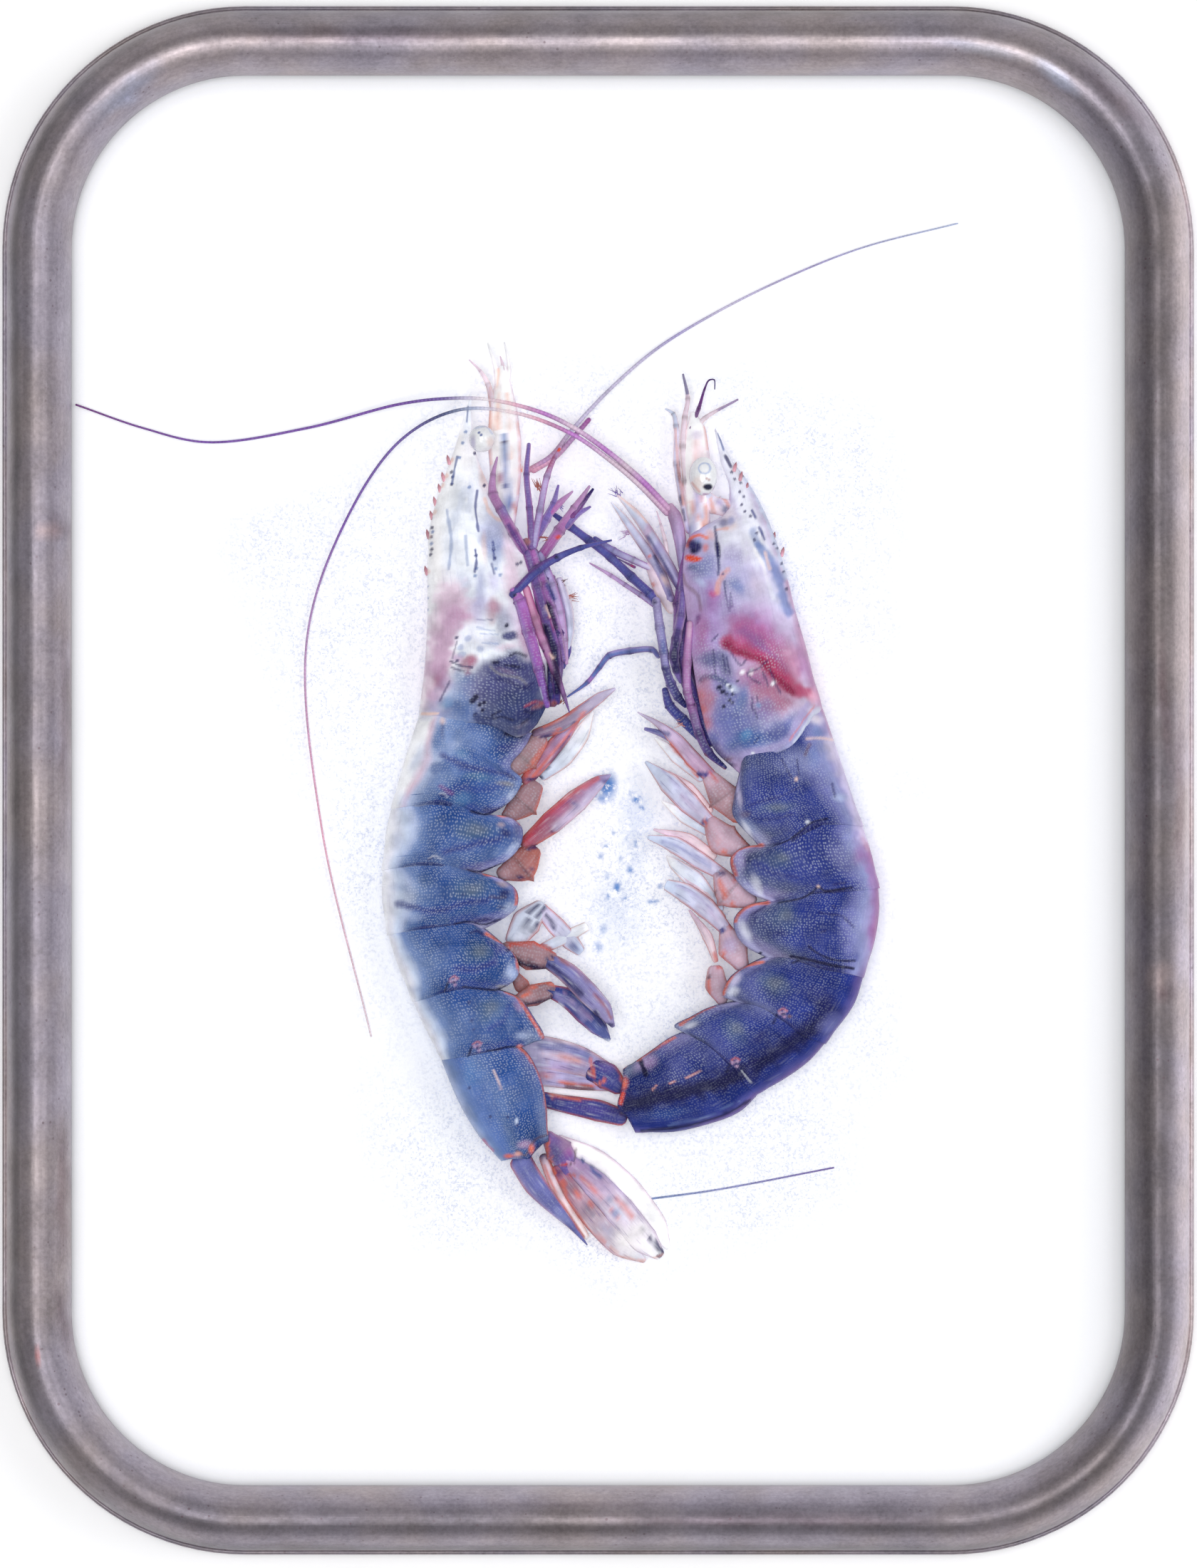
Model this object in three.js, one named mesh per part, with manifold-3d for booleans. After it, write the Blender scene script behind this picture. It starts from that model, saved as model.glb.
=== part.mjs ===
// Two prawn specimens lying on their sides on a white board, in a half-round metal frame with
// rounded corners. Millimetres, +Z up, the frame lying on its back: +Y runs up the picture, +X to
// its right, and z = 0 is the back of the board and frame.
import * as THREE from 'three';
import { mergeVertices } from 'three/addons/utils/BufferGeometryUtils.js';
import Module from 'manifold-3d';

// ---- driving dimensions -------------------------------------------------------------------
const OPENING = { width: 180, height: 241, radius: 29.7 };
const MOULDING = { width: 11.8, height: 16, lipHeight: 5, rabbetWidth: 4 };
const BOARD_THICKNESS = 3;
const GAP = 0.3;
const CORNER_STEPS = 6;
const LIMB_SIDES = 5;
const BLADE_SIDES = 4;

// where a section of a body is sampled, from the back ridge (0) to the free edge of its flap (1)
const SECTION_AT = [0, 0.08, 0.28, 0.56, 0.82, 1];
const SECTION_WIDEST = 0.5;
const FLAP_THICKNESS = 0.55;
const BELLY_AT = 0.78;

const COLOURS = {
  pewter: { color: 0x8f8688, roughness: 0.42, metalness: 0.85 },
  board: { color: 0xf6f7fa, roughness: 0.9, metalness: 0 },
  leftHead: { color: 0xb9b6d6, roughness: 0.45, metalness: 0 },
  leftBody: { color: 0x5570a8, roughness: 0.4, metalness: 0 },
  rightHead: { color: 0xa98fbe, roughness: 0.45, metalness: 0 },
  rightBody: { color: 0x444c93, roughness: 0.4, metalness: 0 },
  fan: { color: 0xa9a0cf, roughness: 0.4, metalness: 0 },
  eye: { color: 0xe9edf4, roughness: 0.25, metalness: 0 },
  antenna: { color: 0x9a6fc0, roughness: 0.4, metalness: 0 },
};

const wasm = await Module();
wasm.setup();

// ---- solids from rings --------------------------------------------------------------------
function signedVolume(positions, index) {
  const [a, b, c] = [new THREE.Vector3(), new THREE.Vector3(), new THREE.Vector3()];
  let volume = 0;
  for (let i = 0; i < index.length; i += 3) {
    a.fromArray(positions, 3 * index[i]);
    b.fromArray(positions, 3 * index[i + 1]);
    c.fromArray(positions, 3 * index[i + 2]);
    volume += a.dot(b.cross(c)) / 6;
  }
  return volume;
}

// triangles that close a ring, wound the way the ring runs
function capFaces(ring) {
  const plan = (p) => new THREE.Vector2(p.x - ring[0].x, p.y - ring[0].y);
  const across = ring.map(plan).reduce((far, p) => (p.length() > far.length() ? p : far));
  const along = across.clone().normalize();
  const contour = ring.map((p) => new THREE.Vector2(plan(p).dot(along), p.z));
  const ringTurn = Math.sign(THREE.ShapeUtils.area(contour));
  return THREE.ShapeUtils.triangulateShape(contour, []).map((face) => {
    const turn = Math.sign(THREE.ShapeUtils.area(face.map((i) => contour[i])));
    return turn === ringTurn ? face : [face[0], face[2], face[1]];
  });
}

// a closed body through a row of rings with the same number of points; joined to its own start
// when it is a loop, and capped at both ends when it isn't
function loft(rings, loop = false) {
  const size = rings[0].length;
  const positions = rings.flat().flatMap((p) => [p.x, p.y, p.z]);
  const index = [];
  const spans = loop ? rings.length : rings.length - 1;
  for (let i = 0; i < spans; i += 1) {
    const here = i * size;
    const next = ((i + 1) % rings.length) * size;
    for (let j = 0; j < size; j += 1) {
      const k = (j + 1) % size;
      index.push(here + j, here + k, next + k, here + j, next + k, next + j);
    }
  }
  if (!loop) {
    const last = (rings.length - 1) * size;
    capFaces(rings[0]).forEach(([a, b, c]) => index.push(c, b, a));
    capFaces(rings.at(-1)).forEach(([a, b, c]) => index.push(last + a, last + b, last + c));
  }
  if (signedVolume(positions, index) < 0) index.reverse();
  const geometry = new THREE.BufferGeometry();
  geometry.setAttribute('position', new THREE.Float32BufferAttribute(positions, 3));
  geometry.setIndex(index);
  return geometry;
}

// ---- booleans -----------------------------------------------------------------------------
function solid(geometry) {
  const bare = geometry.clone();
  bare.deleteAttribute('normal');
  bare.deleteAttribute('uv');
  const merged = mergeVertices(bare, 1e-4);
  const vertProperties = new Float32Array(merged.attributes.position.array);
  const triVerts = new Uint32Array(merged.index.array);
  return new wasm.Manifold(new wasm.Mesh({ numProp: 3, vertProperties, triVerts }));
}

function fuse(geometries) {
  const joined = geometries.map(solid).reduce((all, next) => all.add(next)).getMesh();
  const geometry = new THREE.BufferGeometry();
  geometry.setAttribute('position', new THREE.BufferAttribute(joined.vertProperties, 3));
  geometry.setIndex(new THREE.BufferAttribute(joined.triVerts, 1));
  return geometry;
}

// ---- forms of a prawn ---------------------------------------------------------------------
function planCurve(points) {
  return new THREE.CatmullRomCurve3(points.map(([x, y]) => new THREE.Vector3(x, y, 0)));
}

function interpolate(values, t) {
  const place = t * (values.length - 1);
  const low = Math.min(Math.floor(place), values.length - 2);
  return THREE.MathUtils.lerp(values[low], values[low + 1], place - low);
}

// a leg, whisker, blade or stalk: stations are [x, y, z, half width, half height]
function limb(stations, steps = stations.length + 1, sides = LIMB_SIDES) {
  const curve = new THREE.CatmullRomCurve3(stations.map(([x, y, z]) => new THREE.Vector3(x, y, z)));
  const widths = stations.map((s) => s[3]);
  const heights = stations.map((s) => s[4]);
  const rings = [];
  for (let i = 0; i <= steps; i += 1) {
    const t = i / steps;
    const centre = curve.getPoint(t);
    const ahead = curve.getTangent(t);
    const side = new THREE.Vector3(ahead.y, -ahead.x, 0).normalize();
    const up = new THREE.Vector3().crossVectors(side, ahead);
    rings.push(Array.from({ length: sides }, (_, j) => {
      const turn = (2 * Math.PI * j) / sides;
      return centre.clone()
        .addScaledVector(side, interpolate(widths, t) * Math.cos(turn))
        .addScaledVector(up, interpolate(heights, t) * Math.sin(turn));
    }));
  }
  return loft(rings);
}

// a flat limb with two sharp edges, such as a scale of the tail fan
function blade(stations, steps) {
  return limb(stations, steps, BLADE_SIDES);
}

// a round limb of one radius at each end: path is [x, y, z] points
function whisker(path, rootRadius, tipRadius, steps) {
  const stations = path.map((p, i) => {
    const radius = THREE.MathUtils.lerp(rootRadius, tipRadius, i / (path.length - 1));
    return [...p, radius, radius];
  });
  return limb(stations, steps, BLADE_SIDES);
}

function halfThicknessAt(u) {
  if (u < SECTION_WIDEST) return Math.sqrt(1 - ((SECTION_WIDEST - u) / SECTION_WIDEST) ** 2);
  return 1 - (1 - FLAP_THICKNESS) * ((u - SECTION_WIDEST) / (1 - SECTION_WIDEST)) ** 2;
}

// one plate of the body: dorsal and ventral run from its front to its rear, front and rear from
// the back ridge to the flap edge; half and centre give its thickness and height, front to rear
function plate({ dorsal, ventral, front, rear, half, centre, steps }) {
  const [start, end] = [planCurve(front), planCurve(rear)];
  const axis = end.getPoint(0.5).sub(start.getPoint(0.5)).setLength(GAP / 2);
  start.points.forEach((p) => p.add(axis));
  end.points.forEach((p) => p.sub(axis));
  const [back, belly] = [planCurve(dorsal), planCurve(ventral)];
  [[back, 0], [belly, 1]].forEach(([edge, u]) => {
    edge.points[0].copy(start.getPoint(u));
    edge.points.at(-1).copy(end.getPoint(u));
  });
  const corner = (u, v) => new THREE.Vector3()
    .addScaledVector(start.getPoint(0), (1 - u) * (1 - v))
    .addScaledVector(start.getPoint(1), u * (1 - v))
    .addScaledVector(end.getPoint(0), (1 - u) * v)
    .addScaledVector(end.getPoint(1), u * v);
  const at = (u, v) => new THREE.Vector3()
    .addScaledVector(start.getPoint(u), 1 - v)
    .addScaledVector(end.getPoint(u), v)
    .addScaledVector(back.getPoint(v), 1 - u)
    .addScaledVector(belly.getPoint(v), u)
    .sub(corner(u, v));
  const rings = [];
  for (let i = 0; i <= steps; i += 1) {
    const v = i / steps;
    const [middle, thick] = [interpolate(centre, v), interpolate(half, v)];
    const raised = (u, side) => at(u, v).setZ(middle + side * thick * halfThicknessAt(u));
    const near = SECTION_AT.map((u) => raised(u, 1));
    const far = SECTION_AT.slice(1).reverse().map((u) => raised(u, -1));
    rings.push([...near, at(BELLY_AT, v).setZ(middle), ...far]);
  }
  return loft(rings);
}

// the teeth along the back ridge of the rostrum, leaning forward and outward
function teeth(dorsal, centre, { from, to, count, outward }) {
  const ridge = planCurve(dorsal);
  return Array.from({ length: count }, (_, i) => {
    const v = THREE.MathUtils.lerp(from, to, i / (count - 1));
    const root = ridge.getPoint(v);
    const ahead = ridge.getTangent(v).negate();
    const out = new THREE.Vector3(ahead.y, -ahead.x, 0).multiplyScalar(outward);
    const z = interpolate(centre, v);
    const base = root.clone().addScaledVector(out, -0.5);
    const tip = root.clone().addScaledVector(out, 0.8).addScaledVector(ahead, 1.3);
    return limb([[base.x, base.y, z, 0.75, 0.5], [tip.x, tip.y, z, 0.12, 0.12]], 1, 4);
  });
}

function eyeball([x, y, z], [rx, ry, rz]) {
  const geometry = new THREE.SphereGeometry(1, 9, 6);
  geometry.rotateX(Math.PI / 2);
  geometry.scale(rx, ry, rz);
  geometry.translate(x, y, z);
  return fuse([geometry]);
}

// ---- frame and board ----------------------------------------------------------------------
// points round a rounded rectangle that stands `out` beyond the opening
function roundedLoop(out) {
  const radius = OPENING.radius + out;
  const [dx, dy] = [OPENING.width / 2 - OPENING.radius, OPENING.height / 2 - OPENING.radius];
  const corners = [[dx, dy, 0], [-dx, dy, 1], [-dx, -dy, 2], [dx, -dy, 3]];
  return corners.flatMap(([x, y, quarter]) => Array.from({ length: CORNER_STEPS + 1 }, (_, i) => {
    const turn = (Math.PI / 2) * (quarter + i / CORNER_STEPS);
    return new THREE.Vector2(x + radius * Math.cos(turn), y + radius * Math.sin(turn));
  }));
}

function mouldingProfile() {
  const { width, height, lipHeight, rabbetWidth } = MOULDING;
  const lipWidth = 1.8;
  const bulge = (width - lipWidth) / 2;
  const crown = [0.08, 0.29, 0.5, 0.71, 0.92].map((halfTurn) => {
    const turn = Math.PI * halfTurn;
    return [bulge + bulge * Math.cos(turn), lipHeight + (height - lipHeight) * Math.sin(turn)];
  });
  const rabbetTop = BOARD_THICKNESS + GAP;
  return [
    [width, 0], [width, lipHeight - 1.4], [width - 0.6, lipHeight], [width - lipWidth, lipHeight - 0.4],
    ...crown,
    [0, rabbetTop], [rabbetWidth, rabbetTop], [rabbetWidth, 0],
  ];
}

function mouldingRing() {
  const loops = mouldingProfile().map(([out, z]) => roundedLoop(out).map((p) => new THREE.Vector3(p.x, p.y, z)));
  const stations = loops[0].map((_, i) => loops.map((points) => points[i]));
  return loft(stations, true);
}

function backingBoard() {
  const shape = new THREE.Shape(roundedLoop(MOULDING.rabbetWidth - GAP));
  return new THREE.ExtrudeGeometry(shape, { depth: BOARD_THICKNESS, bevelEnabled: false });
}

// ---- the left prawn -----------------------------------------------------------------------
const leftSeams = [
  [[-30.7, 10.6], [-24, 10.4], [-18, 9.7], [-14, 7.4], [-11.6, 7]],
  [[-35, -4], [-30, -3.4], [-26, -3.1], [-22, -5.2], [-18.6, -5.8]],
  [[-36.7, -14.5], [-32, -13.8], [-28, -13.6], [-22.7, -15.1], [-20, -15.7]],
  [[-36, -25.5], [-31, -24.6], [-26, -24.2], [-22, -24.2], [-19.3, -25.2]],
  [[-31.8, -37], [-28, -35.8], [-24.5, -34.8], [-20, -35.1], [-16.8, -35.6]],
  [[-27, -46.8], [-23.5, -46.2], [-20.5, -45.8], [-17, -45.4], [-13, -45.4]],
  [[-17, -64.2], [-14.2, -63.2], [-12.2, -63.6], [-10.6, -61.6], [-8.6, -60.6]],
];
const leftDorsal = [
  [[-32.5, 5], [-34, 0]],
  [[-36, -8]],
  [[-36.8, -20]],
  [[-34.3, -31]],
  [[-29.6, -42]],
  [[-25.6, -50.5], [-23.4, -55.5], [-20, -61]],
];
const leftFlaps = [
  [[-13, 5], [-14.9, 2.4], [-13, 0.2], [-13.6, -1.8], [-15.6, -4.1]],
  [[-15, -6.3], [-13, -8], [-13.2, -11], [-15.5, -13.6]],
  [[-16.5, -16.8], [-13.9, -18.8], [-13.8, -21.5], [-15.6, -23.2]],
  [[-16.5, -27.6], [-14, -30], [-13.5, -32.8], [-14.8, -34.5]],
  [[-13.5, -37], [-11, -40.3], [-9.2, -43.9], [-10.8, -44.5]],
  [[-11.6, -47], [-9.7, -51], [-8.8, -55.5]],
];
const leftHalf = [5.4, 5.4, 5.3, 5.1, 4.8, 4.2, 3.2];
const leftCentre = [8.9, 8.9, 8.9, 8.9, 9.4, 10.2, 9.4];

const leftSwimmerets = [
  [
    limb([[-16, 1.8, 9.4, 2.4, 1.5], [-12.2, 5, 9.8, 2.2, 1.4], [-10.2, 6.8, 9.8, 1.4, 1]], 3),
    blade([[-10.8, 6.2, 10, 1.3, 0.9], [-6.6, 10.2, 10, 1.6, 0.6], [-2.5, 13.2, 9.4, 1.2, 0.5],
      [1.7, 15.5, 8.6, 0.2, 0.2]], 3),
    blade([[-10.8, 6, 9.2, 1, 0.8], [-6, 8.6, 8.9, 1.5, 0.5], [-2.6, 10.8, 8.4, 1.2, 0.4],
      [-0.5, 13.4, 7.8, 0.2, 0.2]], 3),
  ],
  [
    limb([[-18, -8.6, 8.9, 2.2, 1.4], [-14.6, -4.4, 8.9, 2.3, 1.3], [-11.4, -0.4, 9, 1.5, 1]], 3),
    blade([[-12.2, -1.2, 9, 1.5, 0.9], [-8.4, 3.4, 8.2, 1.7, 0.6], [-5, 8.2, 7.2, 1.4, 0.5],
      [-2, 12.8, 6.4, 0.2, 0.2]], 3),
    blade([[-12, -1.6, 8.4, 1, 0.8], [-7, 1.6, 6.9, 2, 0.5], [-3.4, 5.8, 5.9, 1.8, 0.4],
      [-1.2, 11.2, 5.2, 0.2, 0.2]], 3),
  ],
  [
    limb([[-18, -18, 9.2, 2.2, 1.8], [-14.4, -15, 9.4, 2.5, 1.6], [-11.4, -12.2, 9.2, 1.6, 1.1]], 3),
    blade([[-12.4, -12.8, 9.2, 1.5, 0.9], [-8, -8, 8.8, 1.9, 0.6], [-3, -3.4, 8, 1.7, 0.5],
      [2.6, 0.8, 7, 0.3, 0.2]], 3),
  ],
  [
    blade([[-18, -29.5, 10, 2.2, 1.6], [-12, -30.2, 10.4, 2.6, 1.5], [-8.2, -31, 10.2, 1.7, 1.1]], 3),
    blade([[-9, -31, 10.4, 1.6, 1], [-4.6, -33, 10.8, 1.9, 0.6], [-1, -37, 10.7, 1.8, 0.5],
      [2, -41.8, 10, 0.5, 0.3]], 3),
    blade([[-17, -28.6, 7, 1.8, 1.2], [-13, -25.2, 6.6, 2.2, 1.1], [-9.6, -22.6, 6.4, 1.7, 0.9]], 3),
    blade([[-10, -22.4, 6.4, 1.8, 0.8], [-7.4, -25.2, 6.2, 2, 0.5], [-3.4, -29.4, 5.8, 0.8, 0.3]], 3),
    blade([[-11, -26.8, 6.6, 1, 0.6], [-5.6, -26.4, 6, 1.2, 0.4], [-0.2, -23.9, 5.6, 0.5, 0.2]], 3),
  ],
  [
    limb([[-17, -40, 9.8, 2.2, 1.4], [-12, -37.4, 9.6, 2.1, 1.2], [-8.4, -35.8, 9.4, 1.5, 0.9]], 3),
    blade([[-9.2, -35.9, 9.4, 1.5, 0.9], [-4.6, -37, 8.8, 2.2, 0.6], [-1.4, -40.6, 8, 2, 0.5],
      [1.8, -44.2, 7.2, 0.6, 0.3]], 3),
    limb([[-16.4, -37.4, 7.4, 1.6, 1.1], [-13, -35, 7, 1.5, 0.9], [-10.4, -33.8, 6.8, 0.8, 0.6]], 3),
  ],
  [],
];

const leftCarapace = {
  dorsal: [[-21.9, 66.2], [-23.6, 59.5], [-25.3, 54.3], [-27.4, 48.4], [-28.8, 42.5], [-29.1, 35.5],
    [-29.1, 28], [-29.5, 20], [-30.6, 11]],
  ventral: [[-21.6, 65.9], [-21.5, 60.3], [-20.6, 55], [-17.2, 47.5], [-14.3, 42.2], [-12, 36],
    [-10.4, 28.5], [-8.8, 20.5], [-8.6, 14]],
  front: [[-21.9, 66.2], [-21.75, 66.1], [-21.6, 65.9]],
  rear: [[-30.6, 11], [-24, 10.8], [-18, 10.2], [-13.6, 8.3], [-11, 9.8], [-8.6, 14]],
  half: [0.25, 0.7, 1.6, 3.4, 4.5, 5.1, 5.4, 5.5, 5.4],
  centre: [6.4, 6.8, 7.3, 7.9, 8.4, 8.8, 8.9, 8.9, 8.9],
  steps: 10,
};

const leftHeadLimbs = [
  // antennal scale and the three whiskers of the antennules
  limb([[-16.6, 43.5, 8, 2, 1.6], [-14.9, 51, 7.4, 1.9, 1.3], [-15.9, 58, 6.6, 2.5, 1],
    [-16.6, 64, 6.2, 2.2, 0.8], [-16.2, 69.6, 5.8, 0.5, 0.3]], 5),
  whisker([[-17.4, 63.4, 6.2], [-18.4, 67.6, 6], [-21.4, 71.2, 5.8], [-25.6, 73.8, 5.4]], 0.55, 0.25, 6),
  whisker([[-16.8, 65, 6.1], [-17.2, 70, 5.8], [-18.4, 75.2, 5.4]], 0.5, 0.25, 4),
  whisker([[-16, 66, 6], [-16, 71, 5.8], [-16.1, 74.4, 5.6]], 0.5, 0.25, 4),
];

const leftLegs = [
  // bases of the walking legs, in a row under the edge of the carapace
  limb([[-12.6, 41, 8.8, 1.6, 1.8], [-9.6, 34, 8.9, 2.4, 2.8], [-7.6, 25, 8.9, 2.6, 3.2],
    [-8.2, 13.6, 8.9, 1.8, 2.8]], 4, 6),
  // pincered legs, reaching forward and to the right
  limb([[-12, 39, 9.4, 1, 1], [-8.4, 46.2, 9.6, 0.8, 0.8], [-6.6, 49.8, 9.6, 0.3, 0.3]], 3),
  limb([[-8.2, 46, 9.6, 0.7, 0.7], [-6.4, 47.3, 9.6, 0.7, 0.7], [-4.5, 49, 9.4, 0.25, 0.25]], 2),
  limb([[-10.2, 36.4, 9.4, 1, 1], [-5.2, 44, 9.4, 0.9, 0.9], [-1.5, 50.1, 9.2, 0.3, 0.3]], 4),
  limb([[-4.4, 45, 9.4, 0.8, 0.8], [-0.9, 49.6, 9, 0.3, 0.3]], 2),
  limb([[-5.4, 43.4, 9.4, 0.8, 0.8], [-3.8, 45.2, 9.3, 0.7, 0.7], [-1.4, 46.6, 9, 0.25, 0.25]], 2),
  // upright legs in front of the head
  limb([[-12, 39, 10, 1, 1], [-11.8, 46.4, 10.4, 0.8, 0.8], [-12.2, 52, 10.4, 0.8, 0.7],
    [-11.8, 57.4, 10.2, 0.3, 0.3]], 4),
  limb([[-11, 39.6, 10, 0.9, 0.9], [-9.8, 47, 10.2, 0.8, 0.8], [-8.6, 52.4, 10, 0.7, 0.7],
    [-6.5, 56.6, 9.8, 0.3, 0.3]], 4),
  limb([[-12.2, 38, 10.4, 0.9, 0.9], [-14, 41, 12.6, 0.9, 0.8], [-17.2, 46, 12.2, 0.9, 0.7],
    [-18.2, 50, 11.2, 0.8, 0.6], [-17.5, 54, 10.2, 0.3, 0.3]], 5),
  // the folded front leg, with its knee over the carapace
  limb([[-8.6, 12.6, 12, 0.7, 0.9], [-9.6, 20, 13, 0.9, 0.9], [-11.8, 26.6, 13.2, 0.9, 0.9],
    [-14.2, 31.6, 13.4, 0.9, 0.8]], 4),
  limb([[-14.2, 31, 13.4, 0.9, 0.8], [-10, 36, 12.6, 0.8, 0.7], [-5, 39, 11.2, 0.7, 0.6],
    [2.2, 40.9, 9.8, 0.25, 0.25]], 4),
  // two straight legs laid back along the belly
  limb([[-12.3, 38.4, 11, 0.9, 0.9], [-9.6, 30, 12, 1, 0.9], [-7.2, 21.6, 12, 1, 0.9],
    [-5.1, 12, 11, 0.3, 0.3]], 4),
  limb([[-10.7, 38.6, 10.6, 0.8, 0.8], [-7.8, 30, 11.4, 0.9, 0.8], [-6, 21.6, 11.2, 0.5, 0.5]], 4),
];

const leftTail = {
  telson: [
    limb([[-13.5, -64.8, 9, 1.9, 1.3], [-10.8, -69.2, 8, 1.7, 1.1], [-7.2, -73, 6.8, 1.1, 0.8],
      [-4.2, -76.4, 5.8, 0.6, 0.5], [-1.9, -79.3, 5, 0.12, 0.15]], 6),
  ],
  uropods: [
    limb([[-9, -61.8, 9, 1.6, 1.5], [-6.6, -63.4, 8.4, 2.3, 1.5], [-5.2, -66, 7.4, 1.6, 0.9]], 3, 8),
    blade([[-6.6, -65.4, 7.4, 1.5, 0.9], [-3.2, -70, 6.4, 2, 0.7], [0.4, -74.4, 5.6, 2.3, 0.6],
      [3.6, -78.4, 5, 1.9, 0.5], [7.6, -82.2, 4.4, 0.4, 0.3]], 6),
    blade([[-5.6, -63.4, 7.8, 1.6, 1], [0, -67.8, 6.8, 2.3, 0.8], [4.6, -72.8, 5.8, 2.6, 0.6],
      [8.6, -77.6, 5, 2.3, 0.5], [10.4, -81.4, 4.5, 1, 0.3]], 6),
    blade([[-7, -62.4, 7.8, 1.2, 0.9], [0, -65.2, 5.4, 1.9, 0.6], [5.6, -70.6, 4.6, 2.2, 0.5],
      [10.2, -76.8, 4.1, 1.6, 0.4], [11.9, -80, 3.9, 0.4, 0.3]], 6),
    limb([[-8.4, -63.6, 6.8, 1, 0.8], [-7.2, -69, 5.8, 1.1, 0.6], [-4.8, -74, 4.8, 0.9, 0.5],
      [-2.3, -78.2, 4.2, 0.3, 0.3]], 5),
  ],
};

const leftAntenna = [
  whisker([[-11.7, 53, 6.8], [-8, 55.4, 6.4], [-4.5, 59.8, 6], [2, 66.8, 5], [9.8, 73.6, 4.3],
    [19.5, 79.6, 4], [31.7, 85.7, 3.9], [45, 91, 3.8], [61.4, 95.2, 3.7]], 0.75, 0.3, 16),
  whisker([[-11, 53, 6.6], [-7.4, 55.2, 6], [-4.2, 58.6, 5.4], [-1.6, 61.6, 4.8]], 0.7, 0.45, 5),
];

// ---- the right prawn ----------------------------------------------------------------------
const rightSeams = [
  [[38.1, 12.8], [35.8, 11.4], [34.4, 9], [32.3, 6.6], [29.1, 5.2], [24.8, 4.2], [24.1, 1.4]],
  [[44.8, -7], [38.9, -6.6], [35.9, -7.2], [31.6, -10.3], [27.4, -11]],
  [[47.7, -17.5], [41.4, -18.2], [35.3, -18.8], [31.4, -20.2], [29, -20.5]],
  [[45.4, -32.8], [43.2, -32.1], [37.7, -31.2], [32.3, -30], [28.4, -30]],
  [[39.2, -44.2], [35, -42.5], [31.6, -40.2], [27, -38.2], [23.1, -37.6]],
  [[27.6, -53.2], [25.5, -51], [23.8, -48.6], [19, -45], [14.4, -42.9]],
  [[7.2, -60], [6.3, -57.6], [4.2, -55.4], [4.9, -52.4], [5, -48.9]],
];
const rightDorsal = [
  [[40.4, 6.1], [42.6, -0.5]],
  [[46.6, -12.6]],
  [[47.9, -22], [47.1, -27.5]],
  [[43.6, -38.2]],
  [[36, -47.8], [31.6, -51]],
  [[24, -56.6], [17.5, -59], [12.5, -60]],
];
const rightFlaps = [
  [[23.1, -3], [22.9, -5.8], [25.2, -8.8]],
  [[24.6, -11.4], [22.6, -13.2], [23.2, -16.4], [25.8, -19.2]],
  [[25.4, -21.3], [23.2, -23.6], [23.6, -26.4], [25.6, -28.6]],
  [[25.2, -31.6], [22.4, -33.7], [21.2, -36.6]],
  [[19, -38.7], [15.6, -40.4], [13, -41.9]],
  [[12.2, -43.9], [8.6, -46.4]],
];
const rightHalf = [5.5, 5.5, 5.4, 5.2, 4.9, 4.4, 3];
const rightCentre = [9, 9, 8.9, 8.7, 8.4, 7.9, 6.6];

const rightSwimmerets = [
  [
    limb([[25, -5.6, 9.6, 2.4, 1.8], [21, -2.6, 9.8, 2.6, 1.6], [18, 0.2, 9.6, 1.4, 1.1]], 3),
    blade([[18.6, -0.4, 9.6, 1.4, 0.9], [15, 4, 9.2, 1.6, 0.6], [11.4, 7.4, 8.4, 1, 0.5],
      [6.6, 10.6, 7.4, 0.2, 0.2]], 3),
    blade([[18.2, -0.8, 8, 1, 0.8], [13.4, 4.4, 7.4, 1.3, 0.5], [8.2, 8.6, 6.6, 0.3, 0.2]], 3),
  ],
  [
    blade([[27, -13.6, 9.4, 2.4, 1.8], [22.6, -10.6, 9.6, 3, 1.6], [19, -7.2, 9.4, 1.5, 1.1]], 3),
    blade([[19.6, -7.8, 9.4, 1.5, 0.9], [15.6, -3.6, 9, 1.9, 0.6], [12, -0.2, 8.2, 1.5, 0.5],
      [8.2, 3.2, 7.2, 0.2, 0.2]], 3),
    blade([[20, -9.6, 8.8, 1.1, 0.8], [15, -6, 7.2, 1.5, 0.5], [11, -3, 6.4, 0.3, 0.2]], 3),
  ],
  [
    limb([[27.4, -22.6, 9.2, 2.2, 1.8], [23.6, -19, 9.4, 2.6, 1.6], [21, -15.8, 9.2, 1.6, 1.1]], 3),
    blade([[21.6, -16.4, 9.2, 1.5, 0.9], [17.4, -13.2, 8.8, 1.6, 0.6], [12.6, -11, 8, 1.4, 0.5],
      [8, -8.6, 7, 0.3, 0.2]], 3),
  ],
  [
    limb([[27, -32, 9, 2.2, 1.8], [23.4, -29, 9.2, 2.4, 1.6], [21.8, -25.4, 9, 1.6, 1.1]], 3),
    blade([[22, -26.2, 9, 1.5, 0.9], [18.6, -22, 8.6, 2.2, 0.6], [15, -19.4, 7.8, 1.7, 0.5],
      [11.7, -17.4, 6.8, 0.4, 0.3]], 3),
    blade([[21.8, -26, 7.4, 1, 0.8], [17.6, -19, 6.8, 1.8, 0.5], [14, -15.4, 6.2, 1.2, 0.4],
      [11.7, -13, 5.8, 0.2, 0.2]], 3),
  ],
  [
    limb([[23.4, -40, 8.3, 1.5, 1.2], [20.2, -36.6, 8.3, 1.4, 1.1], [19.6, -32.6, 8.3, 1.3, 1]], 3),
    limb([[19.8, -33.4, 8.6, 1.1, 0.8], [18.8, -29, 8.2, 0.8, 0.5], [17.2, -25, 7.6, 0.3, 0.2]], 3),
  ],
  [],
];

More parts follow.
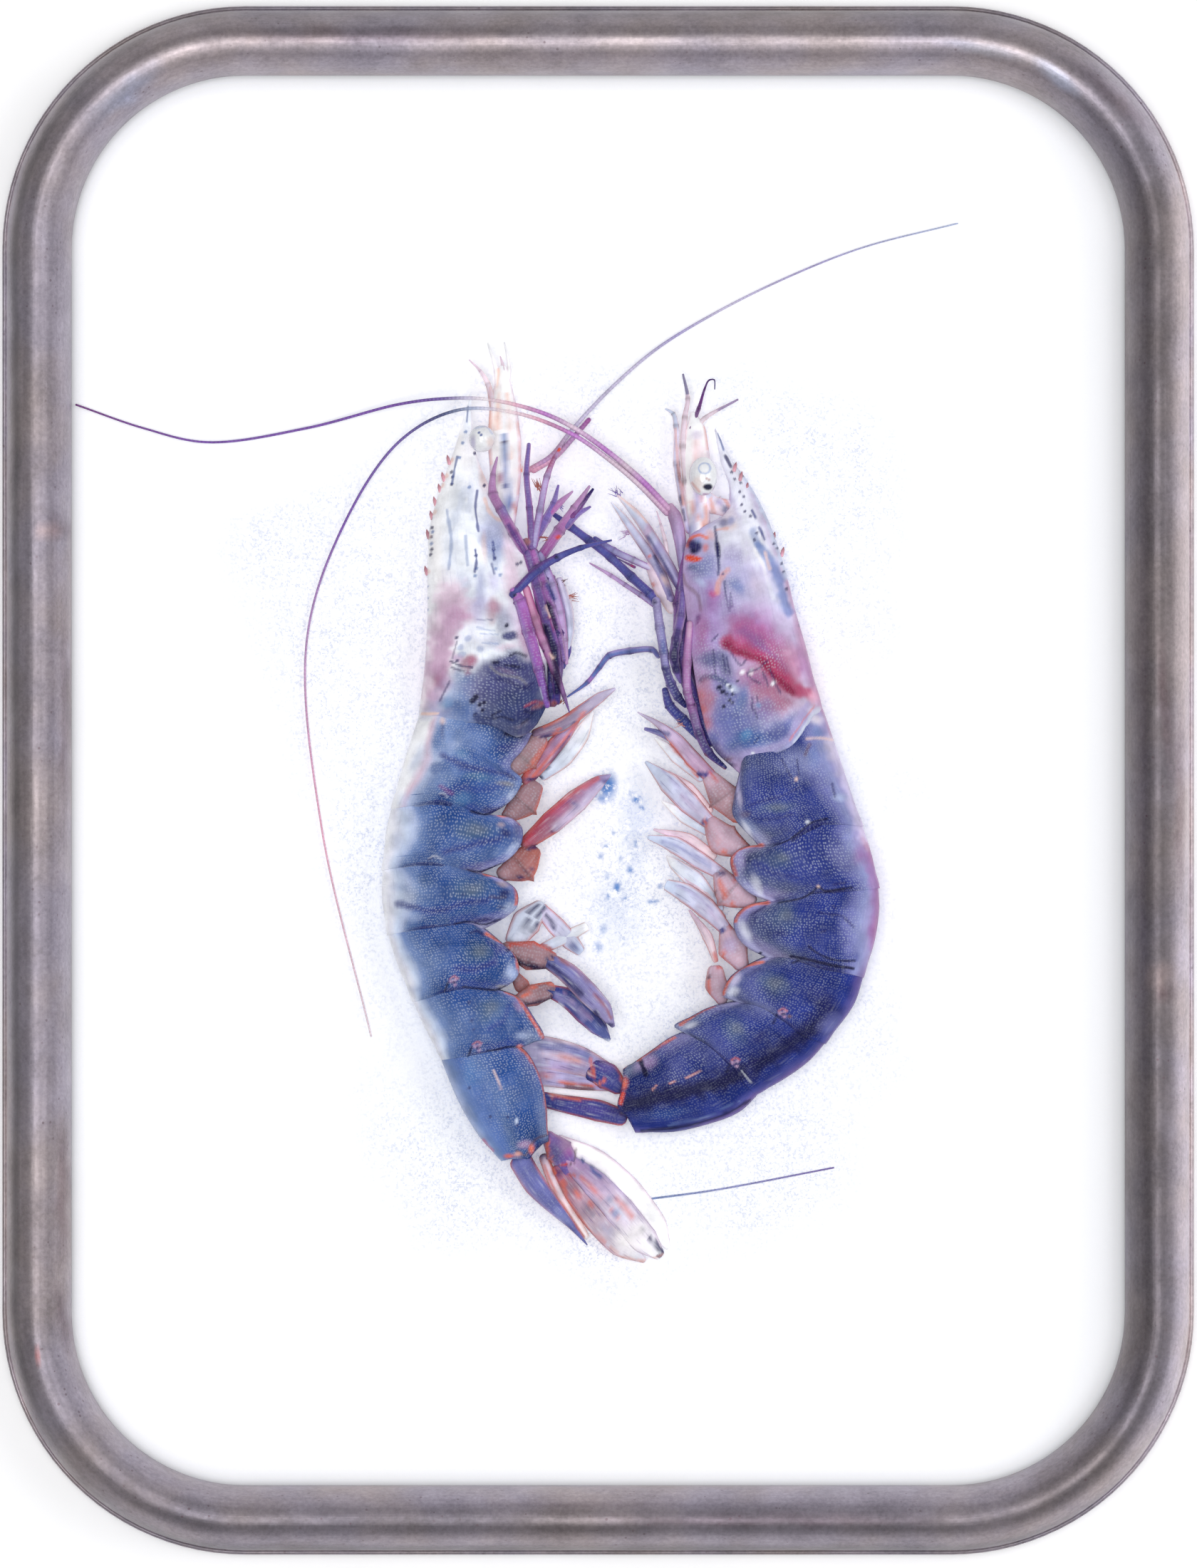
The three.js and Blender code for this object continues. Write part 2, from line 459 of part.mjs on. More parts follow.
const rightCarapace = {
  dorsal: [[20, 60.1], [22.8, 54.8], [25.6, 50.9], [28.2, 46.2], [30.2, 41.2], [32, 35.5], [33.6, 29],
    [35.5, 22.4], [36.8, 17.2], [37.6, 14.8], [38.1, 12.8]],
  ventral: [[19.9, 59.7], [21, 54.2], [22.4, 49.6], [21.4, 45], [15.6, 41.6], [14.4, 35.5],
    [14.9, 29.8], [15.8, 22], [17.4, 12.6], [19.6, 5.6], [23.4, 1.8]],
  front: [[20, 60.1], [19.95, 59.9], [19.9, 59.7]],
  rear: [[38.1, 12.8], [35.8, 11.4], [34.4, 9], [32.3, 6.6], [29.1, 5.2], [24.8, 4.2], [23.4, 1.8]],
  half: [0.25, 0.7, 1.2, 2.6, 4, 4.8, 5.3, 5.5, 5.6, 5.6, 5.5],
  centre: [6.4, 6.8, 7.2, 7.7, 8.3, 8.7, 9, 9, 9, 9, 9],
  steps: 11,
};

const rightHeadLimbs = [
  limb([[17.6, 40, 8.2, 2.2, 1.7], [16, 48, 7.4, 2.5, 1.3], [15.3, 55, 6.6, 2.5, 1],
    [15.1, 60.4, 6.2, 1.9, 0.8], [14.9, 63, 6, 0.6, 0.4]], 5),
  whisker([[14.2, 59.4, 6.3], [13.2, 62, 6], [11.6, 63.4, 5.8]], 0.6, 0.25, 4),
  whisker([[14.8, 60.4, 6.3], [15.3, 65.2, 6], [14.5, 69.3, 5.8]], 0.6, 0.25, 5),
  whisker([[15.8, 60, 6.3], [17.6, 64.8, 6], [19.2, 68.3, 5.8], [19.7, 66.8, 5.7]], 0.6, 0.25, 7),
  whisker([[16.2, 59.8, 6.2], [18.4, 62, 6], [23.8, 65, 5.6]], 0.6, 0.25, 4),
  limb([[22, 46, 7.4, 1.6, 1.4], [19.6, 46.6, 7.4, 1.6, 1.2], [18, 48.6, 7.2, 0.9, 0.8]], 3),
];

const rightLegs = [
  limb([[15.4, 38, 8.8, 1.4, 1.8], [14.6, 30, 8.9, 1.8, 2.6], [15.2, 20, 9, 1.9, 3],
    [19.4, 6.6, 9, 1.4, 2.6]], 4, 6),
  // walking legs folded back along the edge of the carapace
  limb([[13.6, 30.6, 10, 1, 1], [11.2, 26, 11, 1, 1], [11.2, 19.6, 11.4, 1, 1], [14.8, 12.6, 11, 0.9, 0.9],
    [17.2, 10.4, 10, 0.7, 0.7]], 6),
  limb([[14.6, 31.4, 11, 1, 1], [13, 24.6, 12.2, 1.1, 1], [13, 19.6, 12, 1.1, 1], [14.8, 16.2, 11, 0.5, 0.5]], 4),
  limb([[15.6, 26.6, 12, 0.9, 0.9], [16, 16.4, 12.4, 0.9, 0.9], [17.2, 10.2, 12, 0.9, 0.9],
    [19.6, 4.6, 10.6, 0.8, 0.8], [22.4, 2, 9.6, 0.4, 0.4]], 5),
  limb([[13.8, 18, 7, 0.9, 1], [12.2, 13.6, 7, 0.9, 1], [15.6, 9, 7.4, 0.9, 1], [18, 7.4, 8, 0.6, 0.8]], 4),
  // mouth legs and walking legs reaching forward and to the left
  limb([[14.8, 31, 8, 1.4, 1.4], [11.8, 36.6, 7.4, 1.6, 1.2], [8.4, 42.6, 6.8, 1.5, 0.9],
    [3.3, 48.9, 6, 0.25, 0.25]], 4),
  limb([[12.8, 30.6, 7, 1.3, 1.2], [8, 37.2, 6.4, 1.2, 0.9], [4.9, 42.6, 5.8, 1, 0.7],
    [2.2, 47.2, 5.2, 0.25, 0.25]], 4),
  whisker([[12.2, 37, 7.6], [11.2, 41.4, 6.4], [10, 46.2, 5.2]], 0.6, 0.25, 3),
  limb([[13.4, 27.6, 8, 1, 1], [9.8, 31, 6.8, 0.9, 0.9], [2.5, 37.1, 6, 0.9, 0.8], [-4.8, 43, 5.6, 0.7, 0.6],
    [-8.1, 45.4, 5.4, 0.25, 0.25]], 5),
  limb([[12.6, 27.4, 6.4, 0.8, 0.8], [7.4, 31.7, 5.6, 0.7, 0.6], [-1.3, 36.8, 4.8, 0.25, 0.25]], 4),
  limb([[14.8, 20, 9, 0.9, 0.9], [9.2, 22.3, 6.6, 0.7, 0.7], [1.6, 21.3, 5.4, 0.7, 0.6],
    [-4.5, 14.8, 4.4, 0.25, 0.25]], 5),
];

const rightTail = {
  telson: [
    limb([[3.9, -57.5, 5.6, 1.5, 1.2], [0, -56.4, 4.9, 1.9, 0.8], [-8, -54.8, 4.3, 1.4, 0.6],
      [-16, -52.8, 4.1, 0.8, 0.4], [-21, -51.4, 4, 0.15, 0.2]], 6),
  ],
  uropods: [
    limb([[3.3, -52.1, 6, 1.6, 1.4], [1.6, -50.6, 5.6, 2.4, 1.2], [-1, -49.4, 5.2, 2, 0.9]], 3, 8),
    blade([[1.2, -49.8, 5.2, 1.8, 0.9], [-3.4, -47.9, 4.8, 2.6, 0.7], [-9, -46.7, 4.4, 3, 0.5],
      [-16, -46.4, 4.2, 2.8, 0.5], [-20.4, -47, 4.1, 0.9, 0.3]], 6),
    blade([[2, -52, 5, 1.1, 0.9], [-3, -51.4, 4.6, 1.5, 0.6], [-9, -50.6, 4.3, 1.7, 0.5],
      [-17, -49.8, 4.1, 1.3, 0.4], [-21, -49.6, 4, 0.3, 0.3]], 6),
  ],
};

const rightAntennae = [
  whisker([[12, 46.4, 7.6], [7.4, 51.2, 8.4], [2.5, 55.4, 9], [-4, 60, 9.6], [-10, 62.8, 10],
    [-18.7, 64.9, 10], [-26, 65.1, 8.6], [-34, 64.2, 6.4], [-49.8, 60.2, 4.1], [-66.8, 57.8, 3.9],
    [-77.7, 60.2, 3.9], [-89.2, 64.2, 3.8]], 1.1, 0.3, 19),
  whisker([[11.7, 45.6, 7.4], [7, 50.4, 8.2], [2, 54.6, 8.8], [-4.4, 59, 9.2], [-14, 62.6, 9.6],
    [-24, 63.1, 8.8], [-34, 57.8, 6], [-43.7, 43.2, 4.1], [-49.8, 23.8, 3.9], [-47.3, -7.8, 3.8],
    [-38.8, -43.7, 3.7]], 1, 0.3, 19),
];

const LOOSE_WHISKER = [[9, -71.5, 3.65], [20, -70, 3.65], [40.2, -66.2, 3.65]];

// ---- assembly -----------------------------------------------------------------------------
const part = new THREE.Group();

function addPiece(name, geometry, colour) {
  const mesh = new THREE.Mesh(geometry, new THREE.MeshStandardMaterial(COLOURS[colour]));
  mesh.name = name;
  part.add(mesh);
}

function addAbdomen(side, seams, dorsals, flaps, halves, centres, swimmerets) {
  dorsals.forEach((dorsal, i) => {
    const [front, rear] = [seams[i], seams[i + 1]];
    const shell = plate({
      dorsal: [front[0], ...dorsal, rear[0]],
      ventral: [front.at(-1), ...flaps[i], rear.at(-1)],
      front,
      rear,
      half: halves.slice(i, i + 2),
      centre: centres.slice(i, i + 2),
      steps: i === 5 ? 6 : 4,
    });
    addPiece(`${side}_abdomen_${i + 1}`, fuse([shell, ...swimmerets[i]]), `${side}Body`);
  });
}

addPiece('frame', mouldingRing(), 'pewter');
addPiece('board', backingBoard(), 'board');

const leftTeeth = { from: 0.2, to: 0.62, count: 9, outward: -1 };
const leftRidge = teeth(leftCarapace.dorsal, leftCarapace.centre, leftTeeth);
addPiece('left_cephalothorax', fuse([plate(leftCarapace), ...leftRidge, ...leftHeadLimbs, ...leftLegs]), 'leftHead');
addPiece('left_eye', eyeball([-19.8, 58.2, 10.2], [2.2, 2.3, 2.2]), 'eye');
addPiece('left_antenna', fuse(leftAntenna), 'antenna');
addAbdomen('left', leftSeams, leftDorsal, leftFlaps, leftHalf, leftCentre, leftSwimmerets);
addPiece('left_telson', fuse(leftTail.telson), 'leftBody');
addPiece('left_uropods', fuse(leftTail.uropods), 'fan');

const rightTeeth = { from: 0.12, to: 0.5, count: 9, outward: 1 };
const rightRidge = teeth(rightCarapace.dorsal, rightCarapace.centre, rightTeeth);
addPiece('right_cephalothorax', fuse([plate(rightCarapace), ...rightRidge, ...rightHeadLimbs, ...rightLegs]), 'rightHead');
addPiece('right_eye', eyeball([17.9, 51.8, 10.6], [2.4, 3.3, 2.1]), 'eye');
addPiece('right_antennae', fuse(rightAntennae), 'antenna');
addAbdomen('right', rightSeams, rightDorsal, rightFlaps, rightHalf, rightCentre, rightSwimmerets);
addPiece('right_telson', fuse(rightTail.telson), 'rightBody');
addPiece('right_uropods', fuse(rightTail.uropods), 'fan');

addPiece('loose_antenna', whisker(LOOSE_WHISKER, 0.35, 0.3, 6), 'antenna');

export default part;
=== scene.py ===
import math

import bpy
import numpy as np
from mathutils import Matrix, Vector


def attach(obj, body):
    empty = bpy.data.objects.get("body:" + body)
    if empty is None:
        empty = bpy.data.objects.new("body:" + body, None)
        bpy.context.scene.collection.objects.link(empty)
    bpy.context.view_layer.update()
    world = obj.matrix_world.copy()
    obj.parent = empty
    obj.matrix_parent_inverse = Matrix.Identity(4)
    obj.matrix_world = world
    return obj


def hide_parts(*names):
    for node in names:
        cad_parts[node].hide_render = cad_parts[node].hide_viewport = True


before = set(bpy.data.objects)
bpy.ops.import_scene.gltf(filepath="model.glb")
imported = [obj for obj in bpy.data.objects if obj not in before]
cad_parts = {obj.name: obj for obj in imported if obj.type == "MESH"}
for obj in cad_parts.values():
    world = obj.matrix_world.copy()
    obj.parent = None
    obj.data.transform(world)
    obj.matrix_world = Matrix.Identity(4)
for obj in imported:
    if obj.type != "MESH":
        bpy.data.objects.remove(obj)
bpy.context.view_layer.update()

# Two prawn specimens on a white board in a half-round metal frame that lies on its back.
# The tables below are in millimetres, in the CAD's own axes; a mesh is scaled to metres when made.
MM = 0.001

# ---- driving dimensions ----------------------------------------------------------------------
OPENING = {"width": 180.0, "height": 241.0, "radius": 29.7}
MOULDING = {"width": 11.8, "height": 16.0, "lip": 5.0, "lip_width": 0.9, "rabbet": 4.0}
# half of the opening's straight sides
STRAIGHT = (OPENING["width"] / 2 - OPENING["radius"], OPENING["height"] / 2 - OPENING["radius"])
BOARD_THICKNESS = 3.0
GAP = 0.3

# shell plates: the distance between points, how far a plate goes under and over its neighbours,
# where the painted shadow on the hind margin goes, and the section from the back ridge (0) to the flap's
# edge (1)
SHELL_PITCH = 0.26
PLATE_TUCK, PLATE_LAP, LAP_STEPS = 1.2, 0.9, 5
SEAM_LAP = 0.6
SECTION_WIDEST, FLAP_THICKNESS = 0.5, 0.55
BELLY_RIM = 0.35
FAR_SIDE_STEPS = 14
PAINTED_SHARE = 0.85

# limbs: points round them, the joints of a leg, the rib along a flat blade, and the hairs
LIMB_SIDES, WHISKER_SIDES = 16, 8
LEG_SLENDERNESS = 0.9
THICKEST_LEG = 1.15
JOINT_SWELL, JOINT_LENGTH, JOINT_SHADE = 0.18, 0.02, 0.35
BLADE_FLATNESS, RIB_HEIGHT, RIB_WIDTH = 1.4, 0.22, 0.16
HAIR_ROOT, HAIR_TIP, HAIR_SEED = 0.09, 0.03, 4

# surfaces: pale dots and streaks on the shells, rings on the whips, painted shine and shade on the metal
DOT_PITCH, DOT_STRENGTH = 0.48, 0.62
DOTTED_BRIGHTNESS = 0.12
DARK_STREAK, PALE_STREAK = 0.5, 0.35
WHIP_RING_PITCH = 0.7
SHINE_AND_SHADE_STRENGTH = 1.6
CLOUD_OCTAVES = 3
# strengths of a segment's pale clouds and dark ones, of the front and rear edge of its lobe, of
# the shade over its rear and of the painted shadow along its hind margin
BLOOM, GLOOM, LOBE_FRONT, LOBE_REAR, REAR_SHADE, HIND_MARGIN_SHADOW = 0.55, 0.45, 0.35, 0.3, 0.2, 0.6

# ---- the studio ------------------------------------------------------------------------------
WORLD_LEFT, WORLD_RIGHT = 0.16, 0.5
BOARD_GLOW = 0.2
SHELL_GLOW = 0.16
FLOOR_GLOW = 0.25
# name, place and size in metres, watts
LAMPS = [("overhead", (-0.12, -0.06, 1.3), (0.7, 0.7), 8.5), ("side", (0.6, 0.1, 0.8), (0.5, 0.5), 2.0)]

# ---- colours, sRGB ---------------------------------------------------------------------------
PALETTE = {
    "paper": (250, 251, 254), "white": (238, 242, 250), "ice": (208, 220, 243), "frost": (186, 199, 232),
    "blush": (246, 226, 233), "pale_lilac": (212, 203, 232), "lilac": (176, 165, 214),
    "mauve": (190, 150, 196),
    "violet": (122, 100, 172), "deep_violet": (84, 66, 146), "plum": (120, 62, 130),
    "magenta": (166, 84, 160),
    "navy": (38, 36, 96), "ink": (20, 19, 58), "deep_blue": (54, 66, 142), "mid_blue": (74, 98, 164),
    "steel": (92, 120, 176), "powder": (128, 152, 202), "slate": (84, 92, 136), "teal": (92, 134, 158),
    "olive": (94, 118, 124), "peach": (246, 210, 196), "salmon": (232, 166, 152), "coral": (236, 118, 92),
    "ember": (222, 78, 48), "pink": (238, 174, 198), "rose": (214, 112, 150), "crimson": (178, 46, 92),
    "brick": (206, 118, 124), "brown": (116, 84, 88), "umber": (88, 58, 66), "khaki": (150, 146, 146),
    "cyan": (98, 150, 200), "wine": (140, 30, 70), "rust": (176, 104, 96), "dusk": (150, 122, 142),
    "amethyst": (126, 84, 172), "pewter": (168, 159, 163), "orchid": (180, 112, 186),
    "grape": (122, 94, 158),
    "berry": (178, 84, 136), "indigo": (58, 52, 124), "haze": (230, 231, 243), "skin": (240, 228, 236),
    "petal": (228, 204, 222), "thistle": (202, 160, 194), "rosewood": (172, 100, 132),
    "cherry": (182, 52, 96),
    "raspberry": (200, 82, 134), "periwinkle": (150, 156, 206), "cornflower": (98, 128, 196),
    "ash": (112, 112, 158),
    "gill": (76, 78, 130), "storm": (52, 62, 110), "ocean": (60, 92, 156), "midnight": (34, 36, 92),
    "ivory": (250, 246, 246), "sea": (38, 76, 146), "twilight": (40, 56, 138), "clay": (182, 140, 146),
    "mist": (214, 222, 240), "iris": (84, 86, 158), "cerulean": (84, 130, 196),
    "dun": (166, 130, 138), "smoke": (126, 98, 126), "garnet": (176, 102, 116), "heath": (208, 146, 178),
    "pansy": (196, 126, 208), "heather": (206, 174, 192), "hyacinth": (102, 112, 174),
    "bluebell": (118, 122, 186),
    "admiral": (30, 46, 122), "fleck": (164, 176, 208),
}


def linear(colour):
    """A palette name or an sRGB triple as linear red, green and blue."""
    levels = np.array(PALETTE[colour] if isinstance(colour, str) else colour) / 255
    return np.where(levels <= 0.04045, levels / 12.92, ((levels + 0.055) / 1.055) ** 2.4)


# ---- curves and noise ------------------------------------------------------------------------
def spline(points, count):
    """count points, evenly spaced by knot, on the centripetal Catmull-Rom curve through points."""
    knots = np.array(points, float)
    knots = np.vstack([2 * knots[0] - knots[1], knots, 2 * knots[-1] - knots[-2]])
    place = np.linspace(0, len(knots) - 3, count)
    low = np.minimum(place.astype(int), len(knots) - 4)
    t = (place - low)[:, None]
    a, b, c, d = (knots[low + k] for k in range(4))
    ab, bc, cd = (np.sqrt(np.linalg.norm(q - p, axis=1))[:, None] + 1e-9 for p,
                  q in ((a, b), (b, c), (c, d)))
    leave = ((b - a) / ab - (c - a) / (ab + bc) + (c - b) / bc) * bc
    enter = ((c - b) / bc - (d - b) / (bc + cd) + (d - c) / cd) * bc
    rise = 3 * (c - b) - 2 * leave - enter
    bend = 2 * (b - c) + leave + enter
    return b + t * (leave + t * (rise + t * bend))


def lengths_along(points):
    return np.concatenate([[0], np.cumsum(np.linalg.norm(np.diff(points, axis=0), axis=1))])


def even(points, count):
    """count points evenly spaced by length on the curve through points."""
    fine = spline(points, 40 * len(points))
    run = lengths_along(fine)
    at = np.linspace(0, run[-1], count)
    return np.stack([np.interp(at, run, fine[:, k]) for k in range(fine.shape[1])], axis=1)


def smooth_step(x, low, high):
    t = np.clip((x - low) / (high - low), 0, 1)
    return t * t * (3 - 2 * t)


def hill(x, centre, width):
    return np.exp(-((x - centre) / width) ** 2)


def unit_rows(vectors):
    return vectors / (np.linalg.norm(vectors, axis=1)[:, None] + 1e-9)


def noise(points, size, seed):
    """Smooth value noise from -1 to 1 on the plan, with lumps about size wide."""
    place = np.asarray(points)[:, :2] / size
    cell = np.floor(place).astype(np.int64)
    t = place - cell
    t = t * t * (3 - 2 * t)

    def lattice(dx, dy):
        x, y = cell[:, 0] + dx, cell[:, 1] + dy
        mixed = (x * 374761393 + y * 668265263 + seed * 1442695041) & 0x7FFFFFFF
        mixed = ((mixed ^ (mixed >> 13)) * 1274126177) & 0x7FFFFFFF
        return (mixed ^ (mixed >> 16)) % 65536 / 32767.5 - 1

    low = lattice(0, 0) * (1 - t[:, 0]) + lattice(1, 0) * t[:, 0]
    high = lattice(0, 1) * (1 - t[:, 0]) + lattice(1, 1) * t[:, 0]
    return low * (1 - t[:, 1]) + high * t[:, 1]


def cloud(points, size, seed):
    """Noise in a few sizes, each half as large and half as strong as the one before."""
    layers = [noise(points, size / 2 ** k, seed + k) / 2 ** k for k in range(CLOUD_OCTAVES)]
    return sum(layers) / sum(0.5 ** k for k in range(CLOUD_OCTAVES))


# ---- meshes ----------------------------------------------------------------------------------
class Piece:
    """One piece of the model: surfaces in millimetres, with a colour for each point."""

    def __init__(self, name, slot, material, nodes):
        self.name, self.slot, self.material, self.nodes = name, slot, material, nodes
        self.points, self.faces, self.tints, self.marks, self.plans = [], [], [], [], []
        self.size = 0

    def add(self, points, faces, tint, marks, plan):
        """tint is rgba, marks is (dots, streaks) and plan is (along, across) in millimetres."""
        self.points.append(points)
        self.tints.append(np.broadcast_to(tint, (len(points), 4)))
        self.marks.append(np.broadcast_to(marks, (len(points), 2)))
        self.plans.append(plan)
        self.faces.extend([tuple(i + self.size for i in face) for face in faces])
        self.size += len(points)

    def make(self):
        mesh = bpy.data.meshes.new(self.name)
        mesh.from_pydata((np.vstack(self.points) * MM).tolist(), [], self.faces)
        tint = mesh.color_attributes.new(name="tint", type="FLOAT_COLOR", domain="POINT")
        tint.data.foreach_set("color", np.vstack(self.tints).astype(np.float32).ravel())
        marks = np.vstack(self.marks).astype(np.float32)
        for k, name in enumerate(("dots", "streaks")):
            mesh.attributes.new(name, "FLOAT", "POINT").data.foreach_set("value", marks[:, k].copy())
        corner = np.empty(len(mesh.loops), np.int32)
        mesh.loops.foreach_get("vertex_index", corner)
        plan = np.vstack(self.plans)[corner].astype(np.float32)
        mesh.uv_layers.new(name="plan").data.foreach_set("uv", plan.ravel())
        mesh.shade_smooth()
        mesh.materials.append(self.material)
        thing = bpy.data.objects.new(self.name, mesh)
        bpy.context.scene.collection.objects.link(thing)
        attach(thing, "root")
        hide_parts(*self.nodes)


def ring_faces(rings, size, loop=False):
    """Quads between rings of points, each ring closed; the outside is on the right of its turn."""
    faces = []
    for i in range(rings if loop else rings - 1):
        here, ahead = i * size, (i + 1) % rings * size
        for j in range(size):
            k = (j + 1) % size
            faces.append((here + j, here + k, ahead + k, ahead + j))
    return faces


def capped_faces(rings, size):
    """Quads between closed rings of points, with one face over the first ring and over the last."""
    last = (rings - 1) * size
    return ring_faces(rings, size) + [tuple(range(size))[::-1], tuple(last + j for j in range(size))]


def facing_out(points, faces):
    """The faces, turned over if the closed body that they make is inside out."""
    quads = np.array([face if len(face) == 4 else (*face, face[0]) for face in faces if len(face) < 5])
    a, b, c, d = (points[quads[:, k]] for k in range(4))
    volume = np.einsum("ij,ij->i", a, np.cross(b, c) + np.cross(c, d)).sum()
    return faces if volume > 0 else [face[::-1] for face in faces]


def rgba(tint, alpha=1.0):
    tint = np.atleast_2d(tint)
    return np.hstack([tint, np.broadcast_to(np.atleast_1d(alpha)[:, None], (len(tint), 1))])


# ---- limbs, blades and whiskers --------------------------------------------------------------
# a style is the colours of the sides and the core, each at the root and the tip, then how wide the
# core is, the opacity of the edge, dots and streaks
STYLES = {
    "magenta": ("mauve", "thistle", "magenta", "mauve", 0.4, 1, 0.15, 0.6),
    "violet": ("mauve", "lilac", "violet", "violet", 0.45, 1, 0.15, 0.6),
    "navy": ("violet", "grape", "iris", "iris", 0.55, 1, 0.1, 0.3),
    "plum": ("mauve", "violet", "plum", "navy", 0.6, 1, 0.1, 0.8),
    "pale": ("blush", "blush", "pale_lilac", "ice", 0.6, 0.9, 0.2, 0.5),
    "peach": ("peach", "blush", "skin", "petal", 0.6, 0.7, 0.1, 0.5),
    "blade": ("coral", "salmon", "pale_lilac", "ice", 0.8, 0.75, 0.1, 1),
    "blade_blue": ("salmon", "lilac", "bluebell", "lilac", 0.84, 0.75, 0.1, 1),
    "blade_navy": ("coral", "violet", "deep_blue", "hyacinth", 0.84, 0.9, 0.1, 1),
    "fan": ("salmon", "blush", "lilac", "pale_lilac", 0.85, 0.8, 0.2, 1),
    "fan_blue": ("coral", "navy", "iris", "deep_blue", 0.8, 0.95, 0.2, 1),
    "tooth": ("peach", "thistle", "pink", "rust", 0.5, 0.7, 0, 0),
    "clear": ("petal", "skin", "ivory", "paper", 0.7, 0.95, 0, 0.2),
    "orchid": ("lilac", "thistle", "orchid", "grape", 0.4, 1, 0.3, 0.5),
    "fuchsia": ("orchid", "orchid", "amethyst", "pansy", 0.5, 1, 0.35, 0.4),
    "grape": ("orchid", "grape", "grape", "indigo", 0.5, 1, 0.2, 0.6),
    "indigo": ("orchid", "grape", "grape", "indigo", 0.4, 1, 0.2, 0.6),
    "lilac_leg": ("orchid", "thistle", "grape", "violet", 0.5, 1, 0.2, 0.5),
    "joint_brown": ("coral", "coral", "dun", "dun", 0.86, 1, 0.35, 0.3),
    "joint_mauve": ("coral", "salmon", "clay", "heather", 0.86, 1, 0.35, 0.3),
    "joint_pink": ("coral", "salmon", "heather", "heather", 0.86, 1, 0.35, 0.3),
    "joint_red": ("coral", "coral", "dun", "rust", 0.86, 1, 0.3, 0.3),
    "joint_pale": ("coral", "salmon", "mist", "mist", 0.86, 0.85, 0.1, 0.6),
    "joint_lilac": ("thistle", "lilac", "grape", "violet", 0.6, 1, 0.2, 0.4),
    "blade_pale": ("salmon", "peach", "ice", "paper", 0.84, 0.9, 0.1, 0.6),
    "blade_dusk": ("coral", "salmon", "smoke", "pale_lilac", 0.84, 0.95, 0.1, 0.8),
    "blade_mauve": ("coral", "salmon", "thistle", "pale_lilac", 0.84, 0.9, 0.1, 0.8),
    "blade_lilac": ("coral", "salmon", "pale_lilac", "ice", 0.84, 0.85, 0.1, 0.8),
    "blade_rose": ("coral", "salmon", "garnet", "lilac", 0.84, 0.95, 0.1, 0.8),
    "blade_pink": ("coral", "salmon", "blush", "petal", 0.84, 0.8, 0.1, 0.8),
    "fan_navy": ("coral", "petal", "bluebell", "bluebell", 0.84, 0.95, 0.2, 0.8),
    "fan_rose": ("coral", "petal", "rosewood", "haze", 0.84, 0.9, 0.1, 0.9),
    "fan_violet": ("lilac", "petal", "mauve", "paper", 0.84, 0.95, 0.1, 0.7),
    "fan_peach": ("coral", "peach", "petal", "ivory", 0.5, 0.6, 0, 0.6),
    "lilac_base": ("mauve", "thistle", "lilac", "thistle", 0.6, 0.9, 0.2, 0.4),
    "jaw": ("mauve", "peach", "lilac", "mist", 0.55, 0.85, 0.2, 0.5),
    "mauve_navy": ("orchid", "violet", "thistle", "deep_blue", 0.5, 1, 0.35, 0.4),
    "slate_leg": ("violet", "iris", "iris", "deep_blue", 0.5, 1, 0.4, 0.3),
    "blue_leg": ("lilac", "orchid", "bluebell", "cornflower", 0.5, 1, 0.1, 0.3),
    "outer_leg": ("lilac", "violet", "lilac", "deep_blue", 0.5, 1, 0.4, 0.3),
    "soft_leg": ("orchid", "thistle", "lilac", "mauve", 0.5, 1, 0.3, 0.4),
    "pale_blue_leg": ("orchid", "violet", "pale_lilac", "iris", 0.55, 1, 0.2, 0.2),
    "peach_leg": ("berry", "grape", "heath", "grape", 0.3, 1, 0.1, 0.4),
}


def frames_along(centres):
    ahead = unit_rows(np.gradient(centres, axis=0))
    side = unit_rows(np.stack([ahead[:, 1], -ahead[:, 0], np.zeros(len(ahead))], axis=1))
    return ahead, side, np.cross(side, ahead)


def rounded_off(centres, ahead, wide, high):
    """The stations of a limb as (centre, half width, half height, share of them, index), with two
    smaller ones beyond each end."""
    ends = [(0, -1, 0.85), (0, -1, 0.5), (-1, 1, 0.5), (-1, 1, 0.85)]
    caps = [(centres[i] + ahead[i] * sign * min(wide[i], high[i]) * far, wide[i], high[i],
             math.sqrt(1 - far * far), i) for i, sign, far in ends]
    middle = [(c, w, h, 1.0, i) for i, (c, w, h) in enumerate(zip(centres, wide, high))]
    return caps[:2] + middle + caps[2:]


def graded(stops, t):
    """Colours and opacities at the shares t of a length, from (share, colour, opacity)."""
    reach, names, opacity = zip(*stops)
    channels = np.array([linear(name) for name in names]).T
    return np.stack([np.interp(t, reach, c) for c in channels], axis=1), np.interp(t, reach, opacity)


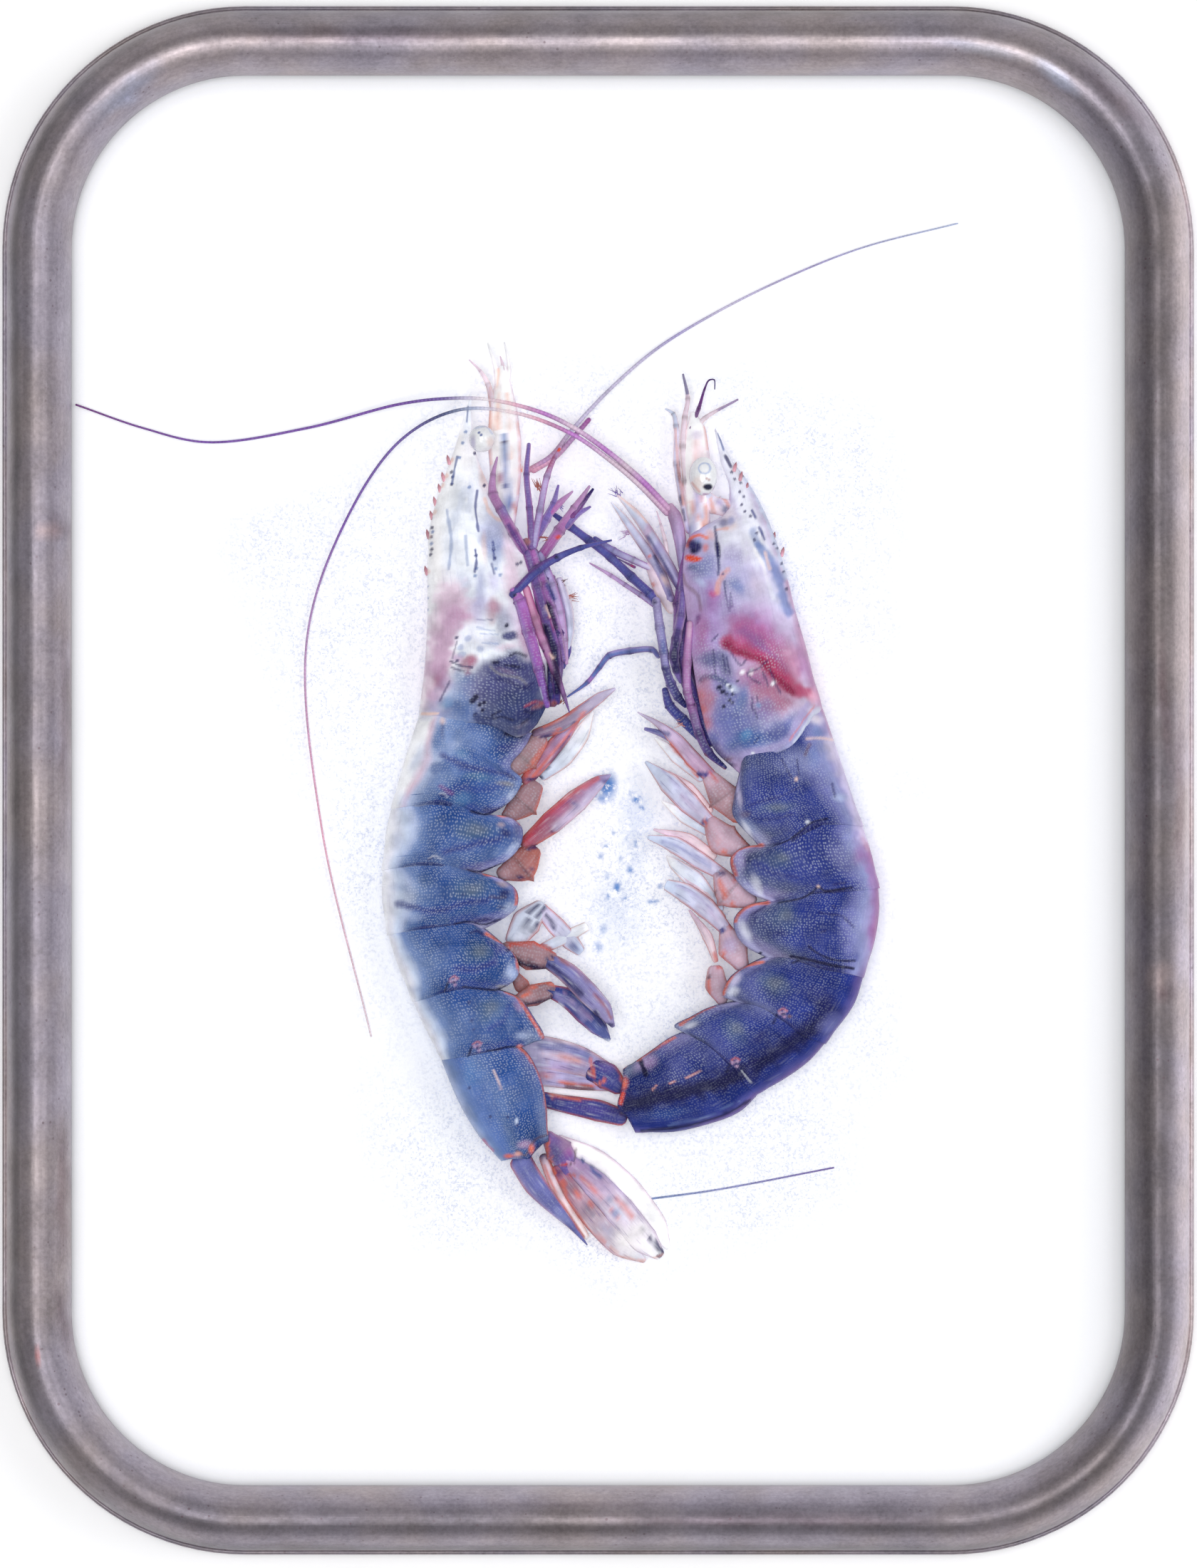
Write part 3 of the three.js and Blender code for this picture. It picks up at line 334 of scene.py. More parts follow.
def limb(piece, stations, style, flat=False, pitch=0.35, sides=LIMB_SIDES, marks=(), stops=None):
    """A tapering limb through stations of x, y, z, half width and half height. It takes its colours
    from a style, or from stops of (share of its length, colour, opacity), and has a joint at each
    station of a leg."""
    table = np.array(stations, float)
    count = max(8, int(lengths_along(table[:, :3])[-1] / pitch))
    centres = spline(table[:, :3], count)
    t = np.linspace(0, 1, count)
    knots = np.linspace(0, 1, len(table))
    wide = np.interp(t, knots, table[:, 3])
    high = np.interp(t, knots, table[:, 4])
    joints = [] if flat or stops else knots[1:-1]
    swell = sum((hill(t, at, JOINT_LENGTH) for at in joints), np.zeros(count))
    wide, high = wide * (1 + JOINT_SWELL * swell), high * (1 + JOINT_SWELL * swell)
    ahead, side, up = frames_along(centres)
    turn = 2 * np.pi * np.arange(sides) / sides
    across, lift = np.cos(turn), np.sin(turn)
    if flat:
        lift = np.sign(lift) * np.abs(lift) ** BLADE_FLATNESS
        lift = lift + RIB_HEIGHT * hill(across, 0, RIB_WIDTH) * np.sign(lift)
    side_root, side_tip, core_root, core_tip, core, edge_alpha, dots, streaks = STYLES[style]
    inner = 1 - smooth_step(np.abs(across), core, 1.0)
    if stops:
        core_tints, clear = graded(stops, t)
    run = lengths_along(centres)
    rings, tints, plans = [], [], []
    for centre, w, h, shrink, i in rounded_off(centres, ahead, wide, high):
        rings.append(centre + shrink * (w * across[:, None] * side[i] + h * lift[:, None] * up[i]))
        fade = t[i]
        if stops:
            # painted shade: a limb coloured by stops is darker along its sides than along its middle
            tint = core_tints[i] * (0.8 + 0.25 * inner[:, None])
            alpha = np.full(sides, clear[i])
        else:
            edge = linear(side_root) * (1 - fade) + linear(side_tip) * fade
            middle = linear(core_root) * (1 - fade) + linear(core_tip) * fade
            tint = edge * (1 - inner[:, None]) + middle * inner[:, None]
            alpha = edge_alpha + (1 - edge_alpha) * inner * 0.6
        mottle = 1 + 0.10 * noise(rings[-1], 1.6, 5)[:, None] - JOINT_SHADE * swell[i]
        tints.append(rgba(np.clip(tint * mottle, 0, 1), alpha))
        plans.append(np.stack([np.full(sides, run[i]), np.abs(((turn / np.pi + 0.5) % 2) - 1) * 2 * w],
                              axis=1))
    points = np.vstack(rings)
    tints = np.vstack(tints)
    tints[:, :3] = paint(points, tints[:, :3].copy(), marks)
    faces = capped_faces(len(rings), sides)
    piece.add(points, facing_out(points, faces), tints, (dots, streaks), np.vstack(plans))


def whisker(piece, path, root_radius, tip_radius, stops, pitch=0.6):
    radii = tip_radius + (root_radius - tip_radius) * np.linspace(1, 0, len(path)) ** 1.5
    stations = [(*p, r, r) for p, r in zip(path, radii)]
    limb(piece, stations, "pale", pitch=pitch, sides=WHISKER_SIDES, stops=stops)


def bristles(piece, groups):
    """Fine stiff hairs: each group is (colour, count, length, turn, spread, x, y, z, reach)."""
    rng = np.random.default_rng(HAIR_SEED)
    for name, count, length, turn, spread, x, y, z, reach in groups:
        for _ in range(count):
            angle = math.radians(turn + spread * rng.uniform(-1, 1))
            root = np.array([x, y, z]) + reach * rng.uniform(-1, 1, 3) * [1, 1, 0.3]
            tip = root + length * rng.uniform(0.6, 1) * np.array([math.cos(angle), math.sin(angle), 0.1])
            stops = [(0, name, 1), (1, name, 0.8)]
            whisker(piece, [root, (root + tip) / 2, tip], HAIR_ROOT, HAIR_TIP, stops, pitch=0.5)


# ---- painting --------------------------------------------------------------------------------
def blob_cover(points, x, y, rx, ry, turn, soft, ragged):
    angle = math.radians(turn)
    dx, dy = points[:, 0] - x, points[:, 1] - y
    dx = dx + ragged * cloud(points, 2.4, 11)
    dy = dy + ragged * cloud(points, 2.4, 23)
    along = (dx * math.cos(angle) + dy * math.sin(angle)) / rx
    across = (-dx * math.sin(angle) + dy * math.cos(angle)) / ry
    return 1 - smooth_step(np.hypot(along, across), 1 - soft, 1 + 0.25 * soft)


def line_cover(points, path, width, soft):
    far = np.full(len(points), 1e9)
    route = spline(path, 8 * len(path)) if len(path) > 2 else np.array(path, float)
    for a, b in zip(route[:-1], route[1:]):
        span = b - a
        t = np.clip(((points[:, :2] - a) @ span) / (span @ span + 1e-12), 0, 1)
        far = np.minimum(far, np.linalg.norm(points[:, :2] - a - t[:, None] * span, axis=1))
    return 1 - smooth_step(far, width / 2 * (1 - soft), width / 2 * (1 + soft))


def paint(points, tint, strokes):
    """Lays the strokes over the colours: a blob is (colour, strength, x, y, rx, ry, turn), with
    softness after it, and a line is (colour, strength, width, [points])."""
    for colour, strength, *shape in strokes:
        if isinstance(shape[-1], list):
            width, path = shape
            reach = np.array(path)
            low, high = reach.min(0) - width, reach.max(0) + width
            near = np.all((points[:, :2] > low) & (points[:, :2] < high), axis=1)
            if not near.any():
                continue
            cover = line_cover(points[near], path, width * (1 + 0.35 * noise(points[near], 0.9, 3)), 0.6)
        else:
            x, y, rx, ry, turn = shape[:5]
            soft = shape[5] if len(shape) > 5 else 0.8
            reach = 1.4 * max(rx, ry) + 1.5
            near = (np.abs(points[:, 0] - x) < reach) & (np.abs(points[:, 1] - y) < reach)
            if not near.any():
                continue
            ragged = min(1.2, 0.45 * min(rx, ry))
            cover = blob_cover(points[near], x, y, rx, ry, turn, soft, ragged)
        cover = (strength * cover)[:, None]
        tint[near] = tint[near] * (1 - cover) + linear(colour) * cover
    return tint


# ---- shell plates ----------------------------------------------------------------------------
def half_thickness_at(u):
    """Share of the full half thickness, from the back ridge (0) to the flap's edge (1)."""
    rising = np.sqrt(np.clip(1 - ((SECTION_WIDEST - u) / SECTION_WIDEST) ** 2, 0, 1))
    falling = 1 - (1 - FLAP_THICKNESS) * (np.clip(u - SECTION_WIDEST, 0, 1) / (1 - SECTION_WIDEST)) ** 2
    return np.where(u < SECTION_WIDEST, rising, falling)


def coons_patch(front, rear, dorsal, ventral, rows, columns):
    """Rows of points between four edges: from the front one to the rear one, back to belly."""
    start, end = even(front, columns + 1), even(rear, columns + 1)
    back, belly = even(dorsal, rows + 1), even(ventral, rows + 1)
    back[0], back[-1], belly[0], belly[-1] = start[0], end[0], start[-1], end[-1]
    u = np.linspace(0, 1, columns + 1)[None, :, None]
    v = np.linspace(0, 1, rows + 1)[:, None, None]
    corner = (start[0] * (1 - u) * (1 - v) + start[-1] * u * (1 - v)
              + end[0] * (1 - u) * v + end[-1] * u * v)
    return start[None] * (1 - v) + end[None] * v + back[:, None] * (1 - u) + belly[:, None] * u - corner


def far_side(near, net, picks, centre, half, top):
    """The rings' points behind the near side: a thin rim and a groove along the belly, then the
    far side, which is coarser and has points only at the columns in picks."""
    far = np.stack([np.column_stack([net[:, k], centre - half * top[k]]) for k in picks], axis=1)
    groove = []
    for inset, level in ((0.9, 0.30), (0.78, 0.0), (0.9, -0.30)):
        k = int(inset * (net.shape[1] - 1))
        groove.append(np.column_stack([net[:, k], centre + half * level]))
    rim_above = near[:, -1] - [0, 0, BELLY_RIM]
    rim_below = far[:, 0] + [0, 0, BELLY_RIM]
    return np.concatenate([rim_above[:, None], np.stack(groove, axis=1), rim_below[:, None], far], axis=1)


def plate(piece, shape, colour_at, relief, tuck=PLATE_TUCK):
    """A shell plate over the Coons patch between its four edges, with a lip over the next plate."""
    front, rear, dorsal, ventral = (shape[k] for k in ("front", "rear", "dorsal", "ventral"))
    long = lengths_along(spline(dorsal, 60))[-1]
    deep = lengths_along(spline(rear, 60))[-1]
    rows, columns = int(long / SHELL_PITCH), int(deep / SHELL_PITCH)
    net = coons_patch(front, rear, dorsal, ventral, rows, columns)
    # more rows: tucked under the plate in front, and lapping over the one behind
    step_in, step_out = unit_rows(net[0] - net[min(4, rows)]), unit_rows(net[-1] - net[-min(5, rows)])
    tucks = np.linspace(tuck, 0, LAP_STEPS)[:-1] if tuck else []
    laps = np.linspace(0, PLATE_LAP, LAP_STEPS)[1:]
    tucked = [[net[0] + step_in * d for d in tucks]] if tuck else []
    net = np.concatenate([*tucked, net, [net[-1] + step_out * d for d in laps]])
    run = np.concatenate([-np.array(tucks), np.linspace(0, long, rows + 1), long + laps])
    u, v = np.linspace(0, 1, columns + 1), np.clip(run / long, 0, 1)
    # the tucked rows lie a little inside the plate in front, and the lip stands out a little
    under = 1 - smooth_step(run, -tuck, 1.0)
    over = smooth_step(run, long - 2.2, long + 0.1)
    pull = (0.3 * under - 0.15 * over) if tuck else 0 * under
    inward = unit_rows(net[:, -1] - net[:, 0])
    net = net + pull[:, None, None] * inward[:, None] * ((1 - u) ** 4 - u ** 6)[None, :, None]
    knots = np.linspace(0, 1, len(shape["half"]))
    half = np.interp(v, knots, shape["half"]) * (1 - 0.05 * under * bool(tuck) + 0.03 * over)
    centre = np.interp(v, knots, shape["centre"])
    top = half_thickness_at(u)
    size = columns + 1
    flat_net = net.reshape(-1, 2)
    height = (centre[:, None] + half[:, None] * top[None]).ravel()
    deep_run = lengths_along(net[len(net) // 2])
    along, across = np.repeat(run, size), np.tile(deep_run, len(net))
    fields = {"x": flat_net, "v": np.repeat(v, size), "along": along, "across": across,
              "from_edge": deep_run[-1] - across, "long": long}
    height = height + relief(fields) * smooth_step(across, 0, 2.0)
    near = np.column_stack([flat_net, height]).reshape(len(net), size, 3)
    # the last pick is the back ridge, where the near side starts
    picks = np.unique(np.linspace(0, columns, FAR_SIDE_STEPS).astype(int))[:0:-1]
    rest = far_side(near, net, picks, centre, half, top)
    rings = np.concatenate([near, rest], axis=1)
    count, ring = rings.shape[:2]
    points = rings.reshape(-1, 3)
    tint, dots, streaks = colour_at(fields)
    # the belly and the far side take their colour from inside the painted edge
    inner = int(PAINTED_SHARE * columns)
    index = np.concatenate([np.arange(size), np.full(rest.shape[1] - len(picks), inner),
                            np.minimum(picks, inner)])
    spread = (np.arange(count)[:, None] * size + index[None]).ravel()
    marks, plan = np.column_stack([dots, streaks])[spread], np.column_stack([along, across])[spread]
    piece.add(points, facing_out(points, capped_faces(count, ring)), rgba(tint)[spread], marks, plan)


# ---- materials -------------------------------------------------------------------------------
class Nodes:
    """A material's node tree, with short calls for the nodes that this script uses."""

    def __init__(self, name, roughness, metallic=0.0):
        self.material = bpy.data.materials.new(name)
        self.material.use_nodes = True
        self.tree = self.material.node_tree
        self.shader = self.tree.nodes["Principled BSDF"]
        self.shader.inputs["Roughness"].default_value = roughness
        self.shader.inputs["Metallic"].default_value = metallic

    def node(self, kind, inputs=(), **settings):
        made = self.tree.nodes.new(kind)
        for name, value in settings.items():
            setattr(made, name, value)
        for key, value in dict(inputs).items():
            self.put(made.inputs[key], value)
        return made

    def put(self, socket, value):
        if isinstance(value, bpy.types.NodeSocket):
            self.tree.links.new(value, socket)
        elif isinstance(value, bpy.types.Node):
            self.tree.links.new(value.outputs[0], socket)
        else:
            socket.default_value = value

    def set(self, **values):
        for name, value in values.items():
            self.put(self.shader.inputs[name.replace("_", " ")], value)

    def math(self, kind, a, b=0.0, clamp=False):
        return self.node("ShaderNodeMath", {0: a, 1: b}, operation=kind, use_clamp=clamp).outputs[0]

    def ramp(self, value, low, high, start=0.0, end=1.0):
        return self.node("ShaderNodeMapRange", {"Value": value, "From Min": low, "From Max": high,
                                                "To Min": start, "To Max": end}).outputs[0]

    def place(self):
        return self.node("ShaderNodeTexCoord").outputs["Object"]

    def plan(self):
        return self.node("ShaderNodeUVMap", uv_map="plan").outputs[0]

    def attribute(self, name):
        return self.node("ShaderNodeAttribute", attribute_name=name)

    def mix(self, factor, a, b, kind="MIX"):
        made = self.node("ShaderNodeMix", data_type="RGBA", blend_type=kind)
        self.put(made.inputs[0], factor)
        self.put(made.inputs[6], a)
        self.put(made.inputs[7], b)
        return made.outputs[2]

    def shaded(self, tint, shade):
        """A colour times a grey level."""
        grey = self.node("ShaderNodeCombineColor", {0: shade, 1: shade, 2: shade})
        return self.mix(1.0, tint, grey, "MULTIPLY")

    def noise(self, vector, scale, detail=3.0, roughness=0.55):
        inputs = {"Vector": vector, "Scale": scale, "Detail": detail, "Roughness": roughness}
        return self.node("ShaderNodeTexNoise", inputs).outputs[0]

    def bump(self, height, strength, distance):
        inputs = {"Height": height, "Strength": strength, "Distance": distance}
        return self.node("ShaderNodeBump", inputs).outputs[0]


def colour(name):
    return (*linear(name), 1.0)


def shell_material(name, roughness=0.42, bump=0.5, see_through=False):
    """Thin dried shell: painted colour, fine white dots, dark streaks along it and a waxy surface."""
    m = Nodes(name, roughness)
    place = m.place()
    plan = m.plan()
    tint = m.attribute("tint")
    dots_at = m.attribute("dots").outputs["Fac"]
    streaks_at = m.attribute("streaks").outputs["Fac"]
    # mottled colour
    cloudy = m.noise(place, 260.0, 4.0)
    shade = m.ramp(cloudy, 0.3, 0.7, 0.82, 1.16)
    base = m.shaded(tint.outputs["Color"], shade)
    # streaks that run along the piece
    stretch = m.node("ShaderNodeMapping", {"Vector": plan, "Scale": (0.22, 2.6, 1.0)})
    stripes = m.noise(stretch, 1.0, 2.0)
    dark = m.math("MULTIPLY", m.ramp(stripes, 0.56, 0.72), streaks_at, True)
    pale = m.math("MULTIPLY", m.ramp(stripes, 0.44, 0.30), streaks_at, True)
    base = m.mix(m.math("MULTIPLY", dark, DARK_STREAK), base, colour("deep_violet"))
    base = m.mix(m.math("MULTIPLY", pale, PALE_STREAK), base, colour("white"))
    # fine pale dots, evenly spread
    cells = m.node("ShaderNodeTexVoronoi", {"Vector": plan, "Scale": 1 / DOT_PITCH, "Randomness": 0.6},
                   voronoi_dimensions="2D")
    dot = m.ramp(cells.outputs["Distance"], 0.36, 0.16)
    bright = m.ramp(m.noise(place, 300.0, 2.0), 0.35, 0.65, 0.3, 1.0)
    dot = m.math("MULTIPLY", m.math("MULTIPLY", dot, bright), dots_at, True)
    base = m.mix(m.math("MULTIPLY", dot, DOT_STRENGTH), base, colour("mist"))
    # painted light: the palest shell glows in its own colour, the more the paler it is
    m.set(Base_Color=base, Emission_Color=base, Emission_Strength=m.ramp(base, 0.35, 0.9, 0.0, SHELL_GLOW))
    grain = m.noise(place, 1500.0, 3.0)
    folds = m.noise(m.node("ShaderNodeMapping", {"Vector": plan, "Scale": (0.5, 0.16, 1.0)}), 1.0, 3.0)
    height = m.math("ADD", m.math("MULTIPLY", grain, 0.25),
                    m.math("ADD", folds, m.math("MULTIPLY", dark, -0.4)))
    m.set(Normal=m.bump(height, bump, 0.0006), Specular_IOR_Level=0.1)
    if see_through:
        m.set(Alpha=tint.outputs["Alpha"])
    return m.material


def eye_material():
    m = Nodes("eye_cornea", 0.18)
    place = m.place()
    tint = m.attribute("tint")
    facets = m.node("ShaderNodeTexVoronoi", {"Vector": place, "Scale": 2600.0}).outputs["Distance"]
    shade = m.ramp(m.noise(place, 900.0), 0.3, 0.7, 0.92, 1.05)
    m.set(Base_Color=m.shaded(tint.outputs["Color"], shade))
    m.set(Normal=m.bump(facets, 0.25, 0.0002), Coat_Weight=0.5, Coat_Roughness=0.1)
    return m.material


def whip_material():
    """Antennae: fine rings across a smooth tapering whip."""
    m = Nodes("antenna_whip", 0.38)
    plan = m.plan()
    place = m.place()
    tint = m.attribute("tint")
    along = m.node("ShaderNodeSeparateXYZ", {0: plan}).outputs[0]
    rings = m.math("SINE", m.math("MULTIPLY", along, 2 * math.pi / WHIP_RING_PITCH))
    shade = m.math("ADD", m.ramp(rings, -1, 1, 0.9, 1.04),
                   m.ramp(m.noise(place, 500.0), 0.3, 0.7, -0.08, 0.08))
    m.set(Base_Color=m.shaded(tint.outputs["Color"], shade))
    m.set(Normal=m.bump(rings, 0.4, 0.0001), Alpha=tint.outputs["Alpha"])
    return m.material


def metal_material():
    """Aged pewter: mottled in grey, violet and brown, finely speckled, faintly brushed along."""
    m = Nodes("aged_pewter", 0.5, 0.8)
    place = m.place()
    plan = m.plan()
    tint = m.attribute("tint")
    broad = m.noise(place, 110.0, 5.0, 0.6)
    fine = m.noise(place, 1300.0, 3.0, 0.7)
    brushed = m.noise(m.node("ShaderNodeMapping", {"Vector": plan, "Scale": (0.03, 1.1, 1.0)}), 1.0, 4.0)
    shade = m.math("ADD", m.ramp(broad, 0.3, 0.7, 0.84, 1.14),
                   m.math("ADD", m.ramp(fine, 0.3, 0.7, -0.16, 0.16),
                          m.ramp(brushed, 0.3, 0.7, -0.06, 0.06)))
    hue = m.mix(m.ramp(m.noise(place, 45.0, 4.0), 0.38, 0.62), (1.0, 0.96, 0.93, 1), (0.95, 0.96, 1.06, 1))
    base = m.shaded(tint.outputs["Color"], shade)
    base = m.mix(1.0, base, hue, "MULTIPLY")
    pits = m.node("ShaderNodeTexVoronoi", {"Vector": place, "Scale": 520.0}).outputs["Distance"]
    pit = m.math("MULTIPLY", m.math("LESS_THAN", pits, 0.12), m.ramp(m.noise(place, 90.0), 0.42, 0.62))
    base = m.mix(m.math("MULTIPLY", pit, 0.45), base, colour("umber"))
    m.set(Base_Color=base, Roughness=m.ramp(m.noise(place, 140.0, 4.0), 0.3, 0.7, 0.42, 0.58))
    height = m.math("ADD", fine, m.math("ADD", brushed, m.math("MULTIPLY", pit, -0.8)))
    m.set(Normal=m.bump(height, 0.12, 0.0003))
    return m.material


def board_material():
    """White card with a faint blue-grey fleck where the specimens were laid out, and blue stains."""
    m = Nodes("white_card", 0.9)
    place = m.place()
    tint = m.attribute("tint")
    fleck_at = m.attribute("dots").outputs["Fac"]
    stain_at = m.attribute("streaks").outputs["Fac"]
    grain = m.noise(place, 2500.0, 3.0, 0.75)
    patches = m.ramp(m.noise(place, 300.0, 3.0), 0.25, 0.55, 0.35, 1.0)
    fleck = m.math("MULTIPLY", m.math("MULTIPLY", m.ramp(grain, 0.49, 0.6), patches), fleck_at, True)
    base = m.mix(m.math("MULTIPLY", fleck, 0.65), tint.outputs["Color"], colour("fleck"))
    clots = m.ramp(m.noise(place, 900.0, 3.0, 0.6), 0.34, 0.46)
    base = m.mix(m.math("MULTIPLY", clots, stain_at, True), base, colour("cerulean"))
    m.set(Base_Color=base, Normal=m.bump(grain, 0.25, 0.0002))
    m.set(Emission_Color=base, Emission_Strength=BOARD_GLOW)
    return m.material


SHELL = shell_material("prawn_shell")
THIN_SHELL = shell_material("thin_shell", 0.4, 0.4, see_through=True)
EYE = eye_material()
WHIP = whip_material()
METAL = metal_material()
CARD = board_material()


# ---- frame and board -------------------------------------------------------------------------
def rounded_loop(out, corner_steps, side_pitch):
    """Points round a rounded rectangle that stands out beyond the opening."""
    radius = OPENING["radius"] + out
    dx, dy = STRAIGHT
    loop = []
    for quarter, (x, y) in enumerate(((dx, dy), (-dx, dy), (-dx, -dy), (dx, -dy))):
        turn = np.pi / 2 * (quarter + np.linspace(0, 1, corner_steps + 1))
        loop.append(np.column_stack([x + radius * np.cos(turn), y + radius * np.sin(turn)]))
    closed = []
    for here, ahead in zip(loop, loop[1:] + loop[:1]):
        count = int(np.linalg.norm(ahead[0] - here[-1]) / side_pitch)
        closed += [here, here[-1] + (ahead[0] - here[-1]) * np.linspace(0, 1, count + 1)[1:-1, None]]
    return np.vstack(closed)


def moulding_profile():
    """Distance out from the opening and height, counter-clockwise: thin lip, groove, half round."""
    wide, high, lip, lip_wide = (MOULDING[k] for k in ("width", "height", "lip", "lip_width"))
    bulge = (wide - lip_wide) / 2
    outer = [(wide, 0), (wide, 1.2), (wide, 2.6), (wide, lip - 0.8), (wide - 0.12, lip - 0.3),
             (wide - 0.35, lip - 0.1),
             (wide - 0.6, lip - 0.15), (wide - 0.78, lip - 0.3), (wide - 0.88, lip - 0.25)]
    turn = np.linspace(0.03, 0.97, 36) * np.pi
    crown = np.column_stack([bulge + bulge * np.cos(turn), lip + (high - lip) * np.sin(turn) ** 0.92])
    floor = BOARD_THICKNESS + GAP
    inner = [(0.0, floor + 0.25), (0.25, floor), (MOULDING["rabbet"], floor), (MOULDING["rabbet"], 0)]
    return np.vstack([outer, crown, inner])


# marks on the frame: umber spots and streaks, peach and ember spots of corrosion and rust, and pale ice
# streaks along the top corners that are painted highlights
FRAME_STAINS_AND_HIGHLIGHTS = [
    ("umber", 0.55, -91.5, 43.2, 1.6, 2.6, 80), ("peach", 0.35, -93.6, 43, 1.2, 3.4, 90),
    ("peach", 0.15, 95.8, -33.4, 1.7, 3.6, 85), ("umber", 0.35, 96.4, -36, 1.4, 2.2, 90),
    ("ember", 0.6, -76.7, -121.3, 0.5, 0.5, 0), ("ember", 0.5, -95.2, -97.3, 0.5, 0.6, 0),
    ("umber", 0.5, -91.2, -70, 1.2, 14, 0), ("umber", 0.45, -91, -92, 1.2, 7, 10),
    ("umber", 0.4, -90.8, 10, 0.9, 22, 0),
    ("umber", 0.35, 88, 116, 2, 12, 50), ("umber", 0.4, 99, -4, 1.2, 20, 0),
    ("umber", 0.3, 96.5, 12, 1.5, 14, 5),
    ("ice", 0.5, 78, 119.5, 1.4, 6, 55), ("ice", 0.35, 66, 124, 1.2, 8, 80),
    ("ice", 0.35, -80, 117, 2, 8, -50),
    ("umber", 0.35, -40, 126.5, 30, 1.8, 0), ("umber", 0.3, 30, -125.5, 34, 1.6, 0),
]


# painted shine and shade in bands along each side of the frame, as (millimetres in from the outer
# edge, half width, change in brightness)
PAINTED_SHINE_AND_SHADE = {
    "right": [(1.5, 3, 0.3), (6, 1.6, -0.5), (10, 2.5, -0.4)],
    "top": [(1.5, 2, -0.25), (7.7, 0.8, 0.35)],
    "left": [(2.8, 1.1, -0.5), (6.6, 0.9, -0.2)],
    "bottom": [(1.2, 1, -0.35), (6, 1.4, -0.4)],
}


def painted_shine_and_shade(points, out):
    """The share of brightness, with painted shine and shade, at points that are out millimetres from the
    opening.
    """
    sides = {"right": (1, 0), "top": (0, 1), "left": (-1, 0), "bottom": (0, -1)}
    core = np.array(STRAIGHT)
    away = unit_rows(points[:, :2] - np.clip(points[:, :2], -core, core))
    # the bands waver a little
    inward = MOULDING["width"] - out + 0.35 * cloud(points, 22, 61)
    left = np.zeros(len(points))
    for name, direction in sides.items():
        share = np.clip(away @ np.array(direction), 0, 1) ** 2
        bands = sum(change * hill(inward, centre, width) for centre, width, change in PAINTED_SHINE_AND_SHADE[name])
        left += share * (1 + bands)
    return left


def make_frame():
    piece = Piece("frame_moulding", "frame_metal", METAL, ["frame"])
    profile = moulding_profile()
    stations = []
    for out, z in profile:
        loop = rounded_loop(out, corner_steps=24, side_pitch=2.0)
        stations.append(np.column_stack([loop, np.full(len(loop), z)]))
    rings = np.stack(stations, axis=1)
    points = rings.reshape(-1, 3)
    # lengths round the frame are those at a point on its crown
    on_crown = 20
    around = np.repeat(lengths_along(rings[:, on_crown]), len(profile))
    across = np.tile(lengths_along(profile), len(rings))
    # painted shine and shade: bands along each side lighten and darken the metal's colour
    shine_and_shade = painted_shine_and_shade(points, np.tile(profile[:, 0], len(rings)))
    base = linear("pewter") * shine_and_shade[:, None] ** SHINE_AND_SHADE_STRENGTH
    # stains, rust and painted highlights laid over the metal's colour
    base = paint(points, base, FRAME_STAINS_AND_HIGHLIGHTS)
    faces = facing_out(points, ring_faces(len(rings), len(profile), loop=True))
    piece.add(points, faces, rgba(base), (0, 0), np.column_stack([around, across]))
    piece.make()


# the outline of the flecked part of the board, and the stains as (x, y, half width, half height,
# strength)
FLECK_ZONE = [(-40, 58), (-20, 74), (24, 74), (44, 66), (52, 48), (56, 4), (54, -52), (44, -72), (4, -90),
              (-30, -80), (-40, -62), (-50, -20), (-60, 20), (-66, 44)]
BLUE_STAINS = [
    (1.7, -1, 1.3, 2.4, 1), (0.8, -3.2, 0.8, 0.8, 0.8), (6.6, -3.3, 0.8, 0.7, 1),
    (5.4, -15.4, 0.7, 0.5, 0.9),
    (3.2, -18.3, 0.6, 1.1, 1), (1.9, -19.8, 0.7, 0.5, 0.9), (9.4, -20.9, 1.1, 0.35, 0.8),
    (10.6, -18.3, 0.3, 0.3, 0.8),
    (6.5, -10.8, 0.4, 0.8, 0.7), (4.9, -9.8, 0.5, 0.4, 0.7), (1.4, -11.2, 0.6, 0.35, 0.8),
    (0.4, -12.8, 0.5, 0.4, 0.7),
    (0.9, -25.4, 0.7, 1, 0.5), (0.1, -28.6, 0.8, 0.9, 0.6), (4.2, -27.6, 0.5, 0.6, 0.6),
    (2.6, -8.8, 0.3, 0.3, 0.7),
    (5.4, -2, 0.9, 0.5, 0.5), (6.4, -8, 2.6, 8, 0.25), (3, -22, 4, 6, 0.2), (0.4, 0.2, 0.9, 0.7, 0.9),
    (-0.6, -2.6, 0.6, 0.6, 0.8),
    (7.4, -4.8, 0.5, 0.4, 0.9), (1.6, -16.2, 0.5, 0.4, 0.6), (3.8, -13.4, 0.4, 0.4, 0.6),
    (4.6, -20.2, 0.5, 0.4, 0.7),
]


def inside(points, polygon):
    """Signed depth inside a polygon, in millimetres, positive inside."""
    corner = np.array(polygon, float)
    crossings = np.zeros(len(points), int)
    far = np.full(len(points), 1e9)
    for a, b in zip(corner, np.roll(corner, -1, axis=0)):
        span = b - a
        t = np.clip(((points - a) @ span) / (span @ span), 0, 1)
        far = np.minimum(far, np.linalg.norm(points - a - t[:, None] * span, axis=1))
        level = (a[1] > points[:, 1]) != (b[1] > points[:, 1])
        at = a[0] + (points[:, 1] - a[1]) * span[0] / (span[1] or 1e-9)
        crossings += level & (points[:, 0] < at)
    return np.where(crossings % 2 == 1, far, -far)


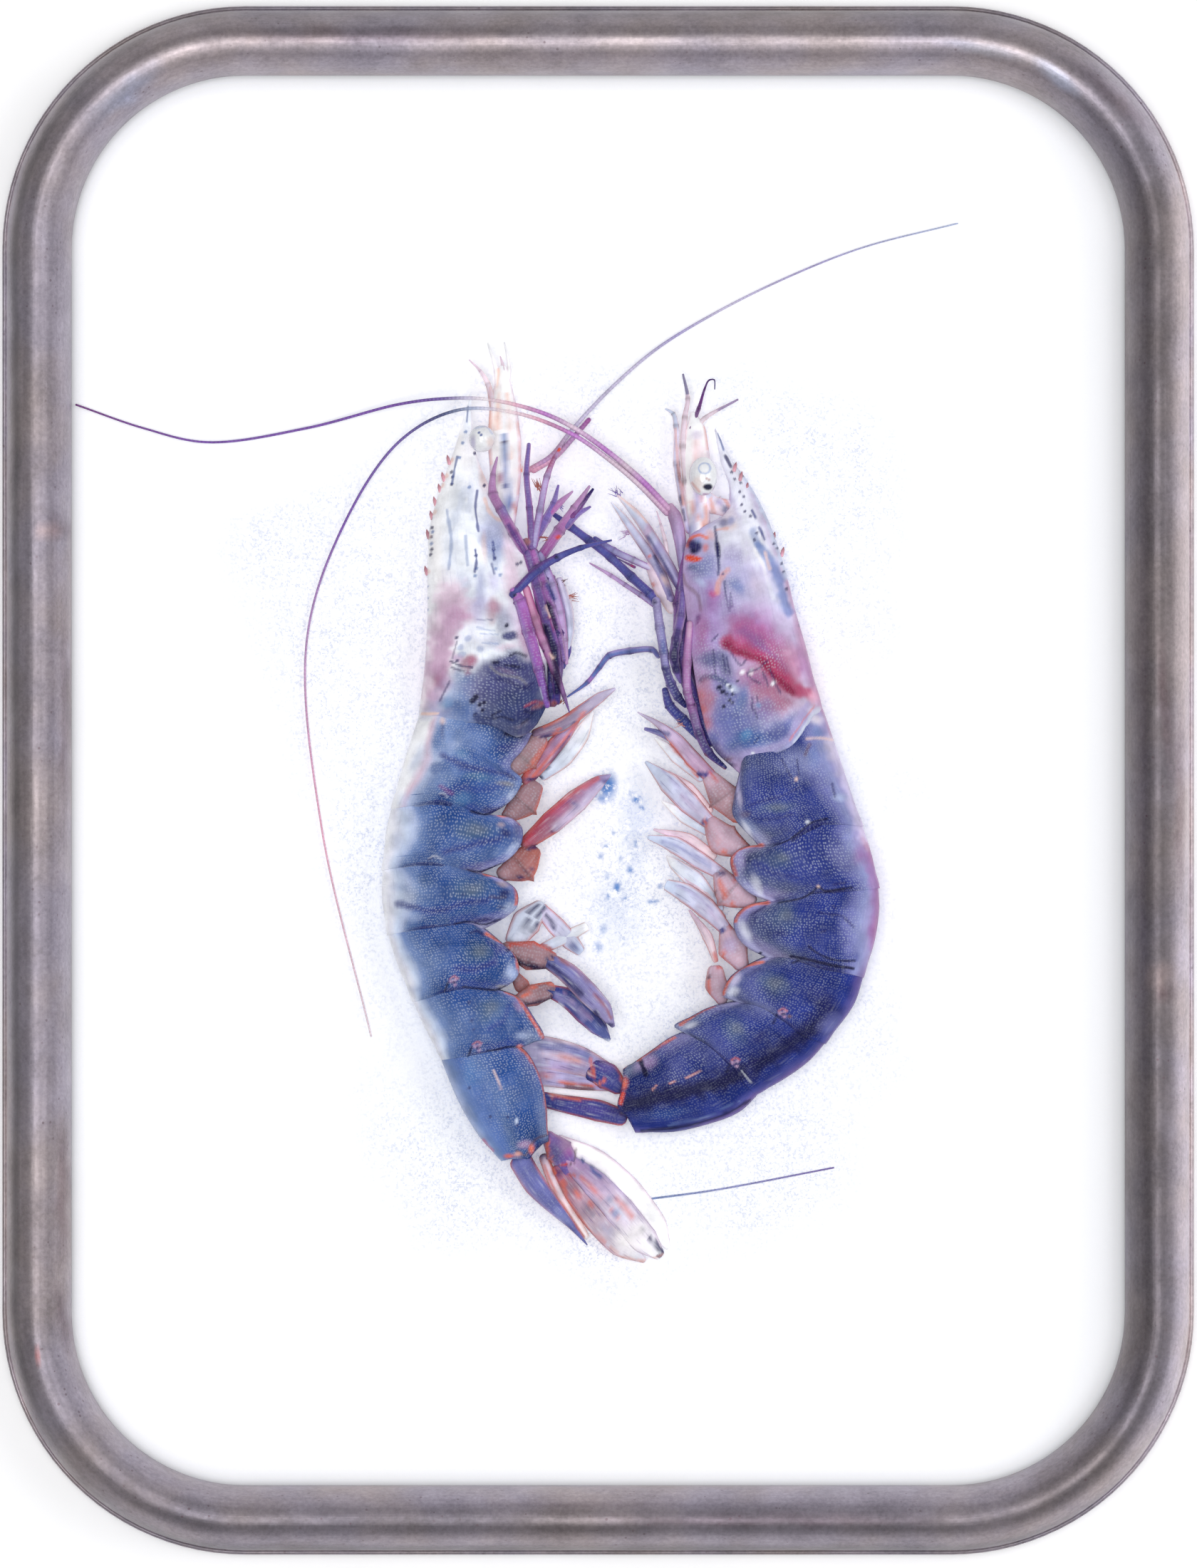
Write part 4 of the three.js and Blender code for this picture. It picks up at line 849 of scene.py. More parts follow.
def make_board():
    piece = Piece("specimen_board", "white_board", CARD, ["board"])
    reach = MOULDING["rabbet"] - GAP
    outline = rounded_loop(reach, corner_steps=20, side_pitch=2.6)
    # rings that shrink from the outline towards the middle, closer by the frame and round the stains
    shares = np.concatenate([np.linspace(1, 0.98, 3), np.linspace(0.975, 0.935, 12),
                             np.linspace(0.92, 0.31, 44),
                             np.linspace(0.304, 0.006, 64)])
    rings = [np.column_stack([outline * s, np.full(len(outline), BOARD_THICKNESS)]) for s in shares]
    rings.insert(0, np.column_stack([outline, np.full(len(outline), BOARD_THICKNESS - 0.25)]))
    rings.insert(0, np.column_stack([outline, np.zeros(len(outline))]))
    points = np.vstack(rings)
    faces = capped_faces(len(rings), len(outline))
    depth = inside(points[:, :2] + 4 * np.column_stack([noise(points, 14, 31), noise(points, 14, 41)]),
                   FLECK_ZONE)
    fleck = smooth_step(depth, -6, 10) * (0.62 + 0.38 * cloud(points, 16, 7))
    stain = np.zeros(len(points))
    for x, y, rx, ry, strength in BLUE_STAINS:
        stain = np.maximum(stain, strength * blob_cover(points, x, y, 1.4 * rx, 1.4 * ry, 0, 0.8, 0.4 * rx))
    # the frame shades a narrow band of the board beside it
    away = np.abs(points[:, :2]) - STRAIGHT
    from_frame = OPENING["radius"] - np.linalg.norm(np.maximum(away, 0),
                                                    axis=1) - np.minimum(away.max(axis=1), 0)
    shade = np.interp(from_frame, [0, 0.6, 1.2, 1.8, 2.4, 3.6], [0.6, 0.78, 0.86, 0.9, 0.95, 1])
    tint = linear("paper") * shade[:, None]
    piece.add(points, facing_out(points, faces), rgba(tint), np.column_stack([fleck, stain]), points[:, :2])
    piece.make()


# ---- the left prawn --------------------------------------------------------------------------
LEFT_SEAMS = [
    [(-30.7, 10.6), (-24, 10.4), (-18, 9.7), (-14, 7.4), (-11.6, 7)],
    [(-35, -4), (-30, -3.4), (-26, -3.1), (-22, -5.2), (-18.6, -5.8)],
    [(-36.7, -14.5), (-32, -13.8), (-28, -13.6), (-22.7, -15.1), (-20, -15.7)],
    [(-36, -25.5), (-31, -24.6), (-26, -24.2), (-22, -24.2), (-19.3, -25.2)],
    [(-31.8, -37), (-28, -35.8), (-24.5, -34.8), (-20, -35.1), (-16.8, -35.6)],
    [(-27, -46.8), (-23.5, -46.2), (-20.5, -45.8), (-17, -45.4), (-13, -45.4)],
    [(-17, -64.2), (-14.2, -63.2), (-12.2, -63.6), (-10.6, -61.6), (-8.6, -60.6)],
]
LEFT_DORSAL = [
    [(-32.5, 5), (-34, 0)], [(-36, -8)], [(-36.8, -20)], [(-34.3, -31)], [(-29.6, -42)],
    [(-25.6, -50.5), (-23.4, -55.5), (-20, -61)],
]
LEFT_FLAPS = [
    [(-13, 5), (-14.9, 2.4), (-13, 0.2), (-13.6, -1.8), (-15.6, -4.1)],
    [(-15, -6.3), (-13, -8), (-13.2, -11), (-15.5, -13.6)],
    [(-16.5, -16.8), (-13.9, -18.8), (-13.8, -21.5), (-15.6, -23.2)],
    [(-16.5, -27.6), (-14, -30), (-13.5, -32.8), (-14.8, -34.5)],
    [(-13.5, -37), (-11, -40.3), (-9.2, -43.9), (-10.8, -44.5)],
    [(-11.6, -47), (-9.7, -51), (-8.8, -55.5)],
]
LEFT_HALF = [5.4, 5.4, 5.3, 5.1, 4.8, 4.2, 3.2]
LEFT_CENTRE = [8.9, 8.9, 8.9, 8.9, 9.4, 10.2, 9.4]

LEFT_CARAPACE = {
    "dorsal": [(-21.9, 66.2), (-23.6, 59.5), (-25.3, 54.3), (-27.4, 48.4), (-28.8, 42.5), (-29.1, 35.5),
               (-29.1, 28), (-29.5, 20), (-30.6, 11)],
    "ventral": [(-21.6, 65.9), (-21.5, 60.3), (-20.6, 55), (-17.2, 47.5), (-14.3, 42.2), (-12, 36),
                (-10.4, 28.5), (-8.8, 20.5), (-8.6, 14)],
    "front": [(-21.9, 66.2), (-21.75, 66.1), (-21.6, 65.9)],
    "rear": [(-30.6, 11), (-24, 10.8), (-18, 10.2), (-13.6, 8.3), (-11, 9.8), (-8.6, 14)],
    "half": [0.25, 0.7, 1.6, 3.4, 4.5, 5.1, 5.4, 5.5, 5.4],
    "centre": [6.4, 6.8, 7.3, 7.9, 8.4, 8.8, 8.9, 8.9, 8.9],
}

# kind, style and stations of each limb, by the segment that it grows from
LEFT_SWIMMERETS = [
    [("stem", "joint_brown", [(-15, 1.6, 9.2, 1.4, 1.4), (-12.6, 3.9, 9.6, 2.5, 1.5),
                              (-10, 7, 9.8, 1.6, 1.1)]),
     ("blade", "blade_dusk", [(-10.6, 7.8, 10, 1, 0.8), (-6.4, 9.4, 10, 1.25, 0.6),
                              (-2.6, 12, 9.4, 1.1, 0.5),
                               (0.4, 14.2, 8.9, 0.9, 0.4), (2.8, 15.6, 8.4, 0.25, 0.2)]),
     ("blade", "blade_pale", [(-9.4, 0.8, 7.4, 0.9, 0.7), (-6, 3.8, 7.2, 1.6, 0.5),
                              (-3, 7.8, 6.8, 1.5, 0.4),
                              (-1, 11.6, 6.4, 0.3, 0.2)])],
    [("stem", "joint_brown", [(-15.2, -6, 8.9, 1.3, 1.3), (-12.8, -3.8, 8.9, 2.7, 1.4),
                              (-10.8, -1, 9, 1.6, 1)]),
     ("blade", "blade_rose", [(-12.2, 0, 9, 1.1, 0.9), (-9.2, 3.8, 8.6, 1.5, 0.6),
                              (-5.8, 7.8, 7.8, 1.3, 0.5),
                              (-2.2, 12.4, 6.9, 0.25, 0.2)])],
    [("stem", "joint_red", [(-16, -15.8, 9.2, 1.4, 1.5), (-13.2, -14.4, 9.4, 3.1, 1.7),
                            (-11.2, -12, 9.2, 1.7, 1.1)]),
     ("blade", "blade_rose", [(-12.4, -10.8, 9.2, 1.2, 0.9), (-8, -7.2, 8.8, 2, 0.6),
                              (-3.6, -3.4, 8.1, 2, 0.5),
                              (0.2, -0.2, 7.4, 1.1, 0.4), (2, 0.9, 7, 0.2, 0.2)])],
    [("blade", "joint_brown", [(-15.4, -28.6, 10, 1.2, 1.4), (-11.6, -29.8, 10.4, 2.6, 1.5),
                               (-8, -30.6, 10.2, 1.5, 1.1)]),
     ("blade", "blade_blue", [(-8.6, -30.6, 10.4, 1.4, 1), (-5.2, -32.8, 10.8, 1.8, 0.6),
                              (-1.8, -36.2, 10.7, 1.9, 0.5),
                              (0.8, -39, 10.3, 1.6, 0.4), (2.5, -41.8, 10, 0.4, 0.3)]),
     ("blade", "joint_pale", [(-14.2, -27.4, 6.6, 1.8, 1.2), (-12.2, -24.2, 6.6, 2.6, 1.1),
                              (-9.8, -21.6, 6.4, 1.4, 0.9)]),
     ("blade", "blade_lilac", [(-9.8, -22, 6.4, 1.2, 0.8), (-7.2, -24.8, 6.2, 1.6, 0.5),
                               (-4.6, -27.6, 5.9, 1.5, 0.4),
                               (-3, -29.2, 5.8, 0.9, 0.3)]),
     ("blade", "blade_pale", [(-9.6, -28.8, 6.4, 0.9, 0.6), (-5.2, -26.6, 6, 1.1, 0.4),
                              (-2, -24.9, 5.6, 0.8, 0.2)])],
    [("stem", "joint_brown", [(-14, -37.8, 9.6, 1.1, 1.2), (-11, -36.6, 9.6, 1.9, 1.2),
                              (-8, -35.6, 9.4, 1.4, 0.9)]),
     ("blade", "blade_navy", [(-8.4, -35.8, 9.4, 1.1, 0.9), (-5, -37.2, 8.8, 1.8, 0.6),
                              (-2.2, -39.6, 8.2, 2, 0.5),
                              (0, -42, 7.6, 1.6, 0.4), (1.8, -44.2, 7.2, 0.4, 0.3)]),
     ("stem", "joint_red", [(-14.2, -33.2, 7.2, 0.8, 0.9), (-13, -35, 7, 1.4, 0.9),
                            (-11.6, -36.6, 6.8, 0.7, 0.6)])],
    [],
]

LEFT_FEELERS = [
    ("blade", "clear", [(-16.4, 43.5, 8, 2.2, 1.6), (-15.8, 51, 7.4, 2.6, 1.3), (-16, 58, 6.6, 2.9, 1),
                        (-16.2, 64, 6.2, 2.3, 0.8), (-16.3, 70.6, 5.8, 0.7, 0.3)]),
    ("stem", "peach", [(-17.8, 63.4, 6.2, 0.75, 0.6), (-18.8, 67.6, 6, 0.5, 0.45),
                       (-20.2, 70, 5.8, 0.3, 0.35),
                       (-22, 71.8, 5.4, 0.12, 0.15)]),
    ("stem", "clear", [(-17, 65, 6.1, 0.6, 0.5), (-17.4, 70, 5.8, 0.45, 0.4),
                       (-18.8, 74.6, 5.4, 0.15, 0.15)]),
    ("stem", "peach", [(-16, 66, 6, 0.6, 0.5), (-16.2, 70.4, 5.8, 0.4, 0.4),
                       (-16.7, 72.4, 5.6, 0.12, 0.15)]),
    ("stem", "clear", [(-15.6, 67, 6, 0.4, 0.4), (-15.2, 70.4, 5.8, 0.35, 0.3),
                       (-16, 74.8, 5.6, 0.12, 0.15)]),
]

LEFT_LEGS = [
    ("stem", "grape", [(-12.4, 40, 8.4, 1.4, 1.6), (-9.6, 34, 8.5, 2.1, 2.6), (-7.8, 25, 8.5, 2.3, 3),
                       (-8.2, 14, 8.7, 1.7, 2.6)]),
    ("blade", "pale", [(-6.6, 34, 8.4, 0.8, 1.2), (-5.3, 29.4, 8.2, 1.1, 1.5), (-4.9, 25.6, 8.2, 0.9, 1.4),
                       (-5.6, 20.6, 8.2, 0.4, 0.8)]),
    ("blade", "navy", [(-6, 19.4, 8, 0.5, 0.7), (-5.2, 22, 8.2, 0.7, 0.8), (-4.9, 24.6, 8.2, 0.25, 0.3)]),
    ("stem", "violet", [(-12, 39, 9.4, 0.9, 0.9), (-8.8, 44.6, 9.6, 0.85, 0.8), (-7.6, 47.2, 9.6, 0.6, 0.6),
                        (-6.8, 50.2, 9.6, 0.25, 0.25)]),
    ("stem", "magenta", [(-8.2, 45.6, 9.6, 0.75, 0.7), (-6.2, 47.6, 9.6, 0.6, 0.6),
                         (-4.4, 49.2, 9.4, 0.2, 0.2)]),
    ("stem", "magenta", [(-10, 37.6, 9.4, 1, 1), (-6.6, 42.6, 9.4, 1.05, 0.9), (-4, 46.4, 9.3, 0.75, 0.7),
                         (-1.5, 50.1, 9.2, 0.25, 0.25)]),
    ("stem", "plum", [(-4.4, 45, 9.4, 0.8, 0.8), (-0.9, 49.6, 9, 0.25, 0.25)]),
    ("stem", "violet", [(-5.4, 43.4, 9.4, 0.8, 0.8), (-3.8, 45.2, 9.3, 0.7, 0.7),
                        (-1.4, 46.6, 9, 0.25, 0.25)]),
    ("stem", "lilac_leg", [(-11.2, 39.4, 10, 0.75, 0.8), (-11.7, 46.4, 10.4, 0.62, 0.6),
                           (-12.2, 52.2, 10.4, 0.55, 0.5),
                           (-11.8, 57.2, 10.2, 0.4, 0.4)]),
    ("stem", "soft_leg", [(-11, 40, 10, 0.8, 0.8), (-9.9, 46, 10.2, 0.65, 0.6), (-8.7, 51.8, 10, 0.6, 0.55),
                        (-7.4, 55, 9.9, 0.4, 0.4), (-6.4, 56.8, 9.8, 0.25, 0.25)]),
    ("stem", "magenta", [(-12.2, 38.4, 10.4, 0.85, 0.8), (-14.4, 42.2, 12.6, 0.95, 0.8),
                         (-16.6, 46.2, 12.2, 0.9, 0.7),
                        (-17.9, 48.8, 11.4, 0.9, 0.6), (-17.9, 52, 10.8, 0.5, 0.5),
                        (-17.2, 55, 10.2, 0.2, 0.2)]),
    ("stem", "fuchsia", [(-8.7, 12.8, 12, 0.6, 0.8), (-10.1, 19, 13, 1.05, 0.9),
                         (-11.9, 25.4, 13.2, 1.2, 0.9),
                         (-13.4, 30.6, 13.3, 1.15, 0.9), (-14.4, 32.2, 13.3, 0.7, 0.7)]),
    ("stem", "navy", [(-14.5, 31.6, 13.4, 0.75, 0.8), (-10.2, 35.9, 12.6, 0.85, 0.7),
                      (-7, 37.9, 12, 0.7, 0.7),
                      (-3, 39.6, 10.8, 0.5, 0.5), (2.2, 40.9, 9.8, 0.2, 0.2)]),
    ("stem", "peach_leg", [(-12.3, 32.6, 12.2, 0.8, 0.8), (-10.8, 27.6, 12.4, 0.95, 0.8),
                           (-9.2, 23.4, 12.4, 0.9, 0.8),
                           (-7.4, 18.8, 12, 0.8, 0.8), (-5.8, 14.4, 11.4, 0.4, 0.4),
                           (-4.9, 11.6, 11, 0.12, 0.15)]),
    ("stem", "indigo", [(-12, 38.6, 11, 0.85, 0.9), (-10.4, 33, 11.6, 0.95, 0.9),
                        (-8.9, 27.6, 11.8, 1.05, 0.9),
                        (-7.6, 22.6, 11.6, 1.15, 0.9), (-7.1, 17, 11.2, 0.95, 0.8),
                        (-7, 13.4, 10.6, 0.6, 0.6)]),
    ("stem", "orchid", [(-11, 38.8, 10.6, 0.7, 0.8), (-9.2, 33.6, 11.2, 0.8, 0.8),
                        (-7.9, 29.4, 11.2, 0.75, 0.8),
                        (-6.7, 25, 10.8, 0.7, 0.7), (-5.8, 20.6, 10.4, 0.45, 0.5)]),
    ("stem", "soft_leg", [(-9.8, 38.4, 9.8, 0.75, 0.7), (-7.9, 33.4, 10.4, 0.85, 0.8),
                          (-6.5, 28.6, 10.4, 0.85, 0.8),
                       (-5.7, 24, 10, 0.6, 0.6), (-5.4, 20, 9.6, 0.35, 0.4)]),
]

LEFT_TELSON = [("blade", "fan_navy", [(-13.2, -64.9, 9, 2, 1.3), (-10.7, -69, 8, 1.95, 1.1),
                                      (-7.6, -72.6, 6.8, 1.4, 0.8),
                                      (-4.6, -75.9, 5.8, 0.7, 0.5), (-1.9, -79.3, 5, 0.12, 0.15)])]
LEFT_FAN = [
    ("stem", "joint_lilac", [(-8.4, -61, 9, 1.3, 1.4), (-6.8, -63, 8.4, 2.4, 1.5),
                             (-5.6, -65.2, 7.6, 1.9, 1.1), (-6, -67.4, 7, 1, 0.7)]),
    ("blade", "fan_rose", [(-6.8, -66.2, 7.2, 1.1, 0.9), (-3.8, -70.2, 6.4, 2.1, 0.7),
                           (-0.2, -75, 5.6, 2.3, 0.6),
                           (3.8, -79.4, 5, 2, 0.5), (7.8, -82, 4.4, 0.5, 0.3)]),
    ("blade", "fan_violet", [(-5.4, -64.8, 7.8, 1.3, 1), (-0.6, -68.8, 6.8, 2.3, 0.8),
                             (3.8, -73.6, 5.8, 2.6, 0.6),
                             (8, -78.6, 5, 2.4, 0.5), (10.6, -81.2, 4.5, 0.9, 0.3)]),
    ("blade", "clear", [(-6.6, -61.4, 7.4, 1, 0.8), (-0.4, -64.9, 5.4, 2, 0.6), (5, -70, 4.6, 2.4, 0.5),
                        (9.8, -76, 4.1, 2, 0.4), (11.9, -79.8, 3.9, 0.5, 0.3)]),
    ("blade", "fan_peach", [(-9.2, -64.4, 7.6, 0.9, 0.8), (-7.4, -69, 6.2, 1, 0.6),
                            (-4.8, -73.6, 5, 1.15, 0.5),
                            (-2, -78, 4.2, 0.5, 0.3)]),
]

LEFT_ANTENNA = [
    ([(-11.7, 53, 6.8), (-8, 55.4, 6.4), (-4.5, 59.8, 6), (2, 66.8, 5), (9.8, 73.6, 4.3), (19.5, 79.6, 4),
      (31.7, 85.7, 3.9), (45, 91, 3.8), (61.4, 95.2, 3.7)], 0.5, 0.12),
    ([(-11, 53, 6.6), (-7.4, 55.2, 6), (-4.2, 58.6, 5.4), (-1.6, 61.6, 4.8)], 0.6, 0.4),
]

# ---- the right prawn -------------------------------------------------------------------------
RIGHT_SEAMS = [
    [(38.1, 12.8), (35.8, 11.4), (34.4, 9), (32.3, 6.6), (29.1, 5.2), (24.8, 4.2), (24.1, 1.4)],
    [(44.8, -7), (38.9, -6.6), (35.9, -7.2), (31.6, -10.3), (27.4, -11)],
    [(47.7, -17.5), (41.4, -18.2), (35.3, -18.8), (31.4, -20.2), (29, -20.5)],
    [(45.4, -32.8), (43.2, -32.1), (37.7, -31.2), (32.3, -30), (28.4, -30)],
    [(39.2, -44.2), (35, -42.5), (31.6, -40.2), (27, -38.2), (23.1, -37.6)],
    [(27.6, -53.2), (25.5, -51), (23.8, -48.6), (19, -45), (14.4, -42.9)],
    [(7.2, -60), (6.3, -57.6), (4.2, -55.4), (4.9, -52.4), (5, -48.9)],
]
RIGHT_DORSAL = [
    [(40.4, 6.1), (42.6, -0.5)], [(46.6, -12.6)], [(47.9, -22), (47.1, -27.5)], [(43.6, -38.2)],
    [(36, -47.8), (31.6, -51)], [(24, -56.6), (17.5, -59), (12.5, -60)],
]
RIGHT_FLAPS = [
    [(23.1, -3), (22.9, -5.8), (25.2, -8.8)], [(24.6, -11.4), (22.6, -13.2), (23.2, -16.4), (25.8, -19.2)],
    [(25.4, -21.3), (23.2, -23.6), (23.6, -26.4), (25.6, -28.6)],
    [(25.2, -31.6), (22.4, -33.7), (21.2, -36.6)],
    [(19, -38.7), (15.6, -40.4), (13, -41.9)], [(12.2, -43.9), (8.6, -46.4)],
]
RIGHT_HALF = [5.5, 5.5, 5.4, 5.2, 4.9, 4.4, 3]
RIGHT_CENTRE = [9, 9, 8.9, 8.7, 8.4, 7.9, 6.6]

RIGHT_CARAPACE = {
    "dorsal": [(20, 60.1), (22.8, 54.8), (25.6, 50.9), (28.2, 46.2), (30.2, 41.2), (32, 35.5), (33.6, 29),
               (35.5, 22.4), (36.8, 17.2), (37.6, 14.8), (38.1, 12.8)],
    "ventral": [(19.9, 59.7), (21, 54.2), (22.4, 49.6), (21.4, 45), (15.6, 41.6), (14.4, 35.5),
                (14.9, 29.8),
                (15.8, 22), (17.4, 12.6), (19.6, 5.6), (23.4, 1.8)],
    "front": [(20, 60.1), (19.95, 59.9), (19.9, 59.7)],
    "rear": [(38.1, 12.8), (35.8, 11.4), (34.4, 9), (32.3, 6.6), (29.1, 5.2), (24.8, 4.2), (23.4, 1.8)],
    "half": [0.25, 0.7, 1.2, 2.6, 4, 4.8, 5.3, 5.5, 5.6, 5.6, 5.5],
    "centre": [6.4, 6.8, 7.2, 7.7, 8.3, 8.7, 9, 9, 9, 9, 9],
}

RIGHT_SWIMMERETS = [
    [("stem", "joint_mauve", [(23.6, -5.8, 9.6, 1.5, 1.6), (21.4, -2.8, 9.8, 2.7, 1.6),
                              (19.2, 0.3, 9.6, 1.5, 1.1)]),
     ("blade", "blade_mauve", [(19, 0.8, 9.6, 1.2, 0.9), (16.2, 3.6, 9.2, 1.4, 0.6),
                               (13.2, 7, 8.7, 1.2, 0.5),
                               (10.2, 9.6, 8, 0.55, 0.4), (6.8, 11.6, 7.4, 0.12, 0.15)]),
     ("blade", "blade_blue", [(12.8, 7, 8.2, 0.7, 0.5), (10.4, 8.1, 7.8, 0.55, 0.4),
                              (8, 8.8, 7.4, 0.3, 0.2)]),
     ("blade", "blade_pale", [(17.6, 0.6, 7.8, 1, 0.7), (13.4, 4.2, 7.2, 1.3, 0.5),
                              (9.8, 7.2, 6.6, 0.25, 0.2)])],
    [("blade", "joint_pink", [(24.6, -11.8, 9.4, 1.5, 1.6), (21.4, -10, 9.6, 3, 1.6),
                              (19.2, -7.2, 9.4, 1.4, 1.1)]),
     ("blade", "blade_lilac", [(19, -7.2, 9.4, 1.2, 0.9), (15.4, -3.8, 9, 1.9, 0.6),
                               (12, -0.4, 8.2, 1.8, 0.5),
                               (8.2, 3.1, 7.2, 0.3, 0.2)]),
     ("blade", "blade_pink", [(18.8, -5.2, 8.4, 0.9, 0.7), (15.4, -1.4, 7.8, 1.1, 0.5),
                              (12, 1.4, 7.2, 0.3, 0.2)]),
     ("blade", "blade_pale", [(18.6, -8.6, 8.6, 0.9, 0.8), (14.8, -6.2, 7.6, 1.2, 0.5),
                              (11, -3.6, 6.8, 0.2, 0.2)])],
    [("stem", "joint_pink", [(25.6, -20.4, 9.2, 1.5, 1.6), (22.6, -18.8, 9.4, 3, 1.6),
                             (20.8, -16, 9.2, 1.4, 1.1)]),
     ("blade", "blade_lilac", [(21, -15.9, 9.2, 1.1, 0.9), (17.2, -13.6, 8.8, 1.5, 0.6),
                               (13, -11, 8.1, 1.5, 0.5),
                               (8.6, -9.7, 7.2, 0.4, 0.2)]),
     ("blade", "blade_pink", [(19.6, -13, 8, 0.9, 0.6), (15.4, -10, 7.4, 1, 0.5),
                              (9.6, -8.4, 6.8, 0.2, 0.2)])],
    [("stem", "joint_pink", [(24.2, -31, 9, 1.5, 1.6), (23, -28.6, 9.2, 2.7, 1.6),
                             (21.8, -25.6, 9, 1.3, 1.1)]),
     ("blade", "blade_lilac", [(21.8, -25.4, 9, 1.1, 0.9), (18.4, -21.8, 8.6, 1.8, 0.6),
                               (14.8, -19.2, 7.8, 1.7, 0.5),
                               (11.7, -17.8, 6.9, 1, 0.3)]),
     ("blade", "blade_pale", [(20.6, -22, 7.4, 1, 0.7), (16.4, -17, 6.9, 1.7, 0.5),
                              (13, -14.2, 6.3, 1, 0.4),
                              (11.8, -13, 5.9, 0.2, 0.2)]),
     ("blade", "blade_pink", [(21, -23.6, 8, 0.9, 0.6), (17.8, -19.2, 7.4, 1, 0.5),
                              (14.6, -16.6, 6.8, 0.3, 0.2)]),
     ("blade", "blade_pink", [(20, -30.6, 7.8, 0.5, 0.5), (18.6, -26.6, 7.6, 0.9, 0.5),
                              (15.6, -22.2, 7, 0.2, 0.2)])],
    [("stem", "joint_pink", [(21, -37.2, 8.3, 1.1, 1.1), (20.2, -35, 8.3, 2, 1.2),
                             (20, -32.4, 8.3, 1.4, 1)])],
    [],
]

RIGHT_FEELERS = [
    ("blade", "clear", [(17.4, 41, 8.2, 1.8, 1.7), (16.8, 48, 7.4, 2.2, 1.3), (16.6, 55, 6.6, 2.5, 1),
                        (16.6, 60, 6.2, 1.7, 0.8),
                        (16.2, 62.6, 6, 0.5, 0.4)]),
    ("stem", "pale", [(15.4, 42.6, 7.8, 0.6, 0.7), (14.3, 48, 7.2, 0.6, 0.6), (13.4, 54, 6.6, 0.6, 0.6),
                      (13.3, 60.6, 6.3, 0.5, 0.5),
                      (12.8, 62.6, 6, 0.4, 0.35), (11.6, 63.4, 5.8, 0.2, 0.2)]),
    ("stem", "peach", [(15.8, 45, 7.8, 0.5, 0.6), (14.9, 51, 7.2, 0.5, 0.6), (14.5, 57, 6.6, 0.6, 0.6),
                       (14.8, 62, 6.2, 0.5, 0.5),
                       (15.3, 65.2, 6, 0.4, 0.4), (14.5, 69.3, 5.8, 0.2, 0.2)]),
    ("stem", "plum", [(15.8, 60, 6.3, 0.5, 0.6), (17.2, 63.6, 6, 0.36, 0.36), (18.2, 66.9, 5.8, 0.2, 0.2),
                      (18.9, 68.3, 5.8, 0.15, 0.15),
                      (19.8, 68.4, 5.7, 0.14, 0.14), (19.9, 66.8, 5.7, 0.1, 0.1)]),
    ("stem", "peach", [(16.2, 59.8, 6.2, 0.6, 0.6), (18.4, 62, 6, 0.4, 0.4), (23.8, 65, 5.6, 0.2, 0.2)]),
    ("stem", "pale", [(22.2, 46.4, 7.4, 1.5, 1.3), (20, 47, 7.4, 1.5, 1.1), (18.2, 48.8, 7.2, 0.9, 0.8)]),
]

